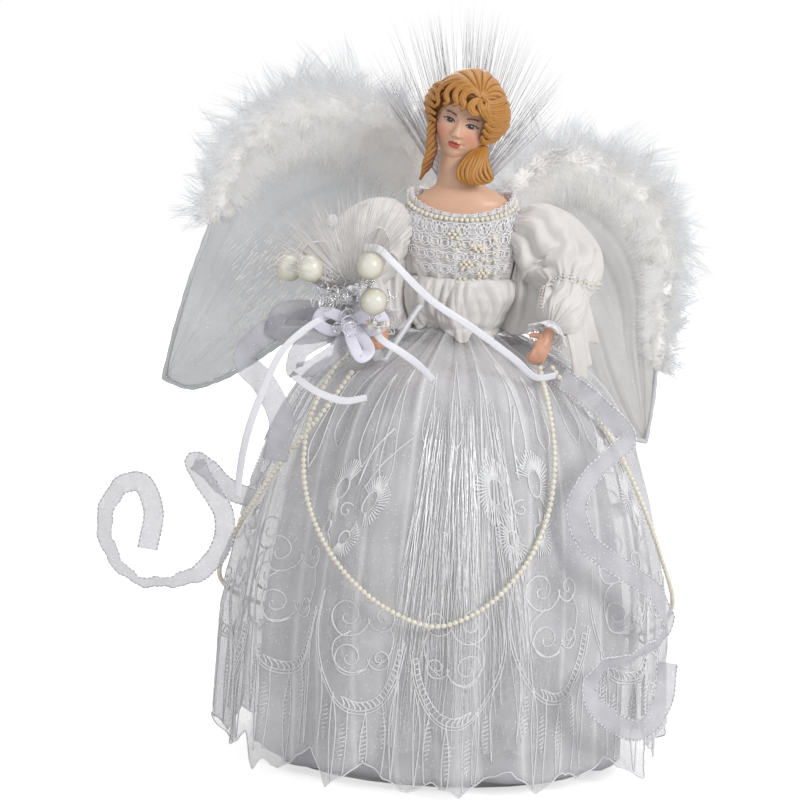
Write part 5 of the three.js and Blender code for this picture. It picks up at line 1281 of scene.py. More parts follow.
def sewn(line, middle, lift, hem_gap=1.5):
    """A flat line of the embroidery laid on the gown about an angle."""
    line = np.asarray(line, float)
    line = even(line, max(2, int(length_of(line) / 1.2)))
    radius = HEM_RADIUS * value_at(SKIRT, line[:, 1] / WAIST)
    angle = middle + line[:, 0] / radius
    z = np.maximum(line[:, 1], hem_at(angle) + hem_gap)
    return on_gown(angle, z, lift)


def make_embroidery():
    """Lobes with curls above the hem, satin-stitch bows over them, and long leaves from the waist."""
    halves = [[], []]
    stitches = [[], []]
    for n in range(LOBES):
        middle = math.radians(-48 + 360 / LOBES * n)
        base = (56, 42, 38, 50)[n % 4]
        mirror = np.array([-1 if n % 3 == 2 else 1, 1])
        flat = lobe((1.0, 0.8, 0.86, 0.94)[n % 4])
        halves[n % 2] += [sewn(line * mirror + np.array([0, base]), middle, 0.3) for line in flat]
        for k in range(4):
            u = (-17 + 10.5 * k) * mirror[0]
            spots = base + 0.045 * u * u - 8 - 2.3 * np.arange(9)
            wide = 0.6 + 1.7 * np.sin(np.linspace(0.3, math.pi, 9))
            stitches[n % 2] += [sewn(np.array([(u - w, v - 0.8), (u + w, v + 0.8)]), middle, 0.32)
                                for v, w in zip(spots, wide)]
    for n in range(BOWS):
        middle = math.radians(-31 + 360 / BOWS * n)
        turn = math.radians((-24, 8, 18)[n % 3])
        spin = np.array([[math.cos(turn), math.sin(turn)], [-math.sin(turn), math.cos(turn)]])
        for line in butterfly(1 + 0.14 * (n % 2)):
            stitches[n % 2].append(sewn(line @ spin + np.array([0, 146 + 6 * (n % 2)]), middle, 0.35))
    for n in range(LEAVES):
        middle = TURN * (n + 0.4 * hash01(n, 2)) / LEAVES
        halves[n % 2] += [sewn(line, middle, 0.3) for line in vine(n)]
    for k in range(2):
        sewn_piece(f"skirt_embroidery_{k + 1}", halves[k], 0.42, "thread", step=1.5)
        sewn_piece(f"skirt_stitches_{k + 1}", stitches[k], 0.45, "thread", step=2.0)
    angle = np.linspace(0, TURN, 1400)
    edge = on_gown(angle, hem_at(angle) + 0.5, 0.1)
    sewn_piece("hem_binding", [edge], 0.35, "thread", 4, 0.9)


def make_waist():
    """Gathered band at the waist, with fine folds round it."""
    angle = full_turn(300)
    z = np.linspace(WAIST - 3, WAIST + 8.5, 14)[:, None]
    crease = 0.45 * np.sin(2.1 * z + 3 * np.sin(2 * angle[None])) + 0.35 * np.sin(61 * angle[None] + 0.6 * z)
    body = 1.5 * np.sin(np.linspace(0.25, math.pi - 0.1, 14))[:, None]
    grid = torso_point(z, np.broadcast_to(angle[None], (14, 300)), 0.0)
    grid = grid + way_out(angle) * (body + crease + 0.9)[..., None]
    cloth_piece("sash", grid, 0.5, "satin", replaces=("waist_sash",),
                wrapped=True)


def make_peplum():
    """Gathered satin that puffs out under the bodice and lies over the top of the skirt."""
    angle = full_turn(330)
    v = np.linspace(0, 1, 36)[:, None]
    drop = 1 + (0.11 * np.sin(3 * angle + 0.6) + 0.07 * np.sin(7 * angle + 2) +
                0.04 * np.sin(13 * angle))[None]
    z = 263 - 29 * v * drop
    wide = np.broadcast_to(angle[None], z.shape)
    lift = np.interp(v, (0, 0.12, 0.35, 0.55, 0.8, 1), (0.9, 3.6, 6.6, 6.8, 5.2, 0.4))
    drift = 1.4 * np.sin(3 * wide + 1) + 0.8 * np.sin(5 * wide + 4 * v)
    gather = (2.6 * np.abs(np.sin(11 * wide + drift + 1.6 * v)) ** 0.7
              + 1.3 * np.abs(np.sin(18.5 * wide - 2 * v + drift)) - 2.0) * np.sin(math.pi * v * 0.92 + 0.15)
    broad = 1.8 * np.sin(8 * wide + 3.5 * v + np.sin(3 * wide)) * np.sin(math.pi * v) ** 0.8
    upper = torso_point(z, wide, 2.2 * smoothstep(z, 244, WAIST))
    lower = gown_point(np.minimum(z, WAIST), wide, 0.4)
    above = smoothstep(z, WAIST - 8, WAIST + 9)[..., None]
    grid = lower * (1 - above) + upper * above
    grid = grid + way_out(wide) * (lift + gather + broad)[..., None]
    grid[..., 2] = z
    cloth_piece("satin_peplum", grid, 0.5, "satin", wrapped=True)


# Bodice, neckline and sleeves
def on_torso(z, angle, lift):
    base = torso_point(np.asarray(z, float), np.asarray(angle, float))
    return base + way_out(angle) * np.asarray(lift, float)[..., None]


def neck_height(angle):
    """Height of the neckline round the body: a scoop in front, higher on the shoulders and at the back."""
    return BODICE_TOP + 1.5 - 9.5 * np.maximum(np.cos(angle), 0) ** 1.2


def lowered(height, angle):
    """Height on the bodice after the scoop has drawn its upper rows down."""
    return height - (BODICE_TOP - neck_height(angle)) * smoothstep(height, 255, 300)


LACE_ROWS = ((296, 5.2, 15, 1.25), (288, 4.6, 15, 1.2), (279, 4.2, 13, 1.0), (270, 3.8, 11, 0.85),
             (261, 3.4, 9, 0.7), (252, 3.0, 7, 0.5))
PEARL_FLOWERS = ((-0.1, 294), (0.32, 285), (0.1, 274), (0.4, 268), (0.05, 262))


def make_bodice():
    """Satin bodice with drawn folds, lace loops over the chest and clusters of small pearls."""
    angle = full_turn(270)
    z = WAIST + 0.3 + (neck_height(angle)[None] - WAIST - 0.3) * np.linspace(0, 1, 54)[:, None]
    wide = np.broadcast_to(angle[None], (54, 270))
    share = (z - WAIST) / (BODICE_TOP - WAIST)
    drawn = 0.8 * np.sin(17 * wide + 5 * share) * np.sin(math.pi * share)
    drawn = drawn + 0.45 * np.sin(43 * wide - 3 * share) * (1 - share)
    grid = on_torso(z, wide, drawn - 0.1)
    cloth_piece("satin_bodice", grid, 0.8, "satin", replaces=("bodice",),
                wrapped=True, offset=-1)

    lines = []
    for row, (height, size, count, reach) in enumerate(LACE_ROWS):
        for k in range(count):
            a0 = reach * (2 * (k + 0.5 * (row % 2)) / (count - 1) - 1)
            t = np.linspace(0, TURN, 22)
            for scale in (1.0, 0.55):
                u = size * 0.8 * scale * np.sin(t) * (1 - 0.3 * np.cos(t))
                v = size * scale * np.cos(t)
                lines.append(on_torso(lowered(height - v * 0.8, a0 + u / 30), a0 + u / 30, 0.9))
    for k in range(26):
        a0 = -1.5 + 3.0 * k / 25
        t = np.linspace(0, math.pi, 12)
        spot = a0 + 0.06 * np.cos(t)
        lines.append(on_torso(neck_height(spot) - 3.2 - 2.6 * np.sin(t), spot, 0.9))
    sewn_piece("bodice_lace", lines, 0.32, "lace", 4, 1.1)

    centres, radii = [], []
    for k in range(46):
        a = -0.25 + 0.9 * hash01(k, 5)
        height = 250 + 42 * hash01(k, 6)
        centres.append(on_torso(lowered(height, a), a, 1.5))
        radii.append(0.75 + 0.5 * hash01(k, 7))
    for a0, height in PEARL_FLOWERS:
        for k in range(7):
            a = k * TURN / 6
            ring = 1 if k < 6 else 0
            spot = a0 + 2.3 * ring * math.cos(a) / 27
            centres.append(on_torso(lowered(height + 2.3 * ring * math.sin(a), spot), spot, 1.6))
            radii.append(1.1)
    pearl_piece("bodice_pearls", centres, radii, 10, 6)


def make_neckline():
    """Pearls sewn side by side round the neckline, and a lace edging that stands up on the shoulders."""
    t = np.linspace(0, TURN, 400)
    line = torso_point(neck_height(t) - 1.0, t, 0.9)
    count = int(length_of(line) / 2.75)
    pearl_piece("neckline_pearls", even(line, count + 1)[:-1], 1.32, 12, 7, replaces=("neck_pearls",))

    angle = full_turn(420)
    v = np.linspace(0, 1, 9)[:, None]
    high = 1.8 + 3.4 * np.sin(angle)[None] ** 2 * (0.7 + 0.3 * np.cos(angle)[None])
    wave = 0.55 * np.sin(38 * angle)[None] * (0.4 + v)
    wide = np.broadcast_to(angle[None], (9, 420))
    grid = on_torso(neck_height(wide) - 0.3, wide, 0.1 - 0.5 * v + wave)
    grid[..., 2] += v * high + 0.35 * np.abs(np.sin(38 * angle))[None] * v
    rounds = [np.concatenate([grid[k], grid[k, :1]]) for k in (0, 4, 8)]
    rounds += [grid[:, k] for k in range(0, 420, 3)]
    t = np.linspace(0, TURN, 14)
    for k in range(70):
        spot = (k + 0.5) * TURN / 70 + 0.032 * np.sin(t)
        rise = 0.62 + 0.3 * np.cos(t)
        lift = 1.8 + 3.4 * np.sin(spot) ** 2 * (0.7 + 0.3 * np.cos(spot))
        loop = on_torso(neck_height(spot) - 0.3, spot, 0.3)
        loop[:, 2] += rise * lift
        rounds.append(loop)
    sewn_piece("neckline_lace", rounds, 0.3, "lace", 4, 0.9)


SLEEVE_LINE = ((0, 0, 0), (14, -3, -6), (26, -8, -17), (30, -19, -29), (26.5, -32, -41), (22.2, -39, -48))
SLEEVE_FULL = ((0, 0.55), (0.1, 0.9), (0.3, 1.08), (0.46, 1.02), (0.58, 0.84), (0.66, 0.6), (0.74, 0.64),
               (0.86, 0.66), (0.95, 0.5), (1, 0.25))
SLEEVE_LENGTH = 74
SLEEVE_RADIUS = 20
CREASES = ((0.02, 100, 0.5, 128, 3.6, 2.6), (0.06, 62, 0.4, 84, 2.2, 2.4), (0.3, 40, 0.62, 74, 2.8, 2.6),
           (0.34, 150, 0.62, 112, 3.0, 2.4), (0.04, 20, 0.24, 30, 1.8, 2.4), (0.46, 8, 0.64, 36, 2.4, 2.2),
           (0.05, 160, 0.36, 176, 2.4, 2.6), (0.1, 215, 0.6, 200, 2.8, 2.8),
           (0.05, 262, 0.5, 280, 2.6, 2.8), (0.2, 325, 0.62, 340, 2.4, 2.6), (0.68, 60, 0.98, 84, 1.8, 1.6),
           (0.68, 116, 0.97, 104, 1.8, 1.6), (0.7, 15, 0.96, 30, 1.6, 1.6), (0.7, 160, 0.97, 170, 1.5, 1.6),
           (0.7, 230, 0.97, 240, 1.5, 1.6), (0.7, 300, 0.97, 310, 1.5, 1.6))


def sleeve_line(side, count):
    way = np.array([SIGN[side], 1, 1])
    route = np.array(SLEEVE_LINE, float)
    if side == "left":
        ends = np.array(ARMS["left"][-1]) * ARM_REACH * np.array([-1, 1, 1])
        route += (ends - route[-1]) * (np.arange(len(route))[:, None] / (len(route) - 1)) ** 1.5
    return smooth_line(shoulder(side) + route * way, count)


def drawn_creases(t, a):
    """Folds of the satin: each crease runs between two places of the sleeve, with a soft ridge beside it."""
    out = np.zeros(np.broadcast(t, a).shape)
    for t0, a0, t1, a1, depth, width in CREASES:
        turn = (np.degrees(a) - (a0 + a1) / 2 + 180) % 360 - 180 + (a0 + a1) / 2
        u, v = (t - t0) * SLEEVE_LENGTH, np.radians(turn - a0) * 17
        run = np.array([(t1 - t0) * SLEEVE_LENGTH, math.radians(a1 - a0) * 17])
        far = np.linalg.norm(run)
        along = (u * run[0] + v * run[1]) / far ** 2
        off = (v * run[0] - u * run[1]) / far + 1.2 * np.sin(3.1 * along * math.pi + a0)
        fade = smoothstep(along, -0.2, 0.25) * (1 - smoothstep(along, 0.75, 1.2))
        ridge = 0.7 * np.exp(-((off - 1.9 * width) / (1.5 * width)) ** 2)
        out += fade * depth * (ridge - np.exp(-(off / width) ** 2))
    return out


def sleeve_grid(side, rows=96, columns=170, grow=0.0):
    """Full sleeve: gathered at the shoulder, tied above the elbow, and drawn in at the wrist."""
    line = sleeve_line(side, rows)
    tangent = unit(np.gradient(line, axis=0))
    out = np.array([SIGN[side], 0, 0.3])
    first = unit(out - (tangent * out).sum(1, keepdims=True) * tangent)
    second = np.cross(tangent, first)
    t = np.linspace(0, 1, rows)[:, None]
    a = full_turn(columns)[None]
    radius = SLEEVE_RADIUS * value_at(SLEEVE_FULL, t)
    gather = np.exp(-(t / 0.1) ** 2) + np.exp(-((t - 0.66) / 0.07) ** 2) + np.exp(-((1 - t) / 0.1) ** 2)
    pleat = (0.75 * np.cos(23 * a + 2 * np.sin(3 * a)) + 0.4 * np.cos(37 * a)) * np.minimum(gather, 1)
    soft = (0.8 * np.sin(2 * a + 5 * t + 0.4) + 0.3 * np.sin(9 * a + 17 * t)) * np.sin(math.pi * t)
    ease = np.minimum(radius / 12, 1) * (1 - 0.8 * smoothstep(t, 0.93, 1))
    radius = radius + (drawn_creases(t, a if side == "right" else TURN - a) + soft) * ease + pleat + grow
    way = np.cos(a)[..., None] * first[:, None] + np.sin(a)[..., None] * second[:, None]
    return line[:, None] + radius[..., None] * way


def make_sleeves():
    for side in SIGN:
        grid = sleeve_grid(side)
        cloth_piece(f"satin_sleeve_{side}", grid, 0.6, "satin",
                    replaces=(f"sleeve_{side}",), wrapped=True, offset=-1)
        make_underarm(side)
        make_frill(side)
        make_cuff(side)


def make_underarm(side):
    """Satin that falls in folds between the sleeve and the waist."""
    t = np.linspace(0, 1, 50)
    body = torso_point(283 - 47 * t, np.full(50, SIGN[side] * 1.15), 0.9)
    share = 0.12 + 0.66 * t
    size = SLEEVE_RADIUS * value_at(SLEEVE_FULL, share)
    arm = at_shares(sleeve_line(side, 200), share)
    arm -= np.stack([SIGN[side] * 0.55 * size, 0 * t, 0.4 * size], axis=1)
    s = np.linspace(0, 1, 40)[None, :, None]
    grid = body[:, None] * (1 - s) + arm[:, None] * s
    wide, down = s[..., 0], t[:, None]
    slack = np.sin(math.pi * wide)
    grid[..., 2] -= 7 * slack * down
    grid[..., 1] -= slack * (4 * down + 1.8 * np.sin(TURN * (2.2 * wide + 0.8 * down)) * (0.3 + down))
    cloth_piece(f"underarm_fold_{side}", grid, 0.5, "satin")


FLOUNCE_DROP = {"left": 24, "right": 31}


def make_frill(side):
    """Soft flounce that hangs out of the sleeve below the forearm."""
    sign = SIGN[side]
    rows, columns = 34, 110
    share = np.linspace(0.6, 0.97, columns)
    size = SLEEVE_RADIUS * value_at(SLEEVE_FULL, share)
    root = at_shares(sleeve_line(side, 200), share)
    root += np.stack([sign * size * 0.72, 0.1 * size, -size * 0.3], axis=1)
    v = np.linspace(0, 1, rows)[:, None]
    u = np.linspace(0, 1, columns)[None]
    drop = FLOUNCE_DROP[side] * (0.75 + 0.25 * np.sin(math.pi * u))
    wave = (3.4 * v ** 0.8) * np.sin(TURN * 3.2 * u + 1.4 * v) + 1.1 * v * np.sin(TURN * 7.1 * u + 2)
    grid = np.broadcast_to(root[None], (rows, columns, 3)).copy()
    grid[..., 0] += sign * (wave + 3.0 * v)
    grid[..., 1] += 1.5 * np.sin(TURN * 2.2 * u) * v
    grid[..., 2] -= v * drop + 0.8 * np.abs(wave) * v
    grid = clear_of_gown(grid, 0.9)
    cloth_piece(f"flounce_{side}", grid, 0.5, "satin",
                replaces=(f"sleeve_frill_{side}",))


def make_cuff(side):
    """Flared lace cuff, open between its threads."""
    grip = palm(side)
    wrist, along = grip["wrist"], grip["along"]
    across = unit(np.cross([0, 0, 1], along))
    up = np.cross(along, across)
    t = np.linspace(0, 1, 9)
    a = np.linspace(0, TURN, 97)

    def ring(t, a, grow=0.0):
        radius = 5.2 + 5.6 * t ** 1.2 + (0.8 * t) * np.sin(9 * a) + grow
        around = np.cos(a)[..., None] * across + np.sin(a)[..., None] * up
        return wrist + along * (7.6 * t)[..., None] + radius[..., None] * around

    lines = [ring(np.full(97, s), a) for s in (0, 0.35, 0.7)]
    lines.append(ring(0.9 + 0.16 * np.abs(np.sin(9 * a)), a))
    lines += [ring(t, start + 0.18 * np.sin(9 * t)) for start in full_turn(36)]
    b = np.linspace(0, TURN, 10)
    lines += [ring(0.52 + 0.15 * np.sin(b), (k + 0.5) * TURN / 18 + 0.13 * np.cos(b), 0.2) for k in range(18)]
    sewn_piece(f"lace_cuff_{side}", lines, 0.3, "lace", 4, 1.0, replaces=(f"cuff_lace_{side}",))


def make_sleeve_trim():
    """Pearls between two rows of lace: round the tie of the right sleeve and down to its cuff."""
    grid = sleeve_grid("right", grow=0.8)
    rows, columns = grid.shape[:2]
    t = np.linspace(0, 1, 120)
    row = (0.6 + 0.08 * np.sin(math.pi * t) + 0.36 * smoothstep(t, 0.55, 1)) * (rows - 1)
    column = (-0.04 + 0.36 * smoothstep(t, 0, 0.75) + 0.03 * t) * columns
    line = even(np.stack([grid[int(r), int(c) % columns] for r, c in zip(row, column)]), 200)
    line = smooth_line(line[::9], 200)
    count = int(length_of(line) / 1.75)
    pearl_piece("sleeve_trim_pearls", even(line, count), 0.72, 8, 5)
    along = unit(np.gradient(line, axis=0))
    middle = sleeve_line("right", 60)
    near = middle[np.argmin(np.linalg.norm(line[:, None] - middle[None], axis=-1), axis=1)]
    side = unit(np.cross(along, unit(line - near)))
    t = np.linspace(0, 60, 200)[:, None]
    lines = [line + side * (1.7 + 0.8 * np.abs(np.sin(t))), line - side * (1.7 + 0.8 * np.abs(np.sin(t + 1)))]
    sewn_piece("sleeve_trim_lace", lines, 0.3, "lace", 4, 0.8)


# Hands: each finger's place across the palm and its length, in shares.
FINGERS = ((-0.72, 0.94), (-0.24, 1.06), (0.24, 1.02), (0.72, 0.84))
VOXEL = 0.00036


def make_hand(side):
    """Bisque hand with bent fingers, melted together from its parts and smoothed."""
    grip = palm(side)
    start, middle, reach, fold, across = (grip[key] for key in ("start", "middle", "reach", "fold", "across"))
    if side == "right":
        fold = unit(np.array([-0.3, 0.95, 0.1]) - np.dot([-0.3, 0.95, 0.1], reach) * reach)
        across = np.cross(reach, fold)
    turn = Matrix((fold, across, reach)).transposed().to_4x4()
    bpy.ops.mesh.primitive_uv_sphere_add(segments=32, ring_count=20, radius=1)
    pad = bpy.context.object
    pad.matrix_world = (Matrix.Translation(middle * MM) @ turn @
                        Matrix.Diagonal((2.9 * MM, 4.9 * MM, 6.3 * MM, 1)))
    only(pad)
    bpy.ops.object.transform_apply(location=True, rotation=True, scale=True)
    lines = [even(np.stack([start - grip["along"] * 3.5, start, middle]), 9)]
    radii = [np.linspace(3.1, 3.4, 9)]
    for k, (place_across, size) in enumerate(FINGERS):
        root = middle + across * place_across * 4.6 + reach * 3.0
        length = 8 * size
        bend = 0.62 + 0.08 * k
        steps = [root, root + reach * length * 0.42 + fold * length * 0.1,
                 root + reach * length * 0.66 + fold * length * bend * 0.6,
                 root + reach * length * 0.5 + fold * length * bend * 1.15]
        lines.append(smooth_line(steps, 9))
        radii.append(np.linspace(1.6, 1.2, 9))
    root = middle - reach * 5.0 - across * 1.5
    steps = [root, root + fold * 2.2 - across * 2.6, root + fold * 4 - across * 5.6 + reach * 1.2]
    lines.append(smooth_line(steps, 9))
    radii.append(np.linspace(1.9, 1.25, 9))
    digits = mesh_object("digits", *tubes(np.stack(lines), np.stack(radii), 12))
    tips = mesh_object("tips", *beads([line[-1] for line in lines[1:]], 1.2, 12, 8))
    bpy.ops.object.select_all(action="DESELECT")
    for obj in (digits, tips, pad):
        obj.select_set(True)
    bpy.context.view_layer.objects.active = pad
    bpy.ops.object.join()
    pad.name = f"bisque_hand_{side}"
    pad.data.name = pad.name
    apply_modifier(pad, "REMESH", mode="VOXEL", voxel_size=VOXEL)
    apply_modifier(pad, "SMOOTH", factor=0.5, iterations=5)
    for polygon in pad.data.polygons:
        polygon.use_smooth = True
    finish_piece(pad, M["hand"], replaces=(f"hand_{side}",))


def make_hands():
    for side in SIGN:
        make_hand(side)


# Head
FACE = (16.8, 17.4, 23.4)
HEAD_TURNS = (("X", 6), ("Z", -10), ("Y", 16))
NECK_HEIGHTS = (299.2, 303, 307, 311, 316, 322, 333)
NECK_WIDTHS = (25, 25, 20, 13.5, 10.8, 10.2, 9.8)
NECK_DEPTHS = (12, 12.6, 11.4, 9.9, 8.8, 8.6, 8.6)


def bump2(x, y, cx, cy, sx, sy):
    return np.exp(-0.5 * (((x - cx) / sx) ** 2 + ((y - cy) / sy) ** 2))


def in_ellipse(x, y, cx, cy, rx, ry, soft=0.12, turn=0.0):
    c, s = math.cos(turn), math.sin(turn)
    u, v = (x - cx) * c + (y - cy) * s, -(x - cx) * s + (y - cy) * c
    return 1 - smoothstep(np.hypot(u / rx, v / ry), 1 - soft, 1 + soft)


def head_place(points):
    """Head's own frame, with the face to -Y, to its place on the neck."""
    for axis, degrees in HEAD_TURNS:
        points = turned(points, axis, degrees)
    return points + np.array(HEAD_PLACE, float)


# Forms of the face over the plain head: place across and up, half sizes across and up, and how far it stands
# out. All lie at both sides of the middle.
FACE_FORMS = {
    "bridge of the nose": (0, -0.8, 1.45, 4.4, 1.5),
    "tip of the nose": (0, -5.3, 1.7, 1.7, 2.9),
    "nostrils": (1.9, -6.2, 0.9, 0.9, 1.1),
    "under the nose": (0, -7.9, 1.8, 0.6, -0.7),
    "sockets": (6.2, 0.4, 3.4, 2.0, -1.9),
    "lids": (6.4, -0.1, 2.6, 1.15, 1.35),
    "brows": (6.6, 3.8, 3.6, 1.0, 0.9),
    "cheeks": (8.2, -6.2, 3.6, 3.4, 0.9),
    "upper lip": (1.3, -10.4, 1.5, 0.75, 1.15),
    "lower lip": (0, -12.6, 2.3, 0.85, 1.35),
    "line of the mouth": (0, -11.45, 2.9, 0.3, -0.75),
    "corners of the mouth": (3.7, -11.3, 0.8, 0.8, -0.5),
    "over the chin": (0, -14.6, 2.6, 0.8, -0.6),
    "chin": (0, -18.0, 3.4, 2.1, 1.3),
}
# Soft paint: place and half sizes, colour and strength. Cheeks, chin and lids take blush.
# Beside and under the nose it is painted shade, and the nostrils are painted darker.
BLUSH_AND_PAINTED_SHADE = {
    "cheeks": ((8.0, -6.4, 3.1, 2.7), (0.72, 0.2, 0.14), 0.5),
    "chin": ((0, -18.2, 3.0, 1.6), (0.78, 0.38, 0.28), 0.3),
    "lids": ((6.5, 1.9, 3.0, 0.9), (0.55, 0.3, 0.22), 0.5),
    "sides of the nose": ((1.9, -0.5, 0.8, 2.5), (0.62, 0.36, 0.27), 0.35),
    "nostrils": ((1.3, -7.4, 0.5, 0.35), (0.4, 0.15, 0.1), 0.8),
    "under the nose": ((0, -8.0, 1.8, 0.4), (0.6, 0.32, 0.24), 0.4),
}


def face_shape(x, z, y):
    """How far the painted face stands out of the plain form at a point of its front."""
    forms = sum(out * bump2(np.abs(x), z, *form) for *form, out in FACE_FORMS.values())
    return forms * smoothstep(-y, 2, 9)


def arch(x, middle, half):
    """Height of a round arch over its middle, from 0 at its ends to 1."""
    return np.sqrt(np.clip(1 - ((x - middle) / half) ** 2, 0, 1))


def face_paint(x, z, y):
    """Colours of the bisque face as a painter lays them: blush, brows, eyes, lips; painted shade by the nose,
    painted glints.
    """
    front = smoothstep(-y, 1, 7)
    color = np.broadcast_to(np.array(settings().skin_color), x.shape + (3,)).copy()

    def lay(mask, tint, strength=1.0):
        mask = np.clip(mask * strength * front, 0, 1)[..., None]
        color[:] = color * (1 - mask) + np.array(tint) * mask

    ax = np.abs(x)
    for form, tint, strength in BLUSH_AND_PAINTED_SHADE.values():
        lay(bump2(ax, z, *form), tint, strength)
    eye = in_ellipse(ax, z, 6.5, -0.25, 2.9, 1.05, 0.14, 0.1)
    lay(eye, (0.42, 0.36, 0.34))
    lay(eye * in_ellipse(ax, z, 6.35, 0.1, 1.75, 1.6, 0.14), (0.02, 0.014, 0.012), 2.2)
    lay(eye * in_ellipse(ax, z, 6.35, -0.15, 0.6, 0.62, 0.2), (0.02, 0.015, 0.015))
    # Painted highlights: a white glint in each eye.
    lay(sum(in_ellipse(x, z, glint, 0.3, 0.25, 0.25, 0.3) for glint in (6.75, -5.95)), (0.95, 0.95, 0.95))
    rim = z - (-0.2 + 1.15 * arch(ax, 6.5, 3.25) + 0.1 * (ax - 6.5))
    lay(np.exp(-(rim / 0.52) ** 4) * (np.abs(ax - 6.8) < 3.8), (0.03, 0.015, 0.012))
    lower = z - (-0.2 - 1.2 * arch(ax, 6.5, 3.1))
    lay(np.exp(-(lower / 0.22) ** 2) * (np.abs(ax - 6.6) < 3.0), (0.3, 0.14, 0.1), 0.7)
    brow = z - (3.3 + 0.9 * np.sin(np.clip((ax - 2.6) / 7.4, 0, 1) * 2.6))
    lay(np.exp(-(brow / 0.62) ** 4) * smoothstep(ax, 2.4, 3.2) * (1 - smoothstep(ax, 8.4, 10.2)),
        (0.07, 0.015, 0.015), 0.95)
    lid = z - (1.9 + 0.75 * arch(ax, 6.6, 3.5))
    lay(np.exp(-(lid / 0.26) ** 2) * (np.abs(ax - 6.6) < 3.3), (0.3, 0.1, 0.1), 0.7)
    part = -11.35 - 0.03 * ax ** 2
    bow = part + 0.95 + 0.55 * np.exp(-((ax - 1.25) / 0.8) ** 2) - 0.085 * ax ** 2
    upper = smoothstep(z, part - 0.2, part) * (1 - smoothstep(z, bow, bow + 0.35))
    lay(upper * (1 - smoothstep(ax, 3.3, 3.8)), (0.36, 0.035, 0.03), 0.95)
    under = -13.9 + 0.15 * ax ** 2
    lower = smoothstep(z, under - 0.2, under + 0.2) * (1 - smoothstep(z, part - 0.15, part + 0.05))
    lay(lower * (1 - smoothstep(ax, 3.0, 3.5)), (0.52, 0.08, 0.06), 0.95)
    lay(np.exp(-((z - part) / 0.22) ** 2) * (1 - smoothstep(ax, 3.0, 3.6)), (0.25, 0.04, 0.03), 0.9)
    return color


def make_head():
    """Painted bisque head."""
    rows, columns = 210, 300
    v = np.linspace(0.01, math.pi - 0.01, rows)
    v = v + 0.3 * np.sin(2 * v)
    a = np.linspace(-math.pi, math.pi, columns, endpoint=False)
    a = a - 0.55 * np.sin(a)
    down, around = np.meshgrid(v, a, indexing="ij")
    ux, uy, uz = np.sin(down) * np.sin(around), -np.sin(down) * np.cos(around), np.cos(down)
    jaw = 1 - 0.17 * np.maximum(0, -uz) ** 1.6
    flat = 1 + 0.16 * np.minimum(0, uy)
    base = np.stack([ux * FACE[0] * jaw, uy * FACE[1] * flat, uz * FACE[2]], axis=-1)
    x, y, z = base[..., 0], base[..., 1], base[..., 2]
    out = unit(base * np.array([1.3, 1.0, 0.5]))
    shaped = base + out * face_shape(x * 1.03, z + 1.0, y)[..., None]
    paint = face_paint(x * 1.03, z + 1.0, y)
    ends = [[0, 0, FACE[2]], [0, 0, -FACE[2]]]
    verts = head_place(np.concatenate([shaped.reshape(-1, 3), ends]))
    colors = np.concatenate([paint.reshape(-1, 3), np.full((2, 3), 0.5)])
    k = np.arange(columns)
    last = (rows - 1) * columns
    caps = [np.stack([(k + 1) % columns, k, np.full(columns, rows * columns)], 1),
            np.stack([last + k, last + (k + 1) % columns, np.full(columns, rows * columns + 1)], 1)]
    obj = mesh_object("bisque_head", verts, [grid_faces(rows, columns, True), *caps], None, {"paint": colors})
    face_out(obj)
    finish_piece(obj, M["skin"], replaces=("doll_head",))


def make_neck():
    """Neck on its shoulder plate, which goes down into the bodice."""
    zs = np.linspace(288, 333, 60)[:, None]
    a = full_turn(96)[None]
    plate = np.interp(zs, NECK_HEIGHTS, NECK_WIDTHS)
    deep = np.interp(zs, NECK_HEIGHTS, NECK_DEPTHS)
    collar = 0.35 * np.exp(-((zs - 308.5) / 1.6) ** 2) * (np.sin(a) ** 2)
    lean = smoothstep(zs, 308, 333)
    cols = np.stack([plate * np.sin(a) - 3.2 * smoothstep(zs, 306, 319),
                     -deep * np.cos(a) - 1.0 * lean - collar, zs + 0 * a], axis=-1)
    under = torso_point(np.minimum(zs, BODICE_TOP), a + 0 * zs, -1.3)
    under[..., 2] = zs
    rise = smoothstep(zs, 299, 306)[..., None]
    cols = under * (1 - rise) + cols * rise
    shade = np.broadcast_to(np.array(settings().skin_color), (60 * 96, 3)).copy()
    # Painted shade: the neck and plate are painted darker towards the back.
    shade *= (0.86 + 0.14 * smoothstep(-cols[..., 1], -6, 8)).reshape(-1, 1)
    obj = mesh_object("neck_and_plate", cols, capped_faces(60, 96), None, {"paint": shade})
    face_out(obj)
    finish_piece(obj, M["skin"])


HAIR = (21.0, 20.0, 24.0)
HAIR_RISE = 3.5
CROWN = 1.566


def on_hair(around, up, lift=0.0):
    """Point over the hair's form, by turns from the face and by height, in the head's own frame."""
    around, up = np.asarray(around, float), np.asarray(up, float)
    nape = 1 + 0.28 * np.minimum(0, np.sin(up))
    full = 1 + 0.06 * np.exp(-((np.sin(up) + 0.1) / 0.5) ** 2) * np.abs(np.sin(around))
    unit_point = np.stack([np.cos(up) * np.sin(around) * nape * full, -np.cos(up) * np.cos(around) * nape,
                           np.sin(up)], axis=-1)
    size = np.array(HAIR) + np.asarray(lift, float)[..., None]
    return unit_point * size + np.array([0, 0, HAIR_RISE])


def hair_paint(share):
    """Colour of the hair from its deepest grooves, 0, to where the light meets it, 1."""
    light = np.array(settings().hair_color)
    return light * np.array([0.31, 0.19, 0.08]) * (1 - share) + light * share


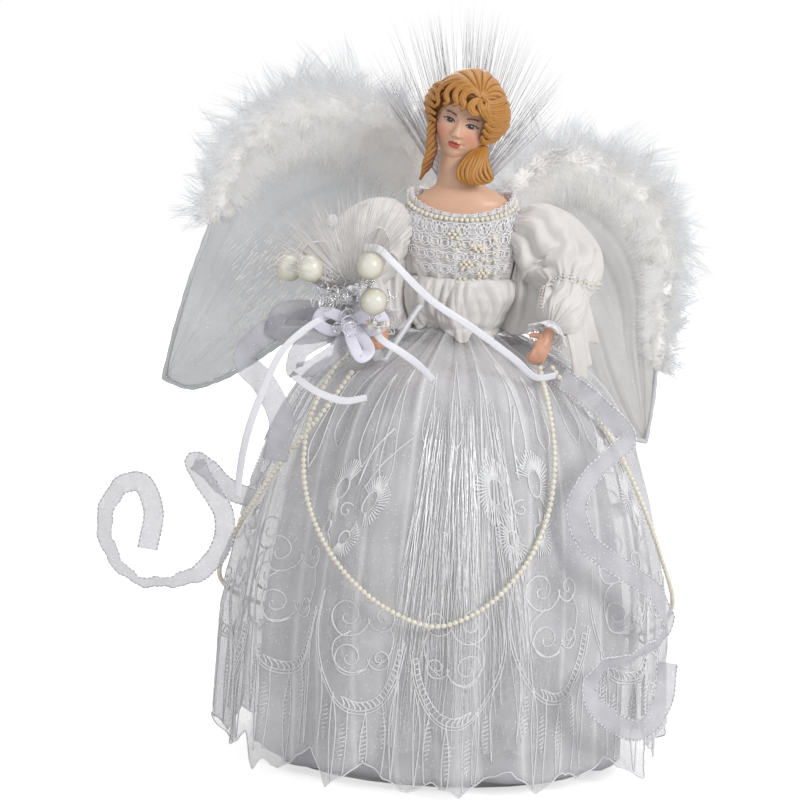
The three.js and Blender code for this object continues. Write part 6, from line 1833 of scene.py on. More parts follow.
def locks_object(name, lines, radii, sides, own_frame=True, heart=(0, 0, 2)):
    """Locks of moulded hair, painted light on top and dark in the grooves between them."""
    lines = np.stack(lines)
    verts, faces = tubes(lines, np.stack(radii), sides)
    centre = np.repeat(lines.reshape(-1, 3), sides, axis=0)
    high = (unit(verts - centre) * unit(centre - np.array(heart, float))).sum(1)
    streak = 0.88 + 0.12 * hash01(np.repeat(np.arange(len(lines)), len(verts) // len(lines)), 63)
    paint = hair_paint(smoothstep(high, -0.05, 0.92)[:, None]) * streak[:, None]
    obj = mesh_object(name, head_place(verts) if own_frame else verts, faces, None, {"paint": paint})
    finish_piece(obj, M["hair"])


PARTING = (0.37, 0.53)
FRINGE = (((0.36, 0.53), (0.1, 0.62), (-0.08, 0.48), (-0.1, 0.29), (0.01, 0.15), (-0.07, 0.05)),
          ((0.33, 0.54), (-0.08, 0.68), (-0.32, 0.5), (-0.32, 0.3), (-0.18, 0.16), (-0.29, 0.1)),
          ((0.3, 0.56), (-0.28, 0.72), (-0.57, 0.48), (-0.59, 0.25), (-0.44, 0.11), (-0.55, 0.03)),
          ((0.28, 0.58), (-0.49, 0.74), (-0.87, 0.45), (-0.9, 0.2), (-0.71, 0.01), (-0.81, -0.11)),
          ((0.38, 0.51), (0.23, 0.38), (0.17, 0.22), (0.28, 0.08), (0.44, 0.11)),
          ((0.41, 0.5), (0.39, 0.34), (0.5, 0.18), (0.61, 0.03)),
          ((0.42, 0.54), (0.59, 0.44), (0.59, 0.25), (0.72, 0.01), (0.73, -0.19)))
SIDE_WAVES = (((0.46, 0.55), (0.68, 0.45), (0.95, 0.51), (1.5, 0.66)),
              ((0.49, 0.41), (0.75, 0.32), (1.07, 0.37), (1.7, 0.5)),
              ((0.53, 0.27), (0.8, 0.18), (1.13, 0.23), (1.75, 0.34)),
              ((0.57, 0.13), (0.84, 0.04), (1.15, 0.09), (1.75, 0.19)),
              ((0.62, 0.0), (0.88, -0.11), (1.15, -0.06), (1.75, 0.04)),
              ((0.65, -0.15), (0.9, -0.26), (1.15, -0.22), (1.75, -0.11)),
              ((0.71, -0.3), (0.95, -0.44), (1.15, -0.39), (1.75, -0.27)),
              ((-0.8, 0.42), (-1.05, 0.46), (-1.4, 0.34), (-1.75, 0.36)),
              ((-0.86, 0.27), (-1.15, 0.3), (-1.42, 0.19), (-1.8, 0.22)),
              ((-0.83, 0.12), (-1.15, 0.15), (-1.42, 0.04), (-1.8, 0.08)),
              ((-0.78, -0.02), (-1.1, 0.01), (-1.4, -0.11), (-1.8, -0.06)),
              ((-0.76, -0.17), (-1.05, -0.14), (-1.38, -0.26), (-1.8, -0.2)),
              ((-0.78, -0.33), (-1.0, -0.29), (-1.35, -0.41), (-1.8, -0.35)))


def lock_strands(points, count, spread, lift):
    """Strands of one moulded lock, side by side over the hair's form, that meet at both ends."""
    line = smooth_line([(*p, 0.0) for p in points], 30)
    along = unit(np.gradient(line, axis=0))
    t = np.linspace(0, 1, 30)
    strands = []
    for side in np.linspace(-1, 1, count):
        off = side * spread * (0.3 + 0.7 * np.sin(math.pi * t))
        rise = lift + 1.0 * np.sin(math.pi * t) - 0.35 * abs(side)
        strands.append(on_hair(line[:, 0] - along[:, 1] * off, line[:, 1] + along[:, 0] * off, rise))
    return strands


def make_hair():
    """Moulded hair: a cap grooved back from the parting, a curled fringe and waves at the temples."""
    rows, columns = 130, 280
    around = np.linspace(0, TURN, columns, endpoint=False)[None]
    facing = np.cos(around)
    hairline = 0.62 * smoothstep(facing, 0.2, 0.75) + 0.55 * smoothstep(facing, 0.45, 0.95)
    low = -0.62 + hairline * 0.92
    share = np.linspace(0, 1, rows)[:, None]
    lifted = low + (CROWN - low) * share
    wide = around + 0 * lifted
    out = np.stack([np.cos(lifted) * np.sin(wide), -np.cos(lifted) * np.cos(wide), np.sin(lifted)], axis=-1)
    a, u = PARTING
    seam = np.array([math.cos(u) * math.sin(a), -math.cos(u) * math.cos(a), math.sin(u)])
    side = unit(np.cross(seam, [0, 0, 1]))
    way = (np.arctan2(out @ np.cross(side, seam), out @ side) + math.pi / 2) % TURN - math.pi
    far = np.arccos(np.clip(out @ seam, -1, 1))
    groove = np.abs(np.sin(12.5 * way / (1 + 0.4 * far) + 0.5 * np.sin(4 * far))) ** 0.75
    open_out = smoothstep(far, 0.02, 0.3)
    groove = (groove * open_out + 0.7 * (1 - open_out)) * np.sin(np.clip(far + 0.4, 0, 3.1)) ** 0.4
    lift = 1.3 * groove * (0.75 + 0.25 * np.sin(5 * way + 1)) - 0.6 - 1.2 * (1 - smoothstep(share, 0, 0.05))
    points = on_hair(wide, lifted, lift)
    side_on = np.abs((wide + math.pi) % TURN - math.pi)
    # Painted shade: the cap is darker low down at the front and sides, where the locks lie over it.
    painted_shade_under_waves = (1 - smoothstep(lifted, 0.42, 0.62)) * (1 - smoothstep(side_on, 1.6, 1.85))
    paint = hair_paint((smoothstep(groove, 0.05, 0.6) * (1 - 0.8 * painted_shade_under_waves)).reshape(-1, 1))
    obj = mesh_object("hair_cap", head_place(points.reshape(-1, 3)), capped_faces(rows, columns), None,
                      {"paint": paint})
    face_out(obj)
    finish_piece(obj, M["hair"])

    t = np.linspace(0, 1, 30)
    swell = 0.4 + 0.6 * np.sin(math.pi * np.clip(t, 0.08, 0.94)) ** 0.6
    raised = [[(a, u + 0.09 * min(1, k / 3)) for k, (a, u) in enumerate(points)] for points in FRINGE]
    lines = [line for points in raised for line in lock_strands(points, 3, 0.055, 0.3)]
    locks_object("fringe_locks", lines, [1.15 * swell] * len(lines), 10)
    lines = [line for points in SIDE_WAVES for line in lock_strands(points, 3, 0.052, 0.5)]
    locks_object("side_waves", lines, [1.02 * swell] * len(lines), 10)


RINGLET = ((-17.6, -7, 345), (-18.0, -9, 337), (-17.6, -10, 330), (-19.6, -11, 322.5), (-23.2, -12, 314))
RIGHT_LOCK = (
    ((8.6, -9, 333), (1.2, -13, 326.5), (-2.6, -15, 318.8), (-1.1, -15.5, 314.7), (4.1, -15, 312.4)),
    ((9.2, -9, 333), (4.2, -14.5, 325.9), (1.2, -17, 319), (2.5, -17.5, 314.9), (7.0, -16.5, 312.6)),
    ((10.0, -9, 333), (7.2, -15, 326), (4.9, -17.6, 319.1), (6.6, -18, 315), (10.8, -16.5, 313.2)),
    ((10.8, -9, 333), (9.7, -14.5, 325.3), (9, -17, 319.3), (11, -17.5, 315.6), (14.1, -15.5, 314.8)),
    ((11.4, -9, 333), (12, -13, 325.4), (13.4, -14.5, 319.5), (15, -15, 316.6), (13.6, -14, 313.8)),
)


def make_ringlets():
    """Long hair at both sides of the neck: a twisted ringlet and a broad wavy lock."""
    line = smooth_line(RINGLET, 90)
    _, normal, binormal = frames_of(line[None])
    t = np.linspace(0, 1, 90)
    lines = []
    for k in range(5):
        turn = TURN * (1.9 * t + k / 5)
        reach = 1.7 * (0.65 + 0.35 * np.sin(math.pi * t) + 0.14 * np.sin(TURN * 3 * t))
        reach = (reach * (1 - 0.6 * smoothstep(t, 0.7, 1)))[:, None]
        way = np.cos(turn)[:, None] * normal[0] + np.sin(turn)[:, None] * binormal[0]
        lines.append(line + reach * way)
    radii = 1.5 * (1 - 0.65 * smoothstep(t, 0.62, 1)) * (0.8 + 0.2 * np.sin(math.pi * t))
    locks_object("ringlet_left", lines, [radii] * 5, 9, False, (0, 0, 330))

    t = np.linspace(0, 1, 60)
    rows = np.stack([smooth_line(row, 60) for row in RIGHT_LOCK])
    lines, radii = [], []
    for k in range(9):
        s = k / 8 * (len(RIGHT_LOCK) - 1)
        low = min(int(s), len(RIGHT_LOCK) - 2)
        line = rows[low] * (1 - (s - low)) + rows[low + 1] * (s - low)
        line[:, 0] += 0.7 * np.sin(8 * t + 1.1 * k) * t
        lines.append(line)
        radii.append(1.5 * (0.8 + 0.2 * np.sin(math.pi * t)) * (1 - 0.6 * smoothstep(t, 0.75, 1)))
    locks_object("wavy_lock_right", lines, radii, 9, False, (8, 8, 320))


# Wings
WIRE_RADIUS = 0.9
PIN_RADIUS = 1.15
PIN = ((0, 0, -26.0), (0, 0, 0.9))


def make_wing_wire(name):
    """Round wire of the wing with its hinge pin, which stays upright where the wing droops."""
    edges = np.stack([smooth_line(edge, 90) for edge in wing_edges(name)])
    loop = tubes(edges, WIRE_RADIUS, 10)
    pin = tubes(even(np.array(PIN), 6)[None], PIN_RADIUS, 14)
    verts, faces = joined([loop, pin, beads([edges[0][-1]], 1.1, 10, 6)])
    verts = wing_place(verts, name)
    start = len(loop[0])
    verts[start:start + len(pin[0])] = swept(pin[0], name)
    obj = mesh_object(f"wing_wire_{name}", verts, faces)
    face_out(obj)
    finish_piece(obj, M["steel"], body=f"wing_{name}", replaces=(f"wing_frame_{name}",))


def make_wing_cloth(name):
    """Sheer cloth drawn over the wing's wire, with folds that fan out to the tip."""
    leading, trailing = wing_edges(name)
    columns, rows = 150, 74
    share = np.linspace(0.16, 0.985, columns)
    edges = [smooth_line(line, 400) for line in (leading, trailing)]
    high, low = (at_shares(edge, share) for edge in edges)
    gap = np.linalg.norm(high - low, axis=1)
    inset = 1.25 / np.maximum(gap, 4)
    s = np.linspace(0, 1, rows)[:, None]
    t = inset[None] + (1 - 2 * inset[None]) * s
    grid = high[None] + (low - high)[None] * t[..., None]
    c = (share[None] - 0.16) / 0.84
    swell = 2.4 * np.sin(math.pi * s) * np.sin(math.pi * np.clip(c, 0, 1)) ** 0.8
    wave = swell * np.sin(TURN * 2 * s + 4 * c)
    calm = np.sin(math.pi * s) * (1 - 0.7 * smoothstep(c, 0.6, 1))
    folds = (0.55 * np.sin(TURN * 7 * s + 2.5 * c) + 0.25 * np.sin(TURN * 15 * s - 3 * c)) * calm
    edge = 0.5 * np.sin(40 * c) * (np.exp(-(s / 0.05) ** 2) + np.exp(-((1 - s) / 0.05) ** 2))
    grid[..., 1] += wave + folds + edge
    placed = wing_place(grid.reshape(-1, 3), name).reshape(grid.shape)
    cloth_piece(f"wing_cloth_{name}", placed, 0.5, f"wing_{name}",
                body=f"wing_{name}", replaces=(f"wing_panel_{name}",))
    places = np.linspace(0.15, 1.0, 160)
    hems = np.stack([at_shares(edge, places) for edge in edges])
    radius = 1.35 + 0.12 * np.sin(np.arange(160) * 0.9) + 0.1 * np.sin(np.arange(160) * 0.37)
    verts, faces = tubes(hems, np.stack([radius, radius]), 10)
    obj = mesh_object(f"wing_hem_{name}", wing_place(verts, name), faces)
    finish_piece(obj, M["hem_cloth"], body=f"wing_{name}")


def boa_frame(name, count):
    """Line of the boa, with the ways along it and outwards from the wing, in the wing's own plane."""
    fine = smooth_line(wing_edges(name)[0], 600)
    line = at_shares(fine, np.linspace(BOA_START, WINGS[name]["boa_end"], count))
    along = unit(np.gradient(line, axis=0))
    return line, along, unit(np.stack([-along[:, 2], np.zeros(count), along[:, 0]], axis=1))


BOA_START = 0.07
BOA_RADIUS = 16
BOA_STEPS = 400
BARBS_IN_TUFT = 36
LOCKS, LOCK_BARBS = 410, 14
PLUMES, PLUME_BARBS = 215, 18
LONGEST_LOCK = {"left": 15, "right": 11.5}
PLUME_DROP = {"left": 1, "right": 0.62}
FRONT = np.array([0, -1.0, 0])
# Tints of the down. Warm and plain are its own colours, chosen at random tuft by tuft; the bluish grey tint
# is painted shade on the outer side, and the deep tint painted shade between the barbs at their roots.
BOA_TINTS = {"warm": (0.99, 0.965, 0.925), "plain": (0.99, 0.99, 0.99), "painted_outer_shade": (0.83, 0.855, 0.9),
             "deep": (0.86, 0.85, 0.83)}


def boa_size(s):
    """Fullness of the boa along it, thinner where it is tied on near the body."""
    full = 0.42 + 0.58 * np.sin(math.pi * np.clip(0.12 + 0.88 * s, 0, 1)) ** 0.55
    return BOA_RADIUS * full * (1 + 0.32 * np.exp(-(s / 0.14) ** 2))


def boa_color(root, around, t):
    """Painted shade bluish grey on the outer side and greyer at its tips, deeper at the roots; warm tufts in
    the middle at random.
    """
    tint = {key: np.array(value) for key, value in BOA_TINTS.items()}
    # Painted shade on the outer side of the boa.
    painted_outer_shade = smoothstep(np.cos(around), -0.1, 0.9)[:, None]
    warm = smoothstep(hash01(root, 61), 0.35, 0.9)[:, None] * (1 - painted_outer_shade)
    base = tint["plain"] * (1 - warm) + tint["warm"] * warm
    base = base * (1 - 0.75 * painted_outer_shade) + tint["painted_outer_shade"] * 0.75 * painted_outer_shade
    base = base * (0.93 + 0.07 * hash01(root, 62))[:, None]
    t = np.asarray(t)[None, :, None]
    # Painted shade between the barbs at their roots, and a greyer painted shade at the tips on the outer
    # side.
    deep = (1 - smoothstep(t, 0, 0.45)) * 0.6
    edge = 0.45 * smoothstep(t, 0.5, 1) * painted_outer_shade[:, None]
    color = base[:, None] * (1 - deep) + tint["deep"] * deep
    return color * (1 - edge) + np.array((0.58, 0.6, 0.66)) * edge


def lay_down(name, label, root, way, length, radius, bends, colors):
    """Barbs of down as one piece. Light passes through down, so a barb throws no shadow on the next."""
    verts, faces = needles(root, way, length, radius, bends, colors.shape[1] - 1)
    shades = np.concatenate([np.repeat(colors[:, :-1], 3, axis=1), colors[:, -1:]], axis=1)
    obj = mesh_object(f"{label}_{name}", wing_place(verts, name), faces, None,
                      {"paint": shades.reshape(-1, 3)})
    finish_piece(obj, M["down"], body=f"wing_{name}")
    obj.visible_shadow = obj.visible_diffuse = False


def spot_on(rows, spot):
    k = np.clip(spot, 0, 1) * (BOA_STEPS - 1)
    low = np.minimum(k.astype(int), BOA_STEPS - 2)
    part = (k - low)[:, None]
    return rows[low] * (1 - part) + rows[low + 1] * part


def make_boa(name):
    """Marabou boa: a soft core, short dense down, long curved locks outwards and plumes over the wing."""
    line, along, outward = boa_frame(name, BOA_STEPS)
    s = np.linspace(0, 1, BOA_STEPS)

    at = np.linspace(0, BOA_STEPS - 1, 60).astype(int)
    radius = boa_size(s[at]) * 0.48 * (1 + 0.12 * np.sin(31 * s[at]) + 0.1 * np.sin(47 * s[at] + 1))
    radius[0] = radius[-1] = 1.5
    verts, faces = tubes(line[at][None], radius[None], 20)
    shade = np.broadcast_to(np.array(BOA_TINTS["deep"]) * 1.15, verts.shape)
    core = mesh_object(f"boa_core_{name}", wing_place(verts, name), faces, None, {"paint": shade})
    face_out(core)
    finish_piece(core, M["down"], body=f"wing_{name}", replaces=(f"wing_boa_{name}",))

    def spray(number, salt):
        return np.stack([hash01(number, salt + k) for k in range(3)], axis=1) - 0.5

    def place_barbs(i, tuft, salt, wide):
        spot = hash01(tuft, salt) ** 1.2 + (hash01(i, salt + 1) - 0.5) * 0.02
        around = wide[0] + (wide[1] - wide[0]) * hash01(tuft, salt + 2) + (hash01(i, salt + 3) - 0.5) * 0.5
        radial = np.cos(around)[:, None] * spot_on(outward, spot) + np.sin(around)[:, None] * FRONT
        return np.clip(spot, 0, 1), around, radial, spot_on(along, spot)

    # Short, dense down all round.
    count = settings().barbs
    i = np.arange(count)
    tuft = (hash01(i, 21) * count / BARBS_IN_TUFT).astype(int)
    spot, around, radial, lead = place_barbs(i, tuft, 22, (0, TURN))
    size = boa_size(spot)
    sweep = (hash01(tuft, 26) - 0.42) * 1.2
    way = unit(radial + lead * sweep[:, None] + 0.5 * spray(i, 28))
    root = spot_on(line, spot) + radial * (size * (0.28 + 0.22 * hash01(i, 31)))[:, None]
    length = size * (0.46 + 0.4 * hash01(i, 33)) + 2.2 * hash01(tuft, 35)
    bends = (np.array([0, 0, -0.3]) + 0.8 * spray(tuft, 36) + 0.3 * spray(i, 44)) * length[:, None] * 0.5
    colors = boa_color(tuft, around, np.linspace(0, 1, 3))
    for n in range(2):
        part = slice(n * count // 2, (n + 1) * count // 2)
        lay_down(name, f"boa_down_{n + 1}", root[part], way[part], length[part], 0.17, bends[part],
                 colors[part])

    # Long locks: the barbs of a lock run side by side in one curve, and reach out unevenly.
    i = np.arange(LOCKS * LOCK_BARBS)
    lock = i // LOCK_BARBS
    spot, around, radial, lead = place_barbs(i, lock, 71, (-1.7, 1.7))
    size = boa_size(spot)
    curl = unit(spray(lock, 76) + lead * ((hash01(lock, 79) - 0.5) * 2.4)[:, None] + np.array([0, 0, 0.15]))
    seat = hash01(lock, 71) ** 1.2
    inner = 0.8 * (1 - smoothstep(seat, 0, 0.14))
    way = unit(radial + lead * ((hash01(lock, 75) - 0.42) * 1.7 - inner)[:, None] + 0.16 * spray(i, 80))
    root = spot_on(line, spot) + radial * (size * 0.4)[:, None] + 6.0 * spray(i, 83)
    reach = size * 0.7 + 4 + LONGEST_LOCK[name] * hash01(lock, 86) ** 2
    reach = reach * (0.55 + 0.45 * hash01(i, 87) ** 0.6)
    middle = spot_on(line, seat) + spot_on(outward, seat) * (size * 0.4)[:, None]
    tip = root + (middle - root) * 0.3 + way * reach[:, None]
    bends = curl * (reach * (0.35 + 0.35 * hash01(lock, 88)))[:, None]
    colors = boa_color(lock, around, np.linspace(0, 1, 5))
    lay_down(name, "boa_locks", root, tip - root, np.ones(len(i)), 0.16, bends, colors)

    # Thin plumes that hang from the inner side over the wing's cloth.
    i = np.arange(PLUMES * PLUME_BARBS)
    plume = i // PLUME_BARBS
    spot, around, radial, lead = place_barbs(i, plume, 91, (1.9, 3.3))
    spot = 0.04 + 0.9 * spot
    size = boa_size(spot)
    drop = np.interp(spot, (0, 0.15, 0.5, 0.8, 1), (16, 30, 34, 20, 8)) * PLUME_DROP[name]
    way = unit(-spot_on(outward, spot) + 0.35 * FRONT + lead * ((hash01(plume, 95) - 0.5) * 1.1)[:, None]
               + 0.3 * spray(i, 96))
    root = spot_on(line, spot) + radial * (size * 0.42)[:, None] + 4.0 * spray(i, 99)
    length = size * 0.5 + drop * (0.35 + 0.65 * hash01(i, 102)) * (0.6 + 0.4 * hash01(plume, 103))
    bends = (spray(plume, 104) * 0.5 + np.array([0, 0.12, -0.25])) * length[:, None] * 0.5
    colors = boa_color(plume, around, np.linspace(0, 1, 4))
    lay_down(name, "boa_plumes", root, way, length, 0.12, bends, colors)


def make_wings():
    for name in WINGS:
        if settings().show_wires:
            make_wing_wire(name)
        make_wing_cloth(name)
        make_boa(name)


# Halo and bouquet
HALO_FIBRES = 250
SPRAY_FIBRES = 520
BOUQUET_REACH = 36
HALO_LENGTHS = (0.78, 0.9, 0.94, 0.97, 1, 1, 0.97, 0.95, 0.88, 0.82, 0.72)


def make_halo():
    """Optic fibres that fan out behind the head in loose clumps."""
    i = np.arange(HALO_FIBRES)
    clump = (hash01(i, 41) * 46).astype(int)
    place_share = np.clip(hash01(clump, 42) + 0.05 * (hash01(i, 43) - 0.5), 0.0, 1)
    place_share[::3] = hash01(i[::3], 44)
    angle = math.radians(84) * (place_share - 0.48)
    ray = np.stack([np.sin(angle), 0 * angle, np.cos(angle)], axis=1)
    root = ray * 12 + np.array(HALO_PLACE, float)
    root[:, 0] += 9 * (hash01(i, 40) - 0.5)
    root[:, 1] += (hash01(i, 45) - 0.5) * 3.6
    reach = np.interp(place_share, np.linspace(0, 1, 11), HALO_LENGTHS)
    length = (settings().halo_length / MM * reach * (0.7 + 0.3 * hash01(i, 46) ** 0.5) *
              (0.93 + 0.07 * hash01(clump, 47)))
    side = np.stack([np.cos(angle), 0 * angle, -np.sin(angle)], axis=1)
    bend = side * ((hash01(i, 48) - 0.5) * 6 + (hash01(clump, 49) - 0.5) * 6)[:, None]
    bend[:, 1] += (hash01(i, 50) - 0.5) * 3
    verts, faces = needles(root, ray, length, 0.22, bend, 5, 0.85)
    obj = mesh_object("halo_spray", verts, faces)
    obj.visible_shadow = obj.visible_diffuse = False
    finish_piece(obj, M["halo_fibre"], replaces=("halo_fibres",))


SPRAY_AXIS = unit((-0.3, -0.1, 1))
PEARLS = ((-0.97, -0.14, 0.38), (-0.66, -0.47, 0.42), (0.2, -0.56, 0.5), (0.28, -0.64, 0))
PEARL_RIMS = (0.525, 0.621, 0.971, 0.875)
PETAL = ((0, 0.14), (0.25, 0.72), (0.6, 1), (0.85, 0.72), (1, 0.2))
PETALS = ((0.414, (-0.72, 0.02, 0.69), (30, 11)), (0.207, (0.2, 0, 0.98), (30, 7.5)))


def add_ball(name, seat, radius, squash=(1, 1, 1), segments=32, rings=20):
    """Round bead, or a pressed one, at its seat."""
    bpy.ops.mesh.primitive_uv_sphere_add(segments=segments, ring_count=rings, radius=radius * MM,
                                         scale=squash, location=np.array(seat, float) * MM)
    obj = bpy.context.object
    obj.name = obj.data.name = name
    only(obj)
    bpy.ops.object.transform_apply(location=True, rotation=True, scale=True)
    bpy.ops.object.shade_smooth()
    return obj


def make_spray():
    """Optic fibres of the bouquet, radiating from the top of its stem."""
    centre = BOUQUET + STEM_ALONG * 5.3
    i = np.arange(SPRAY_FIBRES)
    side = unit(np.cross([0, 1, 0], SPRAY_AXIS))
    up = np.cross(SPRAY_AXIS, side)
    tilt = np.arccos(1 - (i + 0.5) / SPRAY_FIBRES * (1 - math.cos(math.radians(60))))
    golden = math.pi * (3 - math.sqrt(5))
    clump = (i // 3) * golden * 3 + (hash01(i, 51) - 0.5) * 0.5
    direction = (SPRAY_AXIS * np.cos(tilt)[:, None] + side * (np.sin(tilt) * np.cos(clump))[:, None]
                 + up * (np.sin(tilt) * np.sin(clump))[:, None])
    root = centre + direction * 4.0
    length = 58 * (0.5 + 0.5 * hash01(i, 52) ** 0.7)
    bend = np.stack([hash01(i, 53), hash01(i, 54), hash01(i, 55)], axis=1) - 0.5
    verts, faces = needles(root, direction, length, 0.2, bend * 6, 4, 0.4)
    obj = mesh_object("bouquet_spray", verts, faces)
    obj.visible_shadow = obj.visible_diffuse = False
    finish_piece(obj, M["fibre"], replaces=("bouquet_fibres",))
    finish_piece(add_ball("spray_knot", centre, 5.0), M["foil"])


def make_petals():
    """Gathered loops of sheer cloth that stand up in the bouquet."""
    for n, (around, toward, (length, width)) in enumerate(PETALS):
        along = unit(toward)
        root = stem_rim(around, 0.3) + along * 2.5 - np.array([0, 5.0, 0])
        across = unit(np.cross(along, [0, 1, 0]))
        normal = np.cross(across, along)
        v = np.linspace(0, 1, 60)[:, None]
        s = np.linspace(-1, 1, 44)[None]
        half = width * value_at(PETAL, v)
        cup = 5 * s * s * np.sin(math.pi * v)
        crease = 0.5 * np.sin(9 * s + 2 * v) * np.sin(math.pi * v) + 0.35 * np.sin(21 * s) * (1 - v)
        grid = root + along * (length * v + 0 * s)[..., None] + across * (half * s)[..., None]
        grid = grid + normal * (cup + crease)[..., None]
        cloth_piece(f"petal_loop_{n + 1}", grid, 0.35, "petal",
                    replaces=(f"bouquet_petal_{n + 1}",))
        rim = np.concatenate([grid[:, 0], grid[-1], grid[::-1, -1]])
        sewn_piece(f"petal_edge_{n + 1}", [rim], 0.32, "thread", 4, 1.0)


def make_pearls():
    """Large pearls on their wires."""
    for n, share in enumerate(PEARLS):
        seat = BOUQUET + np.array(share) * BOUQUET_REACH
        obj = add_ball(f"large_pearl_{n + 1}", seat, settings().pearl_size / MM / 2, segments=48, rings=32)
        finish_piece(obj, M["pearl"], replaces=(f"pearl_pick_{n + 1}",))
        root = stem_rim(PEARL_RIMS[n], 0.8)
        wire = smooth_line([root, (root + seat) / 2 - STEM_ALONG * 2, seat], 16)
        obj = mesh_object(f"pearl_wire_{n + 1}", *tubes(wire[None], 0.5, 8))
        finish_piece(obj, M["silver_wire"])


def helix(root, along, size, length, turns, count=90):
    side = unit(np.cross([0, 0, 1], along))
    up = np.cross(along, side)
    t = np.linspace(0, 1, count)
    a = TURN * turns * t
    return (root + along * (length * t)[:, None] + side * (size * np.cos(a))[:, None]
            + up * (size * np.sin(a))[:, None])


# Curls of the tangle: seat, way, radius, length and turns.
TANGLE = (((-58, -74, 262), (-0.5, -0.5, 0.5), 3.2, 18, 3), ((-50, -80, 262), (0.2, -0.7, 0.5), 3.2, 15, 3),
          ((-62, -80, 257), (-0.8, -0.5, -0.1), 3.0, 18, 4), ((-50, -80, 250), (0.6, -0.7, -0.3), 3.0, 15, 4),
          ((-60, -76, 246), (-0.3, -0.8, -0.5), 2.4, 12, 3), ((-68, -80, 266), (-0.7, -0.4, 0.3), 3.0, 14, 3),
          ((-54, -84, 256), (-0.9, -0.2, 0.3), 3.4, 22, 4), ((-44, -84, 256), (0.8, -0.3, 0.4), 2.6, 12, 3))


def make_curls():
    """Curled silver wire with flakes of foil along it."""
    for around, toward, n in ((0.697, (-0.3, -1, 0.1), 1), (0.812, (0.15, -0.85, -0.55), 2)):
        along = unit(toward)
        side = unit(np.cross([0, 0, 1], along))
        root = stem_rim(around) + along * 0.8 - side * 3.2
        line = helix(root, along, 3.4, 22, 4, 130)
        parts = [tubes(line[None], 0.42, 7), flake_fringe(line, 1.7, n)]
        obj = mesh_object(f"tinsel_curl_{n}", *joined(parts))
        finish_piece(obj, M["foil"], replaces=(f"tinsel_coil_{n}",))
    parts = []
    for n, (root, toward, size, length, turns) in enumerate(TANGLE):
        line = helix(np.array(root, float), unit(toward), size, length, turns, 80)
        parts += [tubes(line[None], 0.36, 6), flake_fringe(line, 1.6, 10 + n), beads(line[::5], 0.75, 6, 4)]
    obj = mesh_object("tinsel_tangle", *joined(parts))
    finish_piece(obj, M["foil"])


def flake_fringe(line, size, salt):
    """Short pointed strips of foil that stand out all along a wire."""
    count = int(length_of(line) / 0.75)
    root = even(line, count)
    i = np.arange(count)
    way = unit(np.stack([hash01(i, salt + 0.1), hash01(i, salt + 0.2), hash01(i, salt + 0.3)], axis=1) - 0.5)
    return needles(root, way, size * (0.7 + 0.6 * hash01(i, salt)), 0.28, way * 0, 1)


KNOT_LOOPS = (((-57, -80, 243), (-50, -86, 248), (-43, -88, 250), (-39, -86, 245), (-46, -83, 240),
               (-56, -80, 241)),
              ((-57, -81, 243), (-64, -86, 248), (-71, -87, 249), (-73, -84, 243), (-66, -82, 239),
               (-57, -81, 241)),
              ((-57, -82, 242), (-55, -89, 235), (-50, -91, 227), (-46, -88, 230), (-51, -84, 238),
               (-57, -82, 243)))


def make_knot():
    """Lilac-white ribbon knot that ties the bouquet, with its loops, pearls and one clear bead."""
    for n, route in enumerate(KNOT_LOOPS):
        make_satin_cord(f"knot_loop_{n + 1}", route, (), 3.2, "knot_satin")
    finish_piece(add_ball("knot_core", (-57, -84, 242), 4.4, (1, 0.7, 0.85)), M["knot_satin"])
    drops = [(-46 + 2.2 * k, -88 + 0.3 * k, 243 + 1.9 * math.sin(2.2 * k)) for k in range(5)]
    pearl_piece("knot_pearls", drops, 1.5, 14, 9)
    finish_piece(add_ball("clear_bead", (-68, -72, 296), 3.1), M["clear"])
    stalk = smooth_line([(-58, -72, 262), (-64, -72, 280), (-68, -72, 294)], 20)
    finish_piece(mesh_object("bead_stalk", *tubes(stalk[None], 0.28, 6)), M["silver_wire"])


# Add-on
def color_setting(name, text, color):
    return bpy.props.FloatVectorProperty(name=name, description=text, default=color, min=0, max=1,
                                         subtype="COLOR")


def length_setting(name, text, length, least, most):
    return bpy.props.FloatProperty(name=name, description=text, default=length, min=least, max=most,
                                   unit="LENGTH", precision=4)


class TopperSettings(bpy.types.PropertyGroup):
    """What can be set before the pieces are made."""
    barbs: bpy.props.IntProperty(name="Barbs in a boa", description="Fine barbs of down in each wing's boa",
                                 default=15000, min=1000, max=80000)
    halo_length: length_setting("Halo length", "Length of the longest fibres of the halo", 0.103, 0.02, 0.2)
    pearl_size: length_setting("Large pearls", "Diameter of the large pearls", 0.0146, 0.004, 0.03)
    satin_color: color_setting("Satin", "Colour of the bodice and the sleeves", (0.785, 0.757, 0.742))
    organza_color: color_setting("Organza", "Colour of the sheer skirt", (0.9, 0.895, 0.92))
    hair_color: color_setting("Hair", "Colour of the hair where the light meets it", (0.58, 0.26, 0.047))
    skin_color: color_setting("Skin", "Colour of the face and the neck", (0.75, 0.46, 0.315))
    light: bpy.props.FloatProperty(name="Room light", description="Strength of the even light of the room",
                                   default=0.4, min=0.0, max=2.0, subtype="FACTOR")
    show_wires: bpy.props.BoolProperty(name="Wing wires", description="Make the wires of the wings",
                                       default=True)


class Step:
    """What the steps share: each makes its pieces in turn."""

    def execute(self, context):
        for make in self.makes:
            make()
        return {"FINISHED"}


class TOPPER_OT_stage(Step, bpy.types.Operator):
    """Make the camera, the floor and the lamps"""
    bl_idname = "topper.stage"
    bl_label = "Stage"
    makes = (make_camera, make_stage)


class TOPPER_OT_finishes(Step, bpy.types.Operator):
    """Make the materials and lay them on the solids that show"""
    bl_idname = "topper.finishes"
    bl_label = "Finishes"
    makes = (make_materials, finish_cad_nodes)


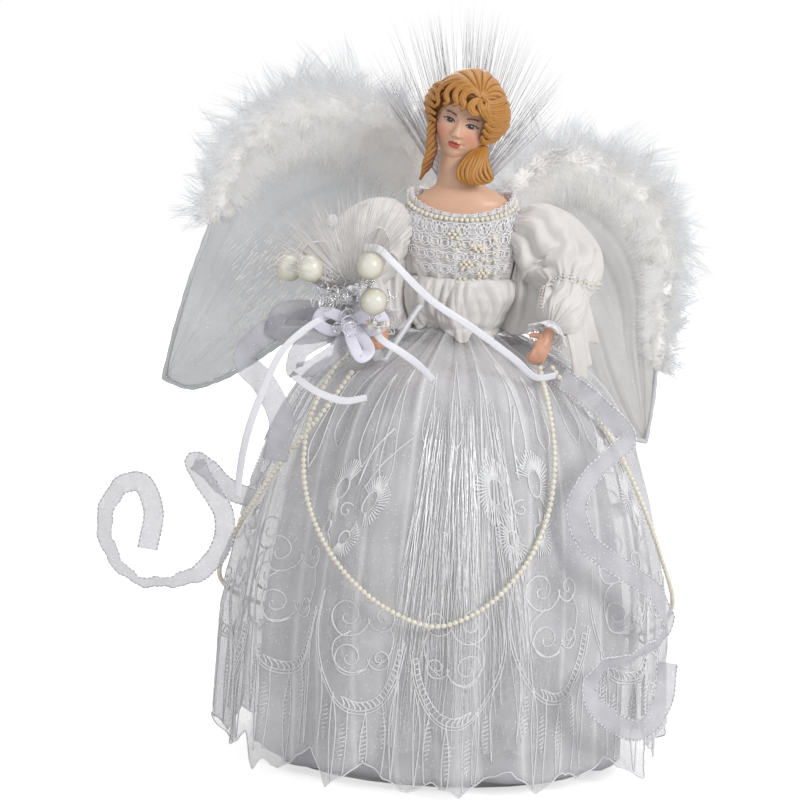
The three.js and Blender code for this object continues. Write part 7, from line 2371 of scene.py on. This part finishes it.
class TOPPER_OT_cords(Step, bpy.types.Operator):
    """Make the pearl garlands and the narrow satin ribbons"""
    bl_idname = "topper.cords"
    bl_label = "Garlands and Satin Ribbons"
    makes = (make_cords,)


class TOPPER_OT_gown(Step, bpy.types.Operator):
    """Make the skirts, their embroidery and the sash"""
    bl_idname = "topper.gown"
    bl_label = "Gown"
    makes = (make_gown, make_tinsel_lines, make_embroidery, make_waist, make_peplum)


class TOPPER_OT_bodice(Step, bpy.types.Operator):
    """Make the bodice, its lace and the neckline"""
    bl_idname = "topper.bodice"
    bl_label = "Bodice"
    makes = (make_bodice, make_neckline)


class TOPPER_OT_sleeves(Step, bpy.types.Operator):
    """Make the sleeves, flounces and cuffs"""
    bl_idname = "topper.sleeves"
    bl_label = "Sleeves"
    makes = (make_sleeves, make_sleeve_trim)


class TOPPER_OT_hands(Step, bpy.types.Operator):
    """Make the two hands"""
    bl_idname = "topper.hands"
    bl_label = "Hands"
    makes = (make_hands,)


class TOPPER_OT_head(Step, bpy.types.Operator):
    """Make the head, the neck and the hair"""
    bl_idname = "topper.head"
    bl_label = "Head and Hair"
    makes = (make_head, make_neck, make_hair, make_ringlets)


class TOPPER_OT_wings(Step, bpy.types.Operator):
    """Make the wires, the cloth and the down of both wings"""
    bl_idname = "topper.wings"
    bl_label = "Wings"
    makes = (make_wings,)


class TOPPER_OT_halo(Step, bpy.types.Operator):
    """Make the fan of fibres behind the head"""
    bl_idname = "topper.halo"
    bl_label = "Halo"
    makes = (make_halo,)


class TOPPER_OT_bouquet(Step, bpy.types.Operator):
    """Make the bouquet with its pearls, petals, curls and knot"""
    bl_idname = "topper.bouquet"
    bl_label = "Bouquet"
    makes = (make_spray, make_petals, make_pearls, make_curls, make_knot)


class TOPPER_OT_ribbons(Step, bpy.types.Operator):
    """Make the wired ribbons and the sheer bow"""
    bl_idname = "topper.ribbons"
    bl_label = "Wide Ribbons"
    makes = (make_wired_ribbons, make_bow)


OPERATORS = (TOPPER_OT_stage, TOPPER_OT_finishes, TOPPER_OT_cords, TOPPER_OT_gown, TOPPER_OT_bodice,
             TOPPER_OT_sleeves, TOPPER_OT_hands, TOPPER_OT_head, TOPPER_OT_wings, TOPPER_OT_halo,
             TOPPER_OT_bouquet, TOPPER_OT_ribbons)


class TOPPER_PT_panel(bpy.types.Panel):
    """Settings and steps of the topper"""
    bl_idname = "TOPPER_PT_panel"
    bl_label = "Angel Tree Topper"
    bl_space_type = "VIEW_3D"
    bl_region_type = "UI"
    bl_category = "Topper"

    def draw(self, context):
        column = self.layout.column(align=True)
        for key in TopperSettings.__annotations__:
            column.prop(context.scene.topper, key)
        for operator in OPERATORS:
            column.operator(operator.bl_idname)


CLASSES = (TopperSettings, *OPERATORS, TOPPER_PT_panel)


def register():
    for cls in CLASSES:
        bpy.utils.register_class(cls)
    bpy.types.Scene.topper = bpy.props.PointerProperty(type=TopperSettings)


def unregister():
    del bpy.types.Scene.topper
    for cls in reversed(CLASSES):
        bpy.utils.unregister_class(cls)


def main():
    register()
    for operator in OPERATORS:
        group, step = operator.bl_idname.split(".")
        getattr(getattr(bpy.ops, group), step)()


if __name__ == "__main__":
    main()
